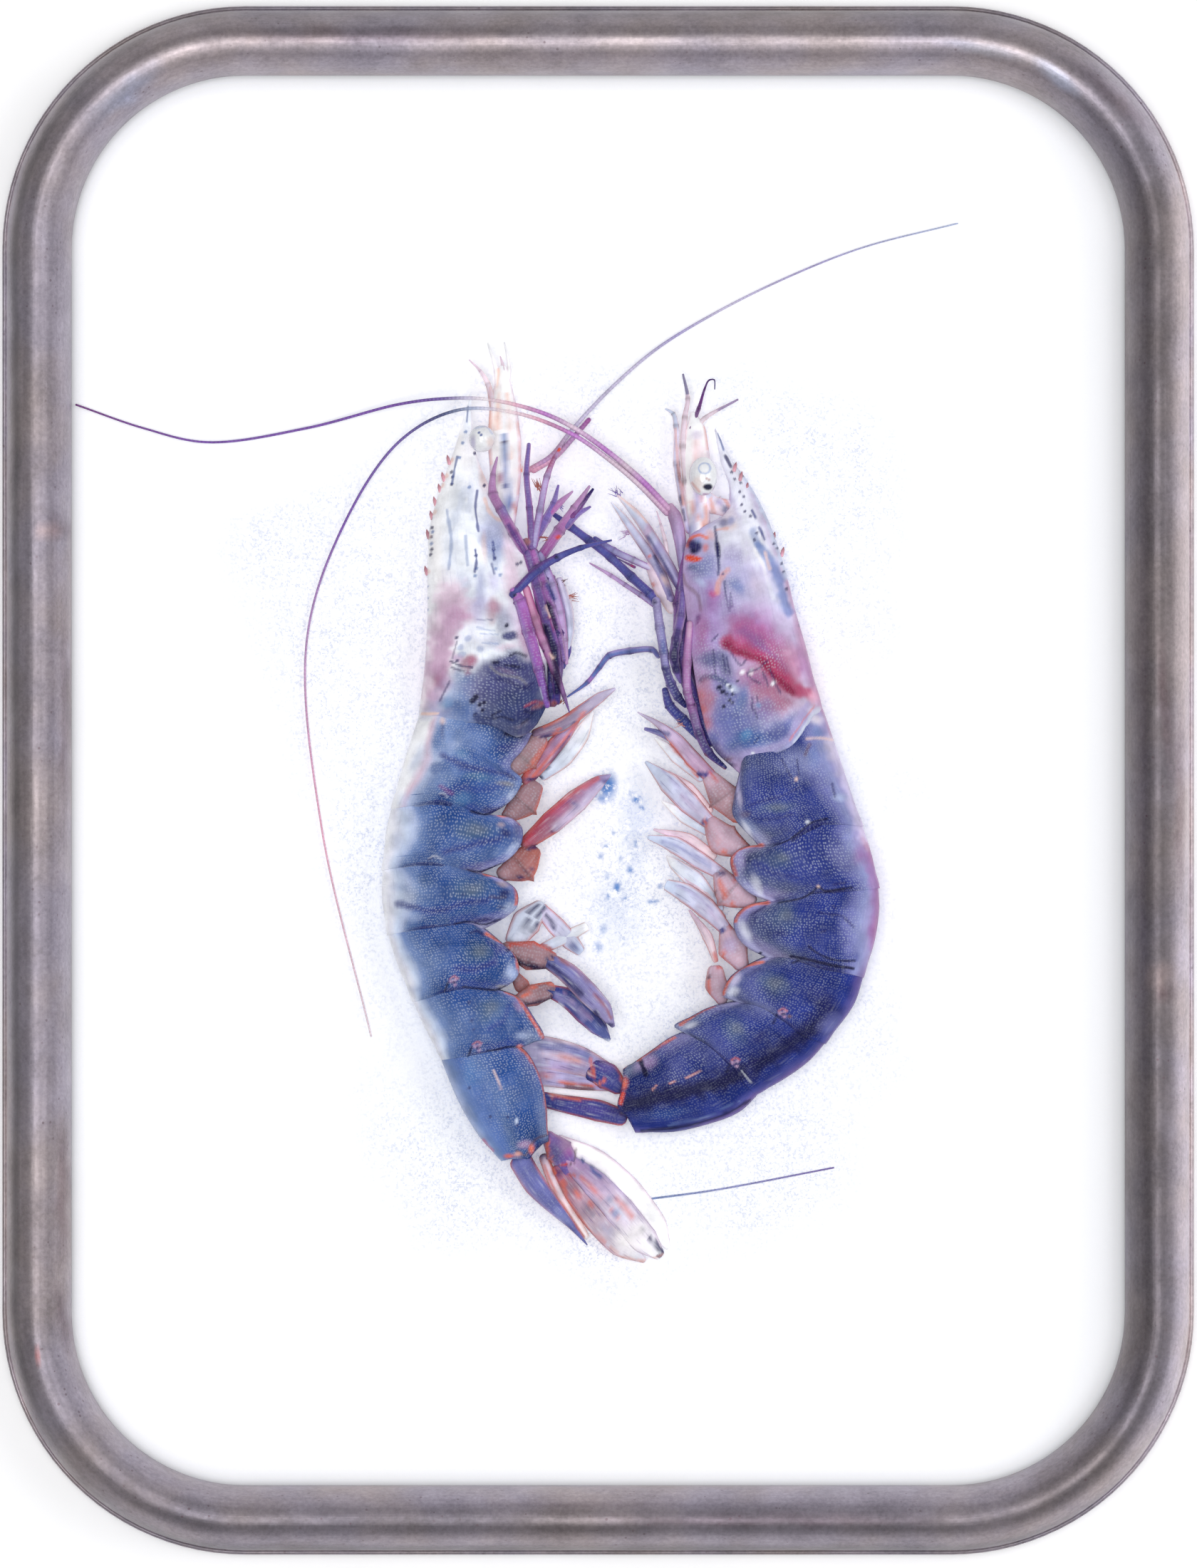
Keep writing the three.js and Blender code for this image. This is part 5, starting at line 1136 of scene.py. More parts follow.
RIGHT_LEGS = [
    ("stem", "grape", [(15.4, 38, 8.6, 1.2, 1.6), (14.4, 30, 8.7, 1.5, 2.4), (14.6, 20, 8.8, 1.4, 2.8),
                       (19.2, 6.8, 8.8, 1.2, 2.4)]),
    ("blade", "lilac_base", [(14.4, 36.4, 7.8, 0.8, 1.4), (13.9, 41.4, 7.8, 1.2, 1.4),
                             (13, 45.2, 7.6, 1.3, 1.2),
                             (12.4, 46.8, 7.4, 0.6, 0.6)]),
    ("stem", "outer_leg", [(9.9, 30.6, 9.4, 0.8, 0.8), (10.5, 26, 11, 0.85, 0.9),
                           (11.2, 21.6, 11.4, 0.85, 0.9),
                           (11.5, 19.2, 11.4, 0.75, 0.9), (12.4, 16.4, 11, 0.9, 0.9),
                           (13.6, 14.2, 10.6, 0.8, 0.8),
                           (14.8, 12.8, 10, 0.5, 0.6)]),
    ("stem", "violet", [(14.4, 31.8, 10.4, 0.7, 0.8), (14.1, 28, 11.4, 0.85, 0.9),
                        (13.3, 24, 12.2, 0.9, 0.9), (12.9, 21, 12, 0.95, 0.9),
                        (13.4, 18.6, 11.6, 0.75, 0.8), (14, 16.8, 11, 0.35, 0.4)]),
    ("stem", "mauve_navy", [(15.6, 26.6, 12, 0.7, 0.8), (15.1, 20, 12.4, 0.8, 0.9),
                            (15.2, 15, 12.4, 0.8, 0.9),
                            (15.9, 12.6, 12.2, 0.85, 0.9), (17.2, 8, 11.4, 0.85, 0.9),
                            (18.8, 4.8, 10.6, 0.8, 0.8),
                            (21.6, 2.2, 9.6, 0.4, 0.4)]),
    ("stem", "slate_leg", [(11.4, 15.4, 7, 0.6, 0.8), (12.2, 12.8, 7, 0.9, 1), (14.4, 10.4, 7.2, 1, 1),
                           (17.2, 7.6, 7.8, 0.9, 0.9)]),
    ("blade", "jaw", [(14, 33, 8.2, 0.9, 1.2), (12.2, 36.2, 7.9, 1.1, 1.1), (10.2, 39.6, 7.5, 1.15, 1),
                      (8.4, 42.6, 7, 1.1, 0.9),
                      (6.2, 45.6, 6.4, 0.9, 0.6), (3.1, 48.9, 6, 0.15, 0.2)]),
    ("blade", "jaw", [(12.3, 31, 7.2, 0.9, 1.1), (10.8, 35, 6.9, 1, 1), (9, 38.2, 6.6, 1, 0.9),
                      (6.8, 41.4, 6.2, 0.9, 0.7),
                      (4.4, 44.8, 5.7, 0.7, 0.5), (2.3, 47.4, 5.2, 0.15, 0.2)]),
    ("blade", "peach", [(12.6, 29.6, 6.6, 1.2, 1.2), (10.6, 33.4, 6.4, 1.5, 1), (9, 36.8, 6.2, 1, 0.7)]),
    ("stem", "peach", [(12, 37.4, 7.4, 0.35, 0.4), (11.4, 41, 6.6, 0.35, 0.35),
                       (10.7, 43.6, 6, 0.25, 0.25), (10, 46, 5.2, 0.1, 0.12)]),
    ("stem", "navy", [(9.8, 30.4, 8, 0.7, 0.9), (8.8, 31.8, 7.6, 0.85, 0.9), (5.6, 34.8, 6.6, 0.85, 0.9),
                      (2.2, 38, 6, 0.75, 0.8),
                      (-1.6, 41, 5.8, 0.75, 0.7), (-4.8, 43.4, 5.6, 0.75, 0.6),
                      (-7.8, 45.6, 5.4, 0.4, 0.35)]),
    ("stem", "pale_blue_leg", [(9, 36.2, 6.4, 0.6, 0.6), (6, 37.6, 6, 0.65, 0.6),
                               (2.6, 39.2, 5.6, 0.7, 0.6), (-0.6, 41.2, 5.2, 0.6, 0.5)]),
    ("stem", "soft_leg", [(9.6, 30, 6.4, 0.6, 0.7), (7.2, 31.7, 5.6, 0.5, 0.5),
                          (4.6, 33.4, 5.2, 0.42, 0.5), (2.2, 35, 5, 0.38, 0.4),
                        (-1.4, 37.1, 4.8, 0.15, 0.2)]),
    ("stem", "blue_leg", [(10.2, 21.2, 8, 0.45, 0.6), (9.2, 22.3, 6.8, 0.55, 0.6),
                          (5.4, 22.1, 6, 0.62, 0.65),
                          (1.9, 21.3, 5.4, 0.6, 0.6), (0.2, 19.3, 5, 0.48, 0.5),
                          (-1.8, 16.8, 4.7, 0.4, 0.4),
                          (-5.2, 14.3, 4.4, 0.18, 0.2)]),
    ("stem", "plum", [(6.2, 36.4, 6.6, 0.3, 0.3), (3.5, 37.8, 6.2, 0.1, 0.12)]),
]

RIGHT_TELSON = [("blade", "fan_blue", [(3.9, -57.5, 5.6, 1.5, 1.2), (0, -56.4, 4.9, 1.9, 0.8),
                                       (-8, -54.8, 4.3, 1.4, 0.6),
                                       (-16, -52.8, 4.1, 0.8, 0.4), (-21, -51.4, 4, 0.15, 0.2)])]
RIGHT_FAN = [
    ("stem", "fan_blue", [(3.3, -52.1, 6, 1.6, 1.4), (1.6, -50.6, 5.6, 2.4, 1.2),
                          (-1, -49.4, 5.2, 2, 0.9)]),
    ("blade", "fan", [(1.2, -49.8, 5.2, 1.8, 0.9), (-3.4, -47.9, 4.8, 2.6, 0.7), (-9, -46.7, 4.4, 3, 0.5),
                      (-16, -46.4, 4.2, 2.8, 0.5), (-20.4, -47, 4.1, 0.9, 0.3)]),
    ("blade", "fan", [(2, -52, 5, 1.1, 0.9), (-3, -51.4, 4.6, 1.5, 0.6), (-9, -50.6, 4.3, 1.7, 0.5),
                      (-17, -49.8, 4.1, 1.3, 0.4), (-21, -49.6, 4, 0.3, 0.3)]),
]

RIGHT_ANTENNAE = [
    ([(12, 46.4, 7.6), (7.4, 51.2, 8.4), (2.5, 55.4, 9), (-4, 60, 9.6), (-10, 62.8, 10), (-18.7, 64.9, 10),
      (-26, 65.1, 8.6), (-34, 64.2, 6.4), (-49.8, 60.2, 4.1), (-66.8, 57.8, 3.9), (-77.7, 60.2, 3.9),
      (-89.2, 64.2, 3.8)], 0.56, 0.17),
    ([(11.7, 45.6, 7.4), (7, 50.4, 8.2), (2, 54.6, 8.8), (-4.4, 59, 9.2), (-14, 62.6, 9.6),
      (-24, 63.1, 8.8),
      (-34, 57.8, 6), (-43.7, 43.2, 4.1), (-49.8, 23.8, 3.9), (-47.3, -7.8, 3.8), (-38.8, -43.7, 3.7)],
      0.52, 0.15),
]
LOOSE_WHISKER = [(9, -71.5, 3.65), (20, -70, 3.65), (40.2, -66.2, 3.65)]

# ---- the painted marks of each prawn ---------------------------------------------------------
def specks(colour, strength, size, *places):
    return [(colour, strength, x, y, size, 0.8 * size, 30, 0.5) for x, y in places]


def lines(colour, strength, width, *paths):
    return [(colour, strength, width, list(path)) for path in paths]


def seam(*points):
    """A dark fold line with a soft shadow on its head side."""
    return [("deep_blue", 0.5, 1.5, [(x, y + 0.6) for x, y in points]), ("ink", 0.85, 0.36, list(points))]


def fold(*points):
    return [("deep_blue", 0.6, 1.3, list(points)), ("navy", 0.35, 0.5, list(points))]


def rim(*points):
    """The orange edge of a lobe."""
    return [("coral", 0.9, 0.55, list(points)), ("brown", 0.35, 0.25, list(points))]


def hinge(x, y, side):
    """The pale knob that two segments turn on: three petals round a dark pit, and a hooked line."""
    petals = [("thistle", 0.7, x + 0.45 * math.cos(a), y + 0.38 * math.sin(a), 0.6, 0.4, math.degrees(a),
               0.7)
              for a in (0.9, 2.9, 5.1)]
    hook = [(x + side, y - 0.1), (x + 1.25 * side, y - 0.8), (x + 1.6 * side, y - 1.6)]
    rim_of_knob = ("coral", 0.45, 0.3, [(x - 0.7, y + 0.5), (x, y + 0.9), (x + 0.7, y + 0.5)])
    return [*petals, rim_of_knob, ("navy", 0.9, x + 0.05, y - 0.1, 0.5, 0.34, 0, 0.5),
            ("ink", 0.85, 0.36, hook)]


def cheek(x, y, width, height, turn):
    """The olive oval on the side of a segment."""
    return [("olive", 0.45, x, y, width, height, turn, 1),
            ("khaki", 0.2, x + 0.4, y + 0.2, 0.5 * width, 0.5 * height, turn)]


LEFT_HEAD_MARKS = [
    ("ivory", 0.6, -27.6, 40, 1.6, 10, 5, 1),
    ("frost", 0.25, 1.4, [(-24.8, 44), (-23.4, 47), (-22.6, 49.6)]),
    ("frost", 0.25, 1, [(-22, 46), (-21.6, 50.4)]), ("frost", 0.3, -25.2, 39, 1.5, 6, -6, 1),
    ("ivory", 0.8, -23, 56, 1.8, 6, 12, 1),
    ("periwinkle", 0.65, -17.9, 41.6, 2.7, 5, 8, 0.7), ("cornflower", 0.35, -17.6, 38.6, 1.6, 4, 0),
    ("petal", 0.8, -15, 38.6, 1.6, 5, 12),
    *lines("powder", 0.5, 0.5, [(-25.8, 46), (-25, 41), (-25.4, 36)], [(-22.6, 41.6), (-22.2, 36.6)]),
    ("peach", 0.45, -19.3, 39.6, 0.7, 3.4, 0), ("lilac", 0.5, -17.6, 33.6, 2, 2.4, 0, 1),
    ("lilac", 0.65, -20.4, 30.4, 3, 2, 0, 1), ("petal", 0.9, -14.6, 33.6, 1.7, 4, 8),
    ("periwinkle", 0.6, -20.2, 33.4, 1.3, 3.6, 0, 1), ("periwinkle", 0.35, -23, 33.4, 1.6, 2.4, 0, 1),
    ("petal", 0.7, -25.6, 31, 2.6, 4.6, 0, 1),
    ("petal", 0.9, 5, [(-24.6, 31), (-26.4, 26), (-27.6, 20), (-28.2, 15)]),
    ("thistle", 0.6, -24, 28.8, 4, 3.2, -18, 0.9),
    ("rosewood", 0.35, -22.6, 28, 2.2, 1.6, 0, 1),
    ("thistle", 0.65, 3.4, [(-24, 27.6), (-26, 24), (-27, 19)]),
    ("rosewood", 0.75, -17.6, 29.4, 1.9, 2.2, 0), ("orchid", 0.35, -14, 27, 2, 5, 10, 1),
    ("rosewood", 0.3, -18, 27.4, 1, 1.2, 0), ("ash", 0.55, -16, 27, 1.6, 3.4, 5),
    ("haze", 0.95, -20.8, 24.2, 3.4, 2.8, -15, 0.8),
    *specks("cornflower", 0.4, 0.8, (-23.4, 22.6), (-22, 24), (-23.2, 21.4), (-20, 22.4)),
    ("ash", 0.45, -17.6, 23.6, 2, 1.4, -10), ("petal", 0.7, -15.4, 22.7, 2.4, 0.8, 5),
    ("gill", 0.95, -15, 24.6, 1.7, 0.85, 4, 0.5),
    ("thistle", 0.8, -12.6, 24, 1.2, 4.6, 10), ("powder", 0.75, -22.6, 16.4, 2.8, 3, 0, 0.9),
    ("rosewood", 0.75, -22, 20.2, 2.1, 1.4, 12, 0.7), ("cherry", 0.4, -21.5, 20.5, 1.2, 0.9, 0),
    ("rosewood", 0.7, -22.1, 18.3, 0.8, 1, 0),
    ("orchid", 0.45, -24, 20.6, 1.1, 1, 0), ("cyan", 0.45, -21.8, 17.3, 1.6, 1, 20),
    ("peach", 0.3, -23.4, 15.6, 1.6, 1.2, 0),
    ("thistle", 0.95, -26.7, 17.6, 2.2, 2.6, 20, 0.9), ("rosewood", 0.45, -27.2, 16.8, 1.5, 1.5, 0),
    ("thistle", 0.6, -28, 14.4, 1.6, 1.6, 0),
    ("skin", 0.8, -29.8, 14, 0.9, 4, 8), ("dusk", 0.35, -29, 12.6, 1.2, 1.4, 0),
    ("lilac", 0.7, -27.4, 11.4, 3.4, 2.6, 0, 1), ("powder", 0.9, -23.6, 14.2, 4.2, 4.4, 0, 0.9),
    ("steel", 0.85, -22.6, 10.6, 6.4, 3, -8, 0.9), ("ash", 0.95, -19.4, 15.4, 4.6, 5.4, 20, 0.8),
    ("gill", 1, -14.4, 16.6, 6.6, 6.2, 0, 0.45), ("storm", 1, -12.6, 12, 8, 5, 8, 0.7),
    ("storm", 0.9, -16.8, 10.6, 6, 3.4, -5, 0.8),
    ("ocean", 0.6, -23.6, 12.2, 4, 1.9, -18, 0.9), ("cyan", 0.5, -26, 13.4, 1.6, 1.4, -30),
    ("steel", 0.5, -22, 13, 2, 1.4, 0),
    ("ash", 0.6, -13.6, 16.8, 2.6, 0.8, -12), ("dusk", 0.35, -15.6, 18.6, 2.4, 0.6, -12),
    ("navy", 0.6, -11.6, 11.6, 3, 1.8, 15),
    ("khaki", 0.55, 0.4, [(-18.4, 19.4), (-17, 18.2), (-15, 17.7), (-13.4, 17.4), (-12.2, 16.4)]),
    ("midnight", 0.6, 0.7, [(-17.2, 17.3), (-15, 16.8), (-13.4, 15.9), (-11.4, 15.6)]),
    ("midnight", 0.5, 0.9, [(-18, 20), (-15, 19.2), (-12.6, 19.2)]),
    ("ink", 0.85, 0.4, [(-17.9, 20), (-17, 20.1)]), ("ink", 0.85, 0.45, [(-15.8, 19.6), (-13.5, 19.3)]),
    ("ink", 0.8, 0.4, [(-15, 21.2), (-13.9, 21.7), (-12.2, 21.1)]),
    ("navy", 0.8, 0.5, [(-12.6, 15.8), (-11, 16.6)]),
    ("ink", 0.75, 0.4, [(-20.5, 10.8), (-18, 10.5), (-16.4, 10.8), (-14.4, 10.2)]),
    ("ink", 0.8, 0.4, [(-18, 11.1), (-16.6, 11.8)]),
    ("ink", 0.7, 0.5, [(-12.4, 11.8), (-10.6, 11.4), (-9.4, 12.4)]),
    ("ink", 0.7, 0.5, [(-13, 9.6), (-11.4, 10.6), (-10, 10.2)]),
    *specks("ink", 0.95, 0.75, (-21.3, 13.5), (-20.7, 14.2)),
    *specks("ink", 0.95, 0.5, (-20.1, 12.9), (-19.3, 13.2),
                                                                       (-19.6, 11.9), (-20.9, 11.2),
                                                                       (-15.6, 26.3)),
    ("dusk", 0.95, -11, 8.2, 3.4, 1.8, 0), ("rust", 0.6, -10.4, 12.6, 1.4, 0.5, 22),
    ("ember", 0.4, 0.35, [(-12.4, 12.6), (-10.6, 13.4), (-9.4, 13.2)]),
    ("ink", 0.6, -9.6, 11.4, 1.4, 1.4, 0),
    ("peach", 0.8, 0.5, [(-30, 11.3), (-27.2, 11.4)]),
    ("navy", 0.75, 0.36, [(-25.1, 20.3), (-23.7, 19.6), (-21.4, 19.2)]),
    ("navy", 0.6, 0.3, [(-24.9, 19.2), (-22.8, 18.5)]),
    ("navy", 0.6, 0.3, [(-26.9, 13.6), (-26, 15.4), (-25.3, 16.8)]),
    ("navy", 0.5, 0.3, [(-24.8, 20.8), (-24, 23.6)]), ("slate", 0.5, 0.3, [(-20.6, 27.3), (-18, 27.3)]),
    *[("powder", 0.45, 0.3, line) for line in ([(-20.6, 26), (-17.6, 25.4)], [(-20, 25), (-17, 24.8)],
                                               [(-19.6, 23.4), (-17, 23.2)])],
    *specks("navy", 0.8, 0.4, (-24, 24.3), (-24, 20.3), (-28.6, 44.6), (-28.3, 43.1), (-28.5, 41.5),
            (-28.3, 39.4),
            (-28.5, 38.6), (-25, 52.6), (-24.8, 51.8), (-24.9, 50.6), (-20.8, 38.2), (-13.2, 37.1),
            (-13.8, 36.8), (-17.8, 39.3), (-17.6, 37.8)),
    *specks("powder", 0.8, 0.4, (-29.2, 33), (-29.1, 31), (-29.2, 29), (-22.6, 59.5), (-23, 57.6),
            (-22, 50), (-23.6, 55), (-28.2, 42.4),
            (-28.4, 40.4), (-21, 34.8), (-20.8, 36), (-17.4, 36), (-16.6, 35)),
    ("mid_blue", 0.6, 0.36, [(-22.2, 63.8), (-22.4, 61.2)]),
    ("mid_blue", 0.7, 0.4, [(-24, 55.2), (-24.5, 53), (-24.9, 50.6)]),
    ("deep_blue", 0.75, 0.4, [(-20.6, 49.4), (-20.9, 46.5), (-20.6, 44), (-20.4, 42.4)]),
    ("deep_blue", 0.8, 0.42, [(-20.9, 39.2), (-20.7, 37.4), (-21, 35.4)]),
    ("deep_blue", 0.7, 0.5, [(-17.9, 40.6), (-17.7, 37.6)]),
    ("deep_blue", 0.6, 0.4, [(-18.1, 36.8), (-17.7, 35.2)]),
    ("peach", 0.7, 0.6, [(-19.3, 48), (-18.6, 46), (-17.6, 44.8), (-16.6, 44.4)]),
    ("ivory", 0.8, -21.4, 57.5, 1.1, 3.6, 0), ("peach", 0.5, -19.6, 52.4, 1.2, 4, 5),
    ("frost", 0.7, -18.5, 54, 0.5, 1.6, 10),
    *specks("navy", 0.9, 0.4, (-20.3, 59.1), (-21, 55.8), (-19.4, 50.2), (-18.2, 57.7)),
    *specks("peach", 0.6, 0.7, (-29, 35.6), (-29, 41.6), (-26.6, 50.4), (-26, 52), (-25, 54.6),
            (-28.1, 45.8)),
    ("lilac", 0.5, -20.4, 28.4, 2, 2.4, 0, 1),
    ("storm", 0.9, 1.8, [(-20.4, 10.4), (-18, 9.2), (-15.8, 8.6), (-14.2, 8.2), (-12.8, 8.4),
                         (-11.2, 9.4), (-9.8, 11.4)]),
]
LEFT_TAIL_MARKS = [
    ("frost", 0.55, -30.6, 3.6, 1.4, 4, -20, 1), ("steel", 0.8, -27.2, 7.2, 1.2, 3.4, -8),
    ("navy", 0.45, -26.4, 8.4, 0.5, 2.2, 5),
    ("powder", 0.65, -22, 7, 5, 3.4, 0, 1), ("frost", 0.4, -24.6, 6, 1.6, 1.6, 0, 1),
    ("cyan", 0.35, -23.2, 4.4, 1.6, 1.2, 0, 1),
    ("haze", 0.9, -29.2, 10.8, 1.6, 0.8, 0), ("peach", 0.6, -26.5, 10.2, 0.7, 0.9, 0),
    ("storm", 0.85, -14.4, 8.4, 3.8, 2.6, -12),
    ("ink", 0.85, 0.7, [(-15.6, 7.9), (-14.4, 7.8), (-13.2, 7.4)]),
    ("indigo", 0.45, -15.4, 5.6, 2.2, 1, 10),
    ("ocean", 0.6, 2, [(-27.6, 2), (-25, 2.8), (-22, 2.2)]),
    *fold((-26.4, 4.2), (-24.4, 3.3), (-22.4, 2.4), (-19, 1.7), (-15.6, 1.1)),
    ("teal", 0.4, -20.6, 0.7, 3.2, 1, 0), ("navy", 0.75, -14.6, 0.6, 1.4, 0.6, -25),
    ("khaki", 0.8, -15.8, -0.5, 2.1, 0.6, -4),
    ("deep_blue", 0.45, 1.2, [(-24, -1.2), (-20, -1.6), (-16.4, -1)]),
    ("cyan", 0.45, -23.2, -3.2, 2, 1.5, 0, 1),
    ("plum", 0.6, 0.9, [(-26.8, -1), (-25, -2.2)]),
    ("haze", 0.4, 0.3, [(-27, -2.2), (-26.2, -2.2), (-25.6, -2.9)]),
    ("navy", 0.7, 0.3, [(-26.9, -2.4), (-26.1, -2.6)]),
    ("frost", 0.8, -14.8, -2.8, 0.9, 1.8, -35), ("frost", 0.5, -33.4, -3.4, 1.4, 2, 0, 1),
    ("navy", 0.3, -14.6, -1, 0.8, 0.8, 0),
    *seam((-21.6, -5.3), (-19.4, -5.8), (-18, -5.3), (-16.4, -4.9), (-15.8, -4.2)),
    ("navy", 0.7, 0.9, [(-19.2, -5.2), (-16.6, -4.9)]),
    ("ocean", 0.5, -28, -8.4, 2.4, 2.6, 0, 1), ("frost", 0.5, -33.8, -10.6, 1.6, 2.6, 0, 1),
    *cheek(-20.8, -8.4, 4.4, 2.1, 3), ("peach", 0.4, -16.4, -7.6, 0.9, 0.6, 0),
    ("navy", 0.85, -15.6, -8.9, 1.4, 1, 0),
    ("navy", 0.35, -13.8, -8, 0.8, 1.8, 0), *fold((-26, -12.2), (-24, -11.6), (-21, -10.9), (-16.6, -9.9)),
    ("frost", 0.65, -14.6, -11.6, 1.9, 0.9, 50, 0.8), ("powder", 0.4, -17.2, -12.4, 2.2, 1, 35),
    ("haze", 0.4, 0.3, [(-28.8, -13.3), (-27.8, -12.8), (-26.7, -13.4)]),
    ("navy", 0.7, 0.3, [(-28.9, -13.5), (-28.3, -13.2)]),
    *seam((-22.6, -15), (-21, -15.5), (-19.4, -15.4), (-18, -14.8), (-16.4, -14.2)),
    ("ocean", 0.5, -26, -10.6, 3, 1.4, 0, 1), ("powder", 0.4, -33.2, -18.2, 2.6, 1.2, 0, 1),
    ("ocean", 0.45, -27, -19.8, 2.6, 1.8, 20, 1),
    *cheek(-21.4, -18.4, 4.2, 2.2, -4), ("navy", 0.6, -22.8, -19.3, 0.7, 0.3, 0),
    ("peach", 0.4, -16.3, -17.6, 1.4, 0.6, -20),
    ("navy", 0.8, -15.8, -19.2, 1.1, 0.8, 0), ("umber", 0.5, 0.5, [(-18.6, -19.8), (-15.6, -20)]),
    ("navy", 0.3, -13.9, -19, 0.6, 2, 0),
    *fold((-34, -21), (-31, -21.6), (-28, -22.3), (-25.4, -21.7), (-22.4, -20.8), (-19, -20.4)),
    ("frost", 0.4, -31.6, -23.2, 3, 1, -5, 1),
    ("frost", 0.65, -15.1, -21.6, 1.6, 1.2, 30, 0.8), ("navy", 0.5, 0.3, [(-17, -21.4), (-15.8, -21.8)]),
    *seam((-24.4, -24.4), (-22, -24), (-19.4, -24.5), (-16.6, -23.6)),
    ("navy", 0.8, -19.2, -23.8, 2.6, 0.5, 5), ("navy", 0.45, 0.5, [(-30, -25), (-28, -24.8)]),
    *cheek(-20.4, -29, 3.4, 2.4, 25),
    ("deep_blue", 0.55, 0.7, [(-18.8, -27.5), (-17.5, -28.8), (-17.4, -30.2), (-18.6, -31.4)]),
    ("grape", 0.3, -16.4, -28.6, 1.2, 1.2, 0),
    ("navy", 0.75, 0.4, [(-21.7, -25.9), (-20.6, -25.6), (-19.5, -26.3)]),
    *specks("navy", 0.85, 0.6, (-15.4, -28.8), (-14.4, -30)),
    *fold((-24, -32), (-21.5, -32.3), (-19.5, -31.6), (-17.6, -31)),
    ("frost", 0.65, -14.9, -32.8, 1.4, 1.6, 0, 0.8), ("powder", 0.4, -30.4, -35.4, 2.4, 1, 0, 1),
    *hinge(-24.5, -34.2, -1), *seam((-23, -35.1), (-20.5, -35.4), (-17.4, -35.6), (-15.6, -34.9)),
    ("khaki", 0.7, -16.6, -35, 1, 0.35, 0), *cheek(-18.6, -38.9, 3.4, 2.4, 40),
    *specks("navy", 0.7, 0.4, (-22, -37.8),
                                                                                     (-21.6, -40.8),
                                                                                     (-21.2, -42.3)),
    ("deep_blue", 0.5, 0.8, [(-18.4, -42.2), (-16, -40.6), (-15.3, -38.4)]),
    ("thistle", 0.4, -13.6, -38.4, 1.4, 0.8, -50), ("frost", 0.6, -12.4, -43.4, 2, 1, 10, 0.8),
    ("powder", 0.4, -14.6, -41.6, 1.6, 2, 0, 1), ("navy", 0.5, 0.5, [(-12.2, -40), (-10.8, -42.6)]),
    ("ocean", 0.4, -22, -43, 2, 1.4, 0, 1),
    *hinge(-20.5, -45.3, -1), *seam((-18.9, -45.9), (-17.3, -45.8), (-15.5, -45.3), (-13.2, -45.4)),
    ("ocean", 0.8, -12.4, -51, 3, 6, 10, 1),
    ("cornflower", 0.4, 2.4, [(-23, -48), (-20.8, -54), (-17.6, -60)]),
    ("cyan", 0.3, -21.6, -50, 2, 3, 20, 1),
    ("peach", 0.6, 0.36, [(-17.7, -49.2), (-17.2, -50.7), (-16.6, -52.6)]),
    ("ice", 0.8, -13.9, -58, 0.4, 0.8, 0),
    *specks("navy", 0.8, 0.3, (-15.4, -57.3), (-22, -52.3), (-18.4, -57.2), (-13.8, -58.7)),
    ("rose", 0.7, 0.7, [(-19.6, -61.4), (-18.2, -63.1)]), ("thistle", 0.6, -12.4, -62, 1.8, 1, 0),
    ("umber", 0.6, 0.4, [(-13.9, -63), (-12.4, -63.8), (-11.2, -61.7), (-10.3, -60.9), (-8.8, -60.4)]),
    ("coral", 0.9, -15.2, -64, 1.1, 0.6, 0), ("coral", 0.9, -11.3, -62.8, 0.6, 1, 0),
    ("salmon", 0.8, -13.8, -63.6, 0.9, 0.6, 0),
    *rim((-17, -5.9), (-14.5, -6.1), (-13.1, -7.3)),
    *rim((-19.4, -15.9), (-17, -16.2), (-15, -16.9), (-13.8, -18.8), (-13.9, -21)),
    *rim((-19, -26.1), (-17, -27.2), (-15.2, -28.2), (-14, -29.8), (-13.4, -32.4)),
    *rim((-15.6, -35.9), (-14, -36.7), (-12, -39.6), (-10.4, -42), (-9.2, -43.9)),
    *rim((-13.4, -45.2), (-11, -48), (-9.5, -51), (-8.8, -55.5), (-8.4, -60)),
]
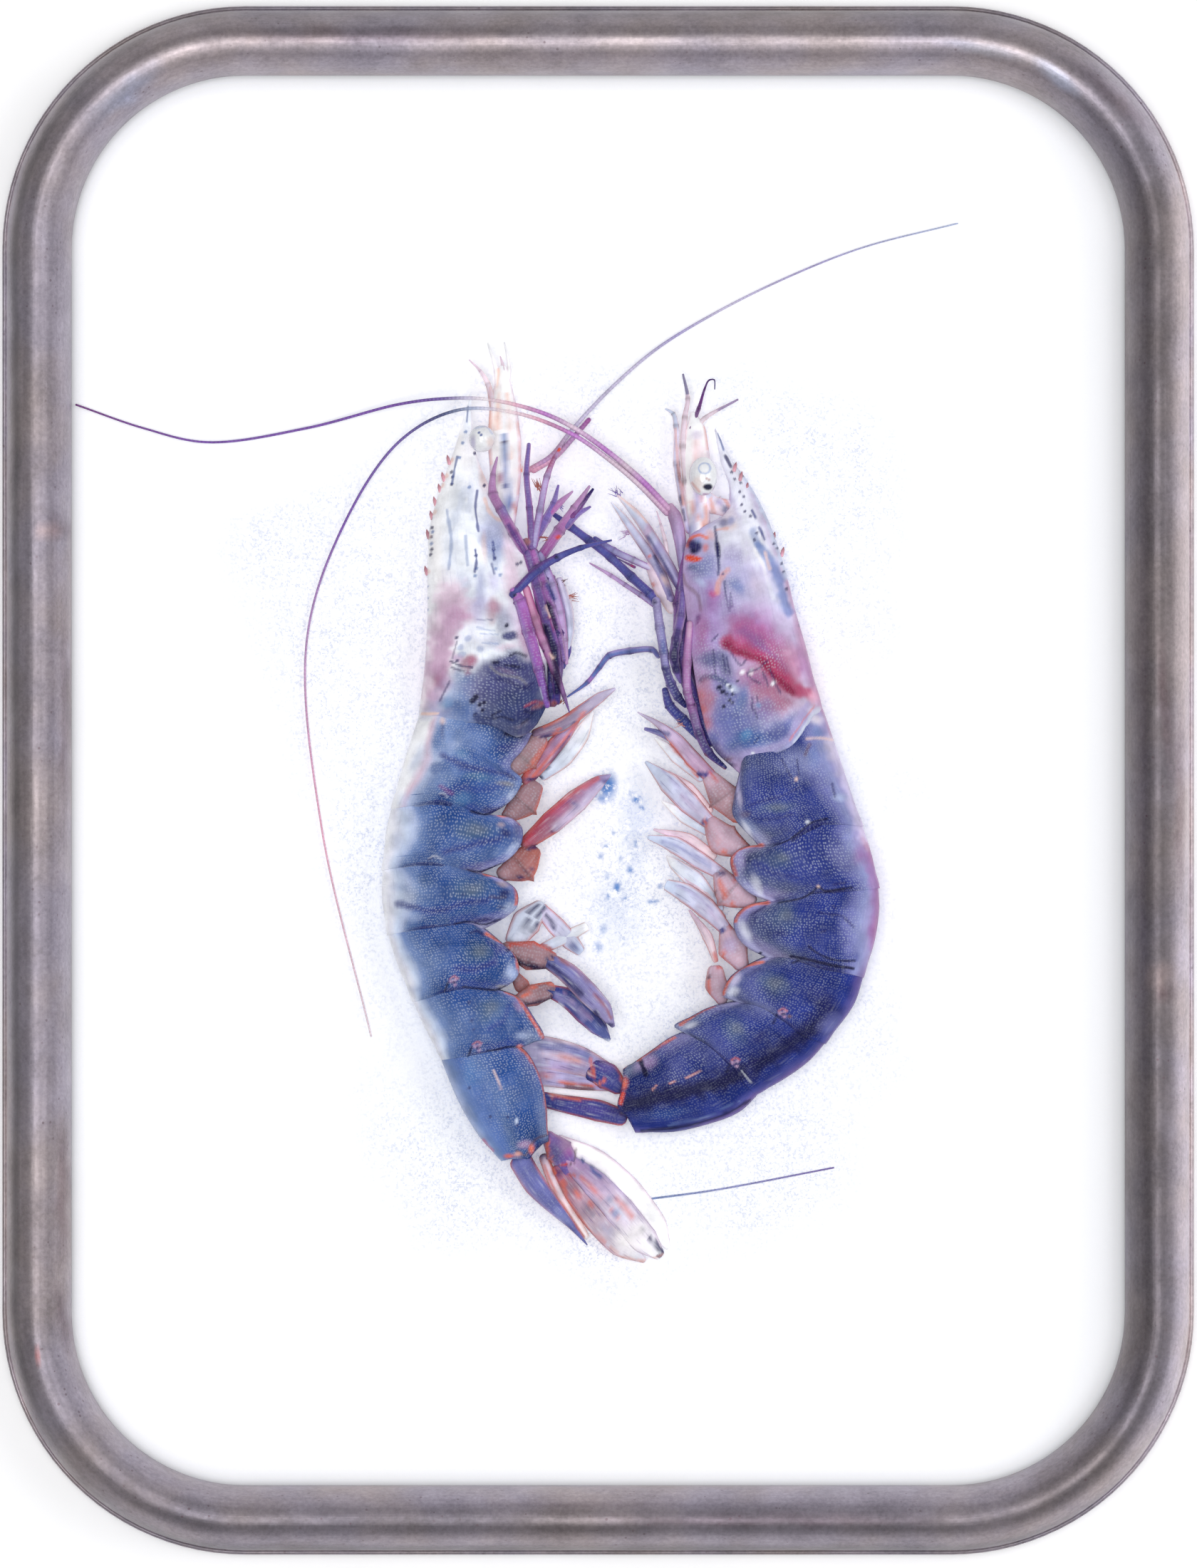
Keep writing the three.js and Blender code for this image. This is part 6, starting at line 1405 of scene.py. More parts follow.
RIGHT_HEAD_MARKS = [
    ("haze", 0.9, 22.6, 41.4, 6, 5.4, -20, 1),
    ("haze", 0.95, 3.4, [(20.6, 58.6), (22.8, 53), (24.6, 47.6), (26.6, 42.4), (28, 38)]),
    ("ice", 0.85, 1.4, [(21.6, 59), (25, 52.5), (28.2, 46.4), (30.4, 40.6), (32.2, 35)]),
    ("cornflower", 0.45, 1.2, [(26.4, 42.4), (27.2, 40)]),
    ("cornflower", 0.7, 1.6, [(27.4, 39.8), (29.4, 37), (30.6, 34.4), (31.6, 31), (32.4, 28.6)]),
    ("ivory", 0.6, 0.6, [(26.6, 39.4), (27.8, 37), (28.8, 34), (29.8, 31)]),
    ("peach", 0.6, 0.5, [(28.4, 38.8), (29.2, 36)]),
    ("skin", 0.8, 21.8, 45.4, 1.9, 2.8, 0, 1), ("peach", 0.4, 22.6, 43.2, 1.6, 0.9, 0, 1),
    ("ash", 0.75, 21.3, 44, 1, 0.9, 0),
    ("periwinkle", 0.7, 22.5, 44.2, 0.8, 1.1, 0), ("periwinkle", 0.9, 18, 36, 3.2, 2.6, 8),
    ("ash", 0.3, 18, 36, 3, 2, 8), ("lilac", 0.6, 22.8, 38.4, 2, 2.6, 0),
    ("periwinkle", 0.75, 23.6, 33.4, 1.6, 2.2, 30), ("cornflower", 0.4, 23.8, 33.2, 1, 1.6, 30),
    ("orchid", 0.6, 19.6, 31, 2, 3.6, 0),
    ("salmon", 0.8, 1, [(21.9, 35.8), (21.2, 34.8), (20.4, 33.6), (20.2, 32)]),
    ("raspberry", 0.7, 19.4, 31.6, 0.9, 0.9, 0),
    ("brown", 0.5, 0.6, [(14.4, 35), (15, 33.4), (17, 31.4), (17.4, 29)]),
    ("frost", 0.6, 17.4, 33.6, 1.6, 0.8, -30),
    ("ember", 1, 16.2, 37.8, 1.7, 0.75, 0, 0.4),
    ("coral", 0.9, 0.6, [(15.2, 40), (15.9, 41.3), (17.2, 41.8), (18.4, 41.3)]),
    ("navy", 0.95, 16.4, 40, 1.4, 1.4, 20, 0.5), ("powder", 0.6, 17, 40.9, 0.8, 0.5, 0),
    ("ink", 0.9, 16.2, 39.1, 0.8, 0.5, 20),
    ("coral", 0.6, 18.2, 39.6, 0.6, 0.9, 0), ("slate", 0.6, 16, 36.2, 1.4, 0.7, 0),
    ("salmon", 0.5, 19, 41.6, 1, 1.2, 0),
    ("ink", 0.9, 0.7, [(20.3, 40.3), (20.4, 38.2)]),
    *lines("navy", 0.8, 0.4, [(19.9, 43.2), (20.2, 40.4), (20.5, 36.4), (20.4, 35)],
                                                          [(21.5, 33.8), (21.8, 31), (22.4, 28.8)],
                                                          [(22.5, 31.8), (22.7, 29.6)]),
    ("navy", 0.85, 0.5, [(21.7, 55.4), (22.6, 53.6)]), ("mid_blue", 0.7, 0.4, [(20.5, 59.2), (21.4, 56.4)]),
    *lines("deep_blue", 0.8, 0.5, [(26.2, 46), (26.8, 44.8)], [(27.5, 43), (28.3, 41.1)]),
    *specks("navy", 0.8, 0.35, (22.8, 52.6), (23.3, 51.4), (24.3, 50.7), (24.1, 49.2), (24.8, 48.4),
            (24.4, 47), (25, 45.8),
            (26, 45), (27, 42.2), (26.6, 41), (29.9, 40.3), (30.5, 39.6), (31.3, 37), (31.6, 35.6),
            (32.1, 32.6), (34, 28.4),
            (34.3, 26.4), (21.3, 35.2), (24.8, 52), (15.4, 44), (16.8, 26.8)),
    ("salmon", 0.6, 0.5, [(20.3, 42.7), (22, 42.9)]),
    ("navy", 0.85, 17, 27.6, 0.7, 0.9, -20), ("orchid", 0.6, 18, 25, 3, 5, 0, 1),
    ("rosewood", 0.4, 17.6, 25.4, 1.6, 4, 0, 1),
    ("periwinkle", 0.4, 25, 34, 6, 4.4, -30, 1), ("petal", 0.5, 28, 33, 2.4, 3.4, 15, 1),
    ("lilac", 0.5, 22.2, 30, 2, 2.6, 0, 1), ("ice", 0.45, 29.4, 32, 2, 5, 20, 1),
    ("orchid", 0.9, 27, 24.6, 7, 5.6, -30, 1), ("plum", 0.2, 24.4, 26, 3, 2.4, 0, 1),
    ("raspberry", 0.5, 30.6, 20.8, 7, 4.2, -52, 1), ("rosewood", 0.7, 29, 15.4, 8, 4.6, -25, 1),
    ("raspberry", 0.45, 24, 25.4, 3.6, 2.6, -20, 1), ("grape", 0.3, 24, 27, 4, 3, -20, 1),
    ("thistle", 0.6, 35.4, 21, 1.2, 6, 15, 1), ("pink", 0.5, 33.4, 20.4, 2, 3.4, 10, 1),
    ("berry", 0.5, 4.6, [(25, 25.6), (27.4, 23.6), (29.4, 21.2), (31.4, 18.8)]),
    ("orchid", 0.5, 34.6, 20, 1.8, 4.6, 18, 1),
    ("grape", 0.4, 2.4, [(24.8, 24.8), (27, 23), (29, 21), (31, 18.8)]),
    ("cherry", 0.3, 3, [(30.6, 19), (32, 17.4), (33.6, 16)]),
    ("raspberry", 0.6, 24.4, 23.6, 2.6, 1.2, -15),
    ("brick", 0.35, 26.6, 18.2, 3, 2.6, -20, 1), ("orchid", 0.5, 27, 17.4, 3, 2, -20, 1),
    ("rosewood", 0.7, 29.4, 15, 4, 2.8, -25, 1), ("rosewood", 0.6, 31.6, 13.4, 2.4, 1.4, 0, 1),
    ("berry", 0.6, 24, 21.4, 2.2, 1.4, -30), ("grape", 0.3, 27, 22.6, 3, 1.6, -35, 1),
    ("cherry", 0.8, 2.2, [(21.8, 23.6), (23, 22.8), (24.8, 22), (26.6, 21.4), (28.4, 20.2), (30, 18.6),
                          (31.6, 17), (33.2, 15.8), (35.6, 14.9)]),
    ("wine", 0.85, 1.1, [(21.8, 23.2), (23.4, 22), (25.6, 21.3), (27.6, 20.4), (29.4, 18.4), (31.2, 16.6),
                         (33, 15)]),
    *specks("skin", 0.8, 0.6, (26, 18.2), (29.8, 16.6), (24.6, 18.4)), ("grape", 0.6, 28.4, 12, 3, 2, 0, 1),
    ("hyacinth", 0.85, 24, 9.6, 7, 4, 15, 1), ("cornflower", 0.7, 28, 6.4, 9, 3.4, 8, 1),
    ("hyacinth", 0.85, 32, 9, 4, 3, 30, 1),
    ("lilac", 0.7, 1.3, [(24.4, 4.5), (28.8, 5.3), (32, 6.7), (34, 9.1), (35.4, 11)]),
    ("hyacinth", 0.8, 22.4, 14.4, 4.4, 4.6, 0, 1), ("ash", 0.95, 19.2, 20.4, 3, 1.8, 0),
    ("slate", 0.6, 21.6, 19.6, 1.4, 2.8, 12),
    ("slate", 0.8, 0.9, [(17.5, 17), (18.5, 17.6), (20.2, 17.4), (21.8, 16.4)]),
    ("coral", 0.5, 17.5, 14.6, 0.9, 1.2, 0), ("coral", 0.5, 17.7, 12, 0.9, 1.2, 0),
    ("brick", 0.95, 17, 13, 2.6, 5, -12, 1), ("thistle", 0.3, 17, 14.6, 1.4, 2.4, 0, 1),
    ("brick", 0.6, 18.4, 9.6, 1.6, 1.6, 0),
    ("hyacinth", 0.75, 22, 10.4, 3.2, 2.6, 35), ("ice", 0.7, 22.8, 15.6, 1.6, 0.9, 0),
    ("steel", 0.65, 24.4, 13.8, 1.3, 3, -10),
    ("ocean", 0.9, 25.6, 7, 4.6, 2.2, 12), ("cyan", 0.7, 25, 7.6, 1.6, 1, 60),
    ("deep_blue", 0.6, 30.2, 8, 3, 1.6, 25),
    ("hyacinth", 0.8, 19.6, 7, 1.8, 1.6, 0), ("midnight", 0.9, 20, 4.4, 3.6, 2.2, -35),
    ("ink", 0.9, 21.6, 2.7, 2.4, 0.7, -8),
    ("cyan", 0.6, 27.3, 12.9, 0.7, 0.6, 0), ("brown", 0.6, 22, 3.6, 1.6, 0.5, 10),
    ("pink", 0.6, 36.6, 14, 1.2, 1.6, 0),
    ("coral", 0.5, 0.3, [(36.8, 12.6), (35.3, 10.8), (34, 9), (32.6, 6.8)]),
    ("mist", 0.7, 1, [(37.4, 12), (36, 10.2), (34.8, 8.4), (33.6, 6.4)]),
    ("lilac", 0.6, 1, [(35.6, 13), (34.4, 11.2), (33, 8.6)]),
    ("coral", 0.8, 0.4, [(18.8, 3.9), (20, 2.5), (21.8, 1.4)]),
    *specks("ink", 0.95, 0.6, (20.6, 15.7), (21.1, 15)),
    *specks("ink", 0.9, 0.4, (21.8, 14.6), (22.8, 14.6), (22.3, 13.6),
                                                                 (22.8, 13.2), (21.4, 12.6), (23.7, 16.9),
                                                                 (22.4, 15.9)),
    *specks("white", 0.8, 0.4, (22.7, 15.3), (22, 16.2), (24.5, 18.4), (26.1, 18.9), (26.3, 4.6),
            (29.6, 16.4)),
    *lines("navy", 0.65, 0.32, [(21.2, 21.5), (21.7, 18.5)], [(21.8, 21), (22.4, 18.3)],
           [(19.5, 22.2), (20, 18)], [(19.4, 23.8), (20.4, 24.8)],
           [(22.5, 21.8), (24.3, 19.6), (25.1, 20.5)],
           [(28.8, 20.4), (27.3, 19.1), (25.4, 18.3), (25.7, 17.6), (27.6, 16.4)],
           [(28, 18.4), (29, 15.9)], [(29.2, 19), (30.2, 16.3), (31, 14.9)], [(26.7, 12), (27, 10.5)],
           [(26.2, 14), (26.2, 12)],
           [(26.5, 6.2), (27.3, 7.4)], [(26.9, 14.2), (27.2, 13.4)]),
]
RIGHT_TAIL_MARKS = [
    ("slate", 0.45, 28.6, 2, 3.4, 2.6, 0, 1), ("cornflower", 0.7, 36.4, 4, 1.4, 2.4, 10),
    ("frost", 0.6, 41.2, -3, 1.8, 0.9, 0),
    ("skin", 0.6, 40, 5.4, 1.6, 2.8, 15),
    ("pale_lilac", 0.8, 2.6, [(40.6, 6), (42, 2), (44, -4), (45.6, -9)]),
    ("orchid", 0.5, 2.2, [(46.4, -13), (47.6, -20), (47.4, -28)]), ("steel", 0.5, 37.5, 8.2, 1.8, 1, 0),
    ("skin", 0.7, 37, 10.4, 2, 1.2, 0),
    ("peach", 0.6, 0.4, [(35.4, 7.1), (38, 7.2), (40, 6.9)]),
    ("periwinkle", 0.7, 34.4, 3.2, 4.6, 3.4, 0, 1), ("brown", 0.5, 0.7, [(35.9, 6), (35.2, 4.4)]),
    *lines("navy", 0.7, 0.34, [(31.2, 3.6), (32.8, 0.5)], [(33.8, 3.5), (34.1, 0.8)]),
    ("peach", 0.9, 33.6, 0.3, 0.4, 0.45, 0),
    *fold((25.6, -4.3), (28, -3.5), (31, -2.7), (34.2, -1.2)), *cheek(30.4, -4.7, 4, 1.1, 5),
    ("brown", 0.35, 25, -5.8, 1.3, 0.8, 0), *fold((26.4, -6.5), (29.4, -6.6), (33, -5.8)),
    ("deep_blue", 0.5, 37.5, -5.2, 1.5, 0.8, 0),
    ("navy", 0.6, 0.34, [(39.8, -0.5), (40.3, -2.8)]), ("haze", 0.6, 25.4, -8.4, 0.6, 2.4, 32, 0.8),
    ("pale_lilac", 0.6, 24.1, -3, 0.6, 2.4, 8),
    *seam((38.9, -6.5), (36.2, -7.2), (34.6, -8.5), (32.4, -10.1), (29.8, -11.1)),
    ("white", 0.8, 35.5, -7, 0.5, 0.4, 0),
    ("lilac", 0.6, 24.2, -13.6, 1.2, 2.4, 0), ("navy", 0.6, 25.6, -13.7, 1, 0.6, 0),
    *cheek(31.2, -13.2, 3.7, 2.3, -10),
    ("deep_blue", 0.6, 1.6, [(32.4, -11.6), (34.6, -14.4), (36, -15.4)]),
    *fold((26.6, -14.1), (28.6, -15.3), (31, -16), (34, -16.5)),
    ("haze", 0.6, 27.1, -18, 1.1, 2.4, 25, 0.8), ("orchid", 0.5, 44.8, -13, 2, 2, 20, 1),
    ("deep_blue", 0.5, 38.6, -10.4, 3.4, 2.4, 0),
    *seam((43.2, -18.2), (41, -18.5), (38.6, -18.8), (37.4, -18.2), (36.2, -19.2), (34.6, -20),
          (30.6, -20.8)),
    ("ink", 0.8, 0.5, [(38.6, -18.9), (41.8, -18.5)]), ("peach", 0.8, 37.4, -18, 0.4, 0.3, 0),
    ("haze", 0.6, 25, -25.6, 1.1, 2.5, 28, 0.8),
    *cheek(31.8, -23.4, 3, 2.8, 0), ("navy", 0.5, 26.4, -23.4, 1, 1.2, 0),
    ("navy", 0.45, 31.2, -26, 2, 0.8, 0), ("deep_blue", 0.5, 39, -26.8, 4.4, 1.4, -5),
    *lines("navy", 0.7, 0.4, [(40, -17.7), (42, -17.4)], [(28.6, -21.3), (26, -22.9)],
           [(37.5, -22.4), (39.5, -22.8), (41.3, -23), (42.5, -24), (43.5, -25)],
           [(39.8, -21.3), (40.5, -21.8)], [(37.8, -25.8), (38.6, -25.6)]),
           ("magenta", 0.4, 46.6, -26, 1, 2, 0),
    *seam((35.8, -28.2), (37, -29.2), (38.8, -30.1), (40.5, -30.6), (43.6, -30.7)),
    ("ink", 0.95, 0.55, [(32.8, -29.9), (35, -30.3), (37.6, -30.9), (40, -31.5), (43.4, -32)]),
    ("ink", 0.8, 0.4, [(33, -31), (34, -30.7)]),
    *specks("ink", 0.9, 0.45, (27.6, -29.4)), ("khaki", 0.4, 27, -30.2, 1, 0.8, 0),
    ("pale_lilac", 0.7, 23.2, -34, 1, 1.8, -35),
    ("haze", 0.6, 22.9, -36, 1.3, 1, 0, 0.8), *cheek(29.6, -34.6, 3.2, 2.7, -30),
    ("navy", 0.3, 28.4, -35.8, 2, 0.8, -20), ("periwinkle", 0.3, 28, -38.6, 2.6, 1.4, -30, 1),
    ("navy", 0.45, 37.6, -37, 3.2, 2, -20), ("midnight", 0.7, 39.4, -38.6, 2.4, 2.4, 40, 1),
    ("brown", 0.8, 32.5, -40.2, 0.5, 0.4, 0),
    ("midnight", 0.75, 4, [(39, -39.6), (36.4, -42), (33, -44.6), (29, -47), (26, -49.3)]),
    ("ink", 0.6, 2, [(37.6, -41.4), (34, -43.9), (30.4, -46.4), (26.6, -49)]),
    ("bluebell", 0.8, 39.4, -41.6, 2.6, 2, 40, 1), ("violet", 0.6, 44.6, -34.6, 1.6, 5, -20, 1),
    *hinge(31.4, -39.7, -1),
    ("midnight", 0.85, 3.4, [(25, -49.4), (19.6, -51.6), (12, -53.4), (4.4, -55.2)]),
    ("ink", 0.7, 1.9, [(24.6, -49.8), (19.6, -51.8), (12, -53.6), (5, -55.3)]),
    *hinge(23.4, -48.1, -1), ("white", 0.4, 0.26, [(24.4, -49.4), (26, -51.4)]),
    ("haze", 0.6, 15.8, -41.7, 1.6, 0.6, 30, 0.8), *cheek(23.4, -42.4, 3, 2.2, -60),
    ("navy", 0.5, 27.6, -43.6, 2, 1.2, 40), ("mauve", 0.5, 8, -48, 2.6, 1.6, 40),
    ("ink", 0.95, 0.9, [(7.3, -48), (8.1, -50)]),
    *lines("salmon", 0.8, 0.26, [(15, -50.7), (17.4, -49.3)], [(12.2, -51.6), (13, -51.1)],
           [(9.2, -52.7), (10, -51.9)]),
    ("deep_blue", 0.7, 16, -56.6, 8, 1.8, 15), ("ocean", 0.4, 12, -56.8, 5, 1.2, 10, 1),
    ("ink", 0.8, 0.5, [(26, -54.5), (21, -57.1), (15, -58.9), (7.4, -59.8)]),
    ("powder", 0.4, 0.3, [(24, -54.6), (19, -57), (12, -58.8)]), ("coral", 0.8, 4.6, -51.6, 0.8, 1.6, 0),
    ("ember", 0.8, 0.7, [(4.2, -53.4), (3.8, -55)]),
    *rim((28, -11), (25, -11.3), (23.2, -12.2), (22.7, -13.6), (23.4, -16.2)),
    *rim((29, -20.8), (26, -21.2), (24.2, -22.4), (23.3, -24)),
    *rim((28, -30.9), (25, -31.6), (22.8, -33.2), (21.2, -36.4)),
    *rim((19.6, -38.2), (17, -39.5), (14, -41.6)),
    *rim((13, -43.7), (9.6, -45.6), (6.6, -47.6)),
]




LEFT_LIMB_MARKS = [
    ("crimson", 0.6, -8, 54.4, 0.7, 2.4, -22),
    *specks("ember", 0.9, 0.5, (-6.7, 56.3), (-6.6, 41.5), (-7, 41.3)),
    ("indigo", 0.7, 0.9, [(-15.2, 43.4), (-13.6, 40.6), (-12.6, 39)]),
    ("cyan", 0.6, 0.6, [(-4.6, 42.6), (-7.8, 38.6)]),
    ("salmon", 0.8, 0.8, [(-14.4, 47), (-13, 44), (-12, 40.6)]),
    ("peach", 0.7, 0.6, [(-13, 47), (-12.2, 43)]),
    ("mid_blue", 0.6, -15, 48, 1.1, 2.2, 0, 0.9), ("crimson", 0.6, -16.8, 51.5, 0.35, 1.2, 0),
    ("powder", 0.5, -15.2, 50.6, 1, 1.4, 0),
    ("white", 0.8, 0.5, [(-16.6, 68), (-16.4, 60), (-16.4, 53)]),
    ("powder", 0.8, 0.5, [(-16, 59), (-15.7, 55), (-15.5, 50.6)]),
    *lines("peach", 0.8, 0.55, [(-17, 70), (-17.2, 64), (-17, 60)], [(-15.7, 66), (-15.3, 60), (-15, 55)],
           [(-18.6, 63), (-18.4, 60)]),
    *lines("salmon", 0.55, 0.5, [(-18.5, 67), (-18.6, 60), (-18.2, 54)],
           [(-13.7, 61), (-13.5, 55), (-13.7, 49)]), ("paper", 0.7, -14.4, 57, 0.8, 6, 0, 1),
           ("cornflower", 0.7, -15.2, 47.2, 1.6, 3, 0, 1), ("periwinkle", 0.5, -16, 52.4, 1, 4.8, 0, 1),
           ("peach", 0.6, -17.8, 61, 0.8, 2.2, 0), ("petal", 0.6, -18.4, 66, 0.5, 2, 15),
    ("deep_blue", 0.8, -15.9, 50.2, 0.7, 0.6, 0),
    *specks("navy", 0.9, 0.36, (-16.4, 52.6), (-16.3, 51.9), (-16.3, 50.4), (-16.1, 57.6)),
    ("lilac", 0.5, 0.5, [(-14.2, 30.6), (-12.4, 24.6), (-11, 19)]),
    ("magenta", 0.5, 0.7, [(-12.6, 29), (-11.2, 24), (-10, 19.6)]),
    ("ink", 0.9, 1.2, [(-9, 26.2), (-8, 23.6), (-7.3, 21), (-7, 17.6), (-7, 15)]),
    ("ink", 0.85, 0.9, [(-8.5, 30), (-7.7, 28), (-7.1, 26)]),
    ("deep_blue", 0.85, 0.7, [(-8.6, 33.2), (-7.5, 31)]),
    *specks("ink", 0.9, 0.4, (-9.4, 22), (-8.8, 26.2), (-8.4, 29.8)),
    ("ink", 0.8, 0.8, [(-9, 19.6), (-8.6, 16.6), (-8.4, 14)]),
    ("ice", 0.8, 0.35, [(-10, 15.6), (-9.5, 13.8)]),
    ("crimson", 0.4, 0.4, [(-8.4, 28), (-7.6, 25.6)]),
    *lines("peach", 0.8, 0.35, [(-8.9, 29.6), (-8.2, 27.8)], [(-8.2, 21.4), (-7.6, 20.8)]),
    ("rust", 0.8, -7.6, 13, 0.8, 0.8, 0), ("plum", 0.6, 0.4, [(-14, 32.8), (-10.6, 36.2), (-7.4, 38.2)]),
    ("deep_blue", 0.5, 0.8, [(-13, 32.8), (-9, 35.8), (-6, 37.6), (-2, 39.6)]),
    *specks("ink", 0.9, 0.45, (-14.2, 31.6), (-7.1, 38)),
]
LEFT_SWIM_MARKS = [
    ("khaki", 0.35, -12.8, 3.4, 1.8, 2.8, -35, 1),
    *lines("navy", 0.85, 0.6, [(-11.9, 0.1), (-9.6, 0.5)], [(-9.6, 7.4), (-7.6, 7.6)]),
    *lines("navy", 0.6, 0.35, [(-7.4, 7.8), (-4, 10)], [(-9, 1.4), (-6.6, 5), (-4.8, 7.6)],
           [(-8, -9), (-5.4, -6.4)]),
    *lines("coral", 0.65, 0.5, [(-12.4, 0.8), (-9.8, 4.8), (-6.6, 8.8)],
           [(-11, 0.6), (-8.4, 4), (-4.6, 8.4), (-2.4, 11.6)],
           [(-9.4, 9), (-5, 11.4), (-1.4, 14.6)]),
    ("ember", 0.6, 0.8, [(-12.6, -10.4), (-8.6, -5.8), (-4, -2.2), (0, 0.4)]),
    ("cherry", 0.45, 1.6, [(-12, -10.2), (-8.8, -6.6), (-5.6, -4)]),
    ("pale_lilac", 0.7, 1.6, [(-7, -8.2), (-3, -4.6), (0.6, -1)]),
    ("deep_blue", 0.6, -3.9, -4.1, 0.7, 0.5, 0), ("deep_blue", 0.6, 1.5, -0.2, 1.2, 0.7, 0),
    ("deep_blue", 0.7, -4.2, -28.6, 1.5, 0.9, -30),
    *lines("navy", 0.85, 0.6, [(-11.9, -11.6), (-10.4, -11.2)], [(-13.5, -16.8), (-11.4, -15)],
           [(-12.8, -25.8), (-11.6, -23.8)],
           [(-11.6, -25.8), (-10.4, -24.4)], [(-11.8, -22.6), (-10.2, -21.4)],
           [(-10.4, -23.2), (-9.2, -21.6)],
           [(-8.8, -23), (-7.4, -25.2)]),
    ("ember", 0.75, 0.6, [(-15, -28), (-12.4, -27.7), (-9.6, -28), (-7.4, -29.2)]),
    ("ink", 0.95, 1.2, [(-13.6, -30.9), (-11.6, -31.6), (-9.4, -32.3)]),
    *specks("navy", 0.9, 0.5, (-8.8, -30.6), (-8, -30.2), (-8.4, -31.3)),
    ("navy", 0.85, 1, [(-7.6, -31.6), (-5.4, -34), (-3, -36.2)]),
    ("rust", 0.7, 0.5, [(-6.6, -30.2), (-3.4, -33), (-0.4, -36.4), (2.2, -40.4)]),
    ("midnight", 0.85, 0.8, [(-0.6, -39.6), (1, -41.6), (2.4, -41.6)]),
    ("coral", 0.9, 0.5, [(-13, -37), (-11, -35.2), (-9.4, -34.4), (-7.2, -34.9)]),
    *lines("ink", 0.9, 0.6, [(-12.2, -38), (-10, -37.8), (-8, -37.1)],
           [(-11.6, -39), (-9.6, -38.4), (-8.2, -37.9)]),
    *specks("navy", 0.85, 0.4, (-8.4, -36), (-7.6, -35.6), (-7.8, -36.6)),
    ("mist", 0.8, 0.6, [(-6.6, -38.2), (-3.6, -41.6), (-0.6, -44.2), (2, -44.4)]),
    ("lilac", 0.6, 1.3, [(-7, -36.8), (-4.6, -38), (-2.4, -40.4)]),
    ("thistle", 0.5, 0.5, [(-6, -36.2), (-3.4, -38), (-1, -40.6)]),
]
LEFT_FAN_MARKS = [
    ("navy", 0.9, -10.2, -64, 1.8, 1.6, 0),
    ("lilac", 0.6, 0.6, [(-14.6, -65.8), (-12.2, -69.6), (-9, -73), (-6, -75.6)]),
    ("periwinkle", 0.5, -6, -74.6, 1.2, 2, 45),
    ("thistle", 0.5, -5.4, -62.4, 1.6, 1.8, 0), ("magenta", 0.6, -4.8, -63.4, 0.9, 1.4, 0),
    ("slate", 0.6, -7.2, -63.8, 1.2, 2, 20), ("navy", 0.7, -6.8, -66.8, 1.4, 1, 0),
    *rim((-8.5, -61), (-8.7, -63), (-8, -65.4), (-7.4, -67)), ("ember", 0.85, -5.8, -65.5, 0.9, 0.35, 5),
    ("umber", 0.85, -4.6, -65.4, 0.9, 0.3, 20),
    ("umber", 0.7, 0.4, [(-3.9, -63), (-3.9, -64.6)]), ("dusk", 0.8, -4.2, -69.6, 2.4, 1.5, -40),
    ("rust", 0.4, 0.7, [(-6.3, -69), (-4, -72)]),
    *lines("coral", 0.65, 0.4, [(-5, -67.2), (-2.5, -68), (-1, -69.5), (1.5, -72), (4, -76)],
           [(-6.2, -68.2), (-3, -71), (0, -73.3), (2, -76)],
           [(-6.4, -68.4), (-4.4, -73), (-2, -76), (1, -79)], [(3, -71), (6, -74.5)],
           [(-9, -65.6), (-8.2, -68), (-7, -71), (-4.6, -74.6), (-2.4, -78)]),
    ("salmon", 0.5, 0.4, [(2, -79.8), (5, -82), (8, -82.4)]),
    ("slate", 0.6, 0.7, [(-2.6, -72.6), (-1, -74.4)]), ("violet", 0.4, -1.4, -66.6, 3.6, 1.5, -45, 1),
    ("amethyst", 0.2, 1, -69.4, 2.6, 1.2, -45, 1), ("ice", 0.6, 4, -73.4, 2.6, 1, -45, 1),
    ("powder", 0.85, 2.9, -73.8, 0.9, 0.8, -30), ("powder", 0.6, 1.8, -71.6, 0.8, 0.5, -30),
    *lines("mid_blue", 0.9, 0.5, [(-2.9, -64.3), (-2.6, -65.1)], [(-1.2, -66), (-0.4, -67)],
           [(0, -67.3), (1, -68.5)], [(1.2, -68.8), (2.4, -70)]),
    *lines("navy", 0.9, 0.6, [(8.8, -78), (9.8, -79), (10.5, -80), (11.3, -80.6)],
           [(10.2, -81.3), (10.7, -81.2)], [(7.4, -76.4), (8.3, -77)]),
    ("ivory", 0.85, 4.6, -79, 3.4, 2, -45, 1), ("ivory", 0.7, 7, -77, 2, 3, -45, 1),
    ("powder", 0.4, 1.4, -76.6, 2, 1, -45, 1),
    ("salmon", 0.5, 0.4, [(4, -81.4), (7.8, -82), (11.7, -80.8)]),
]
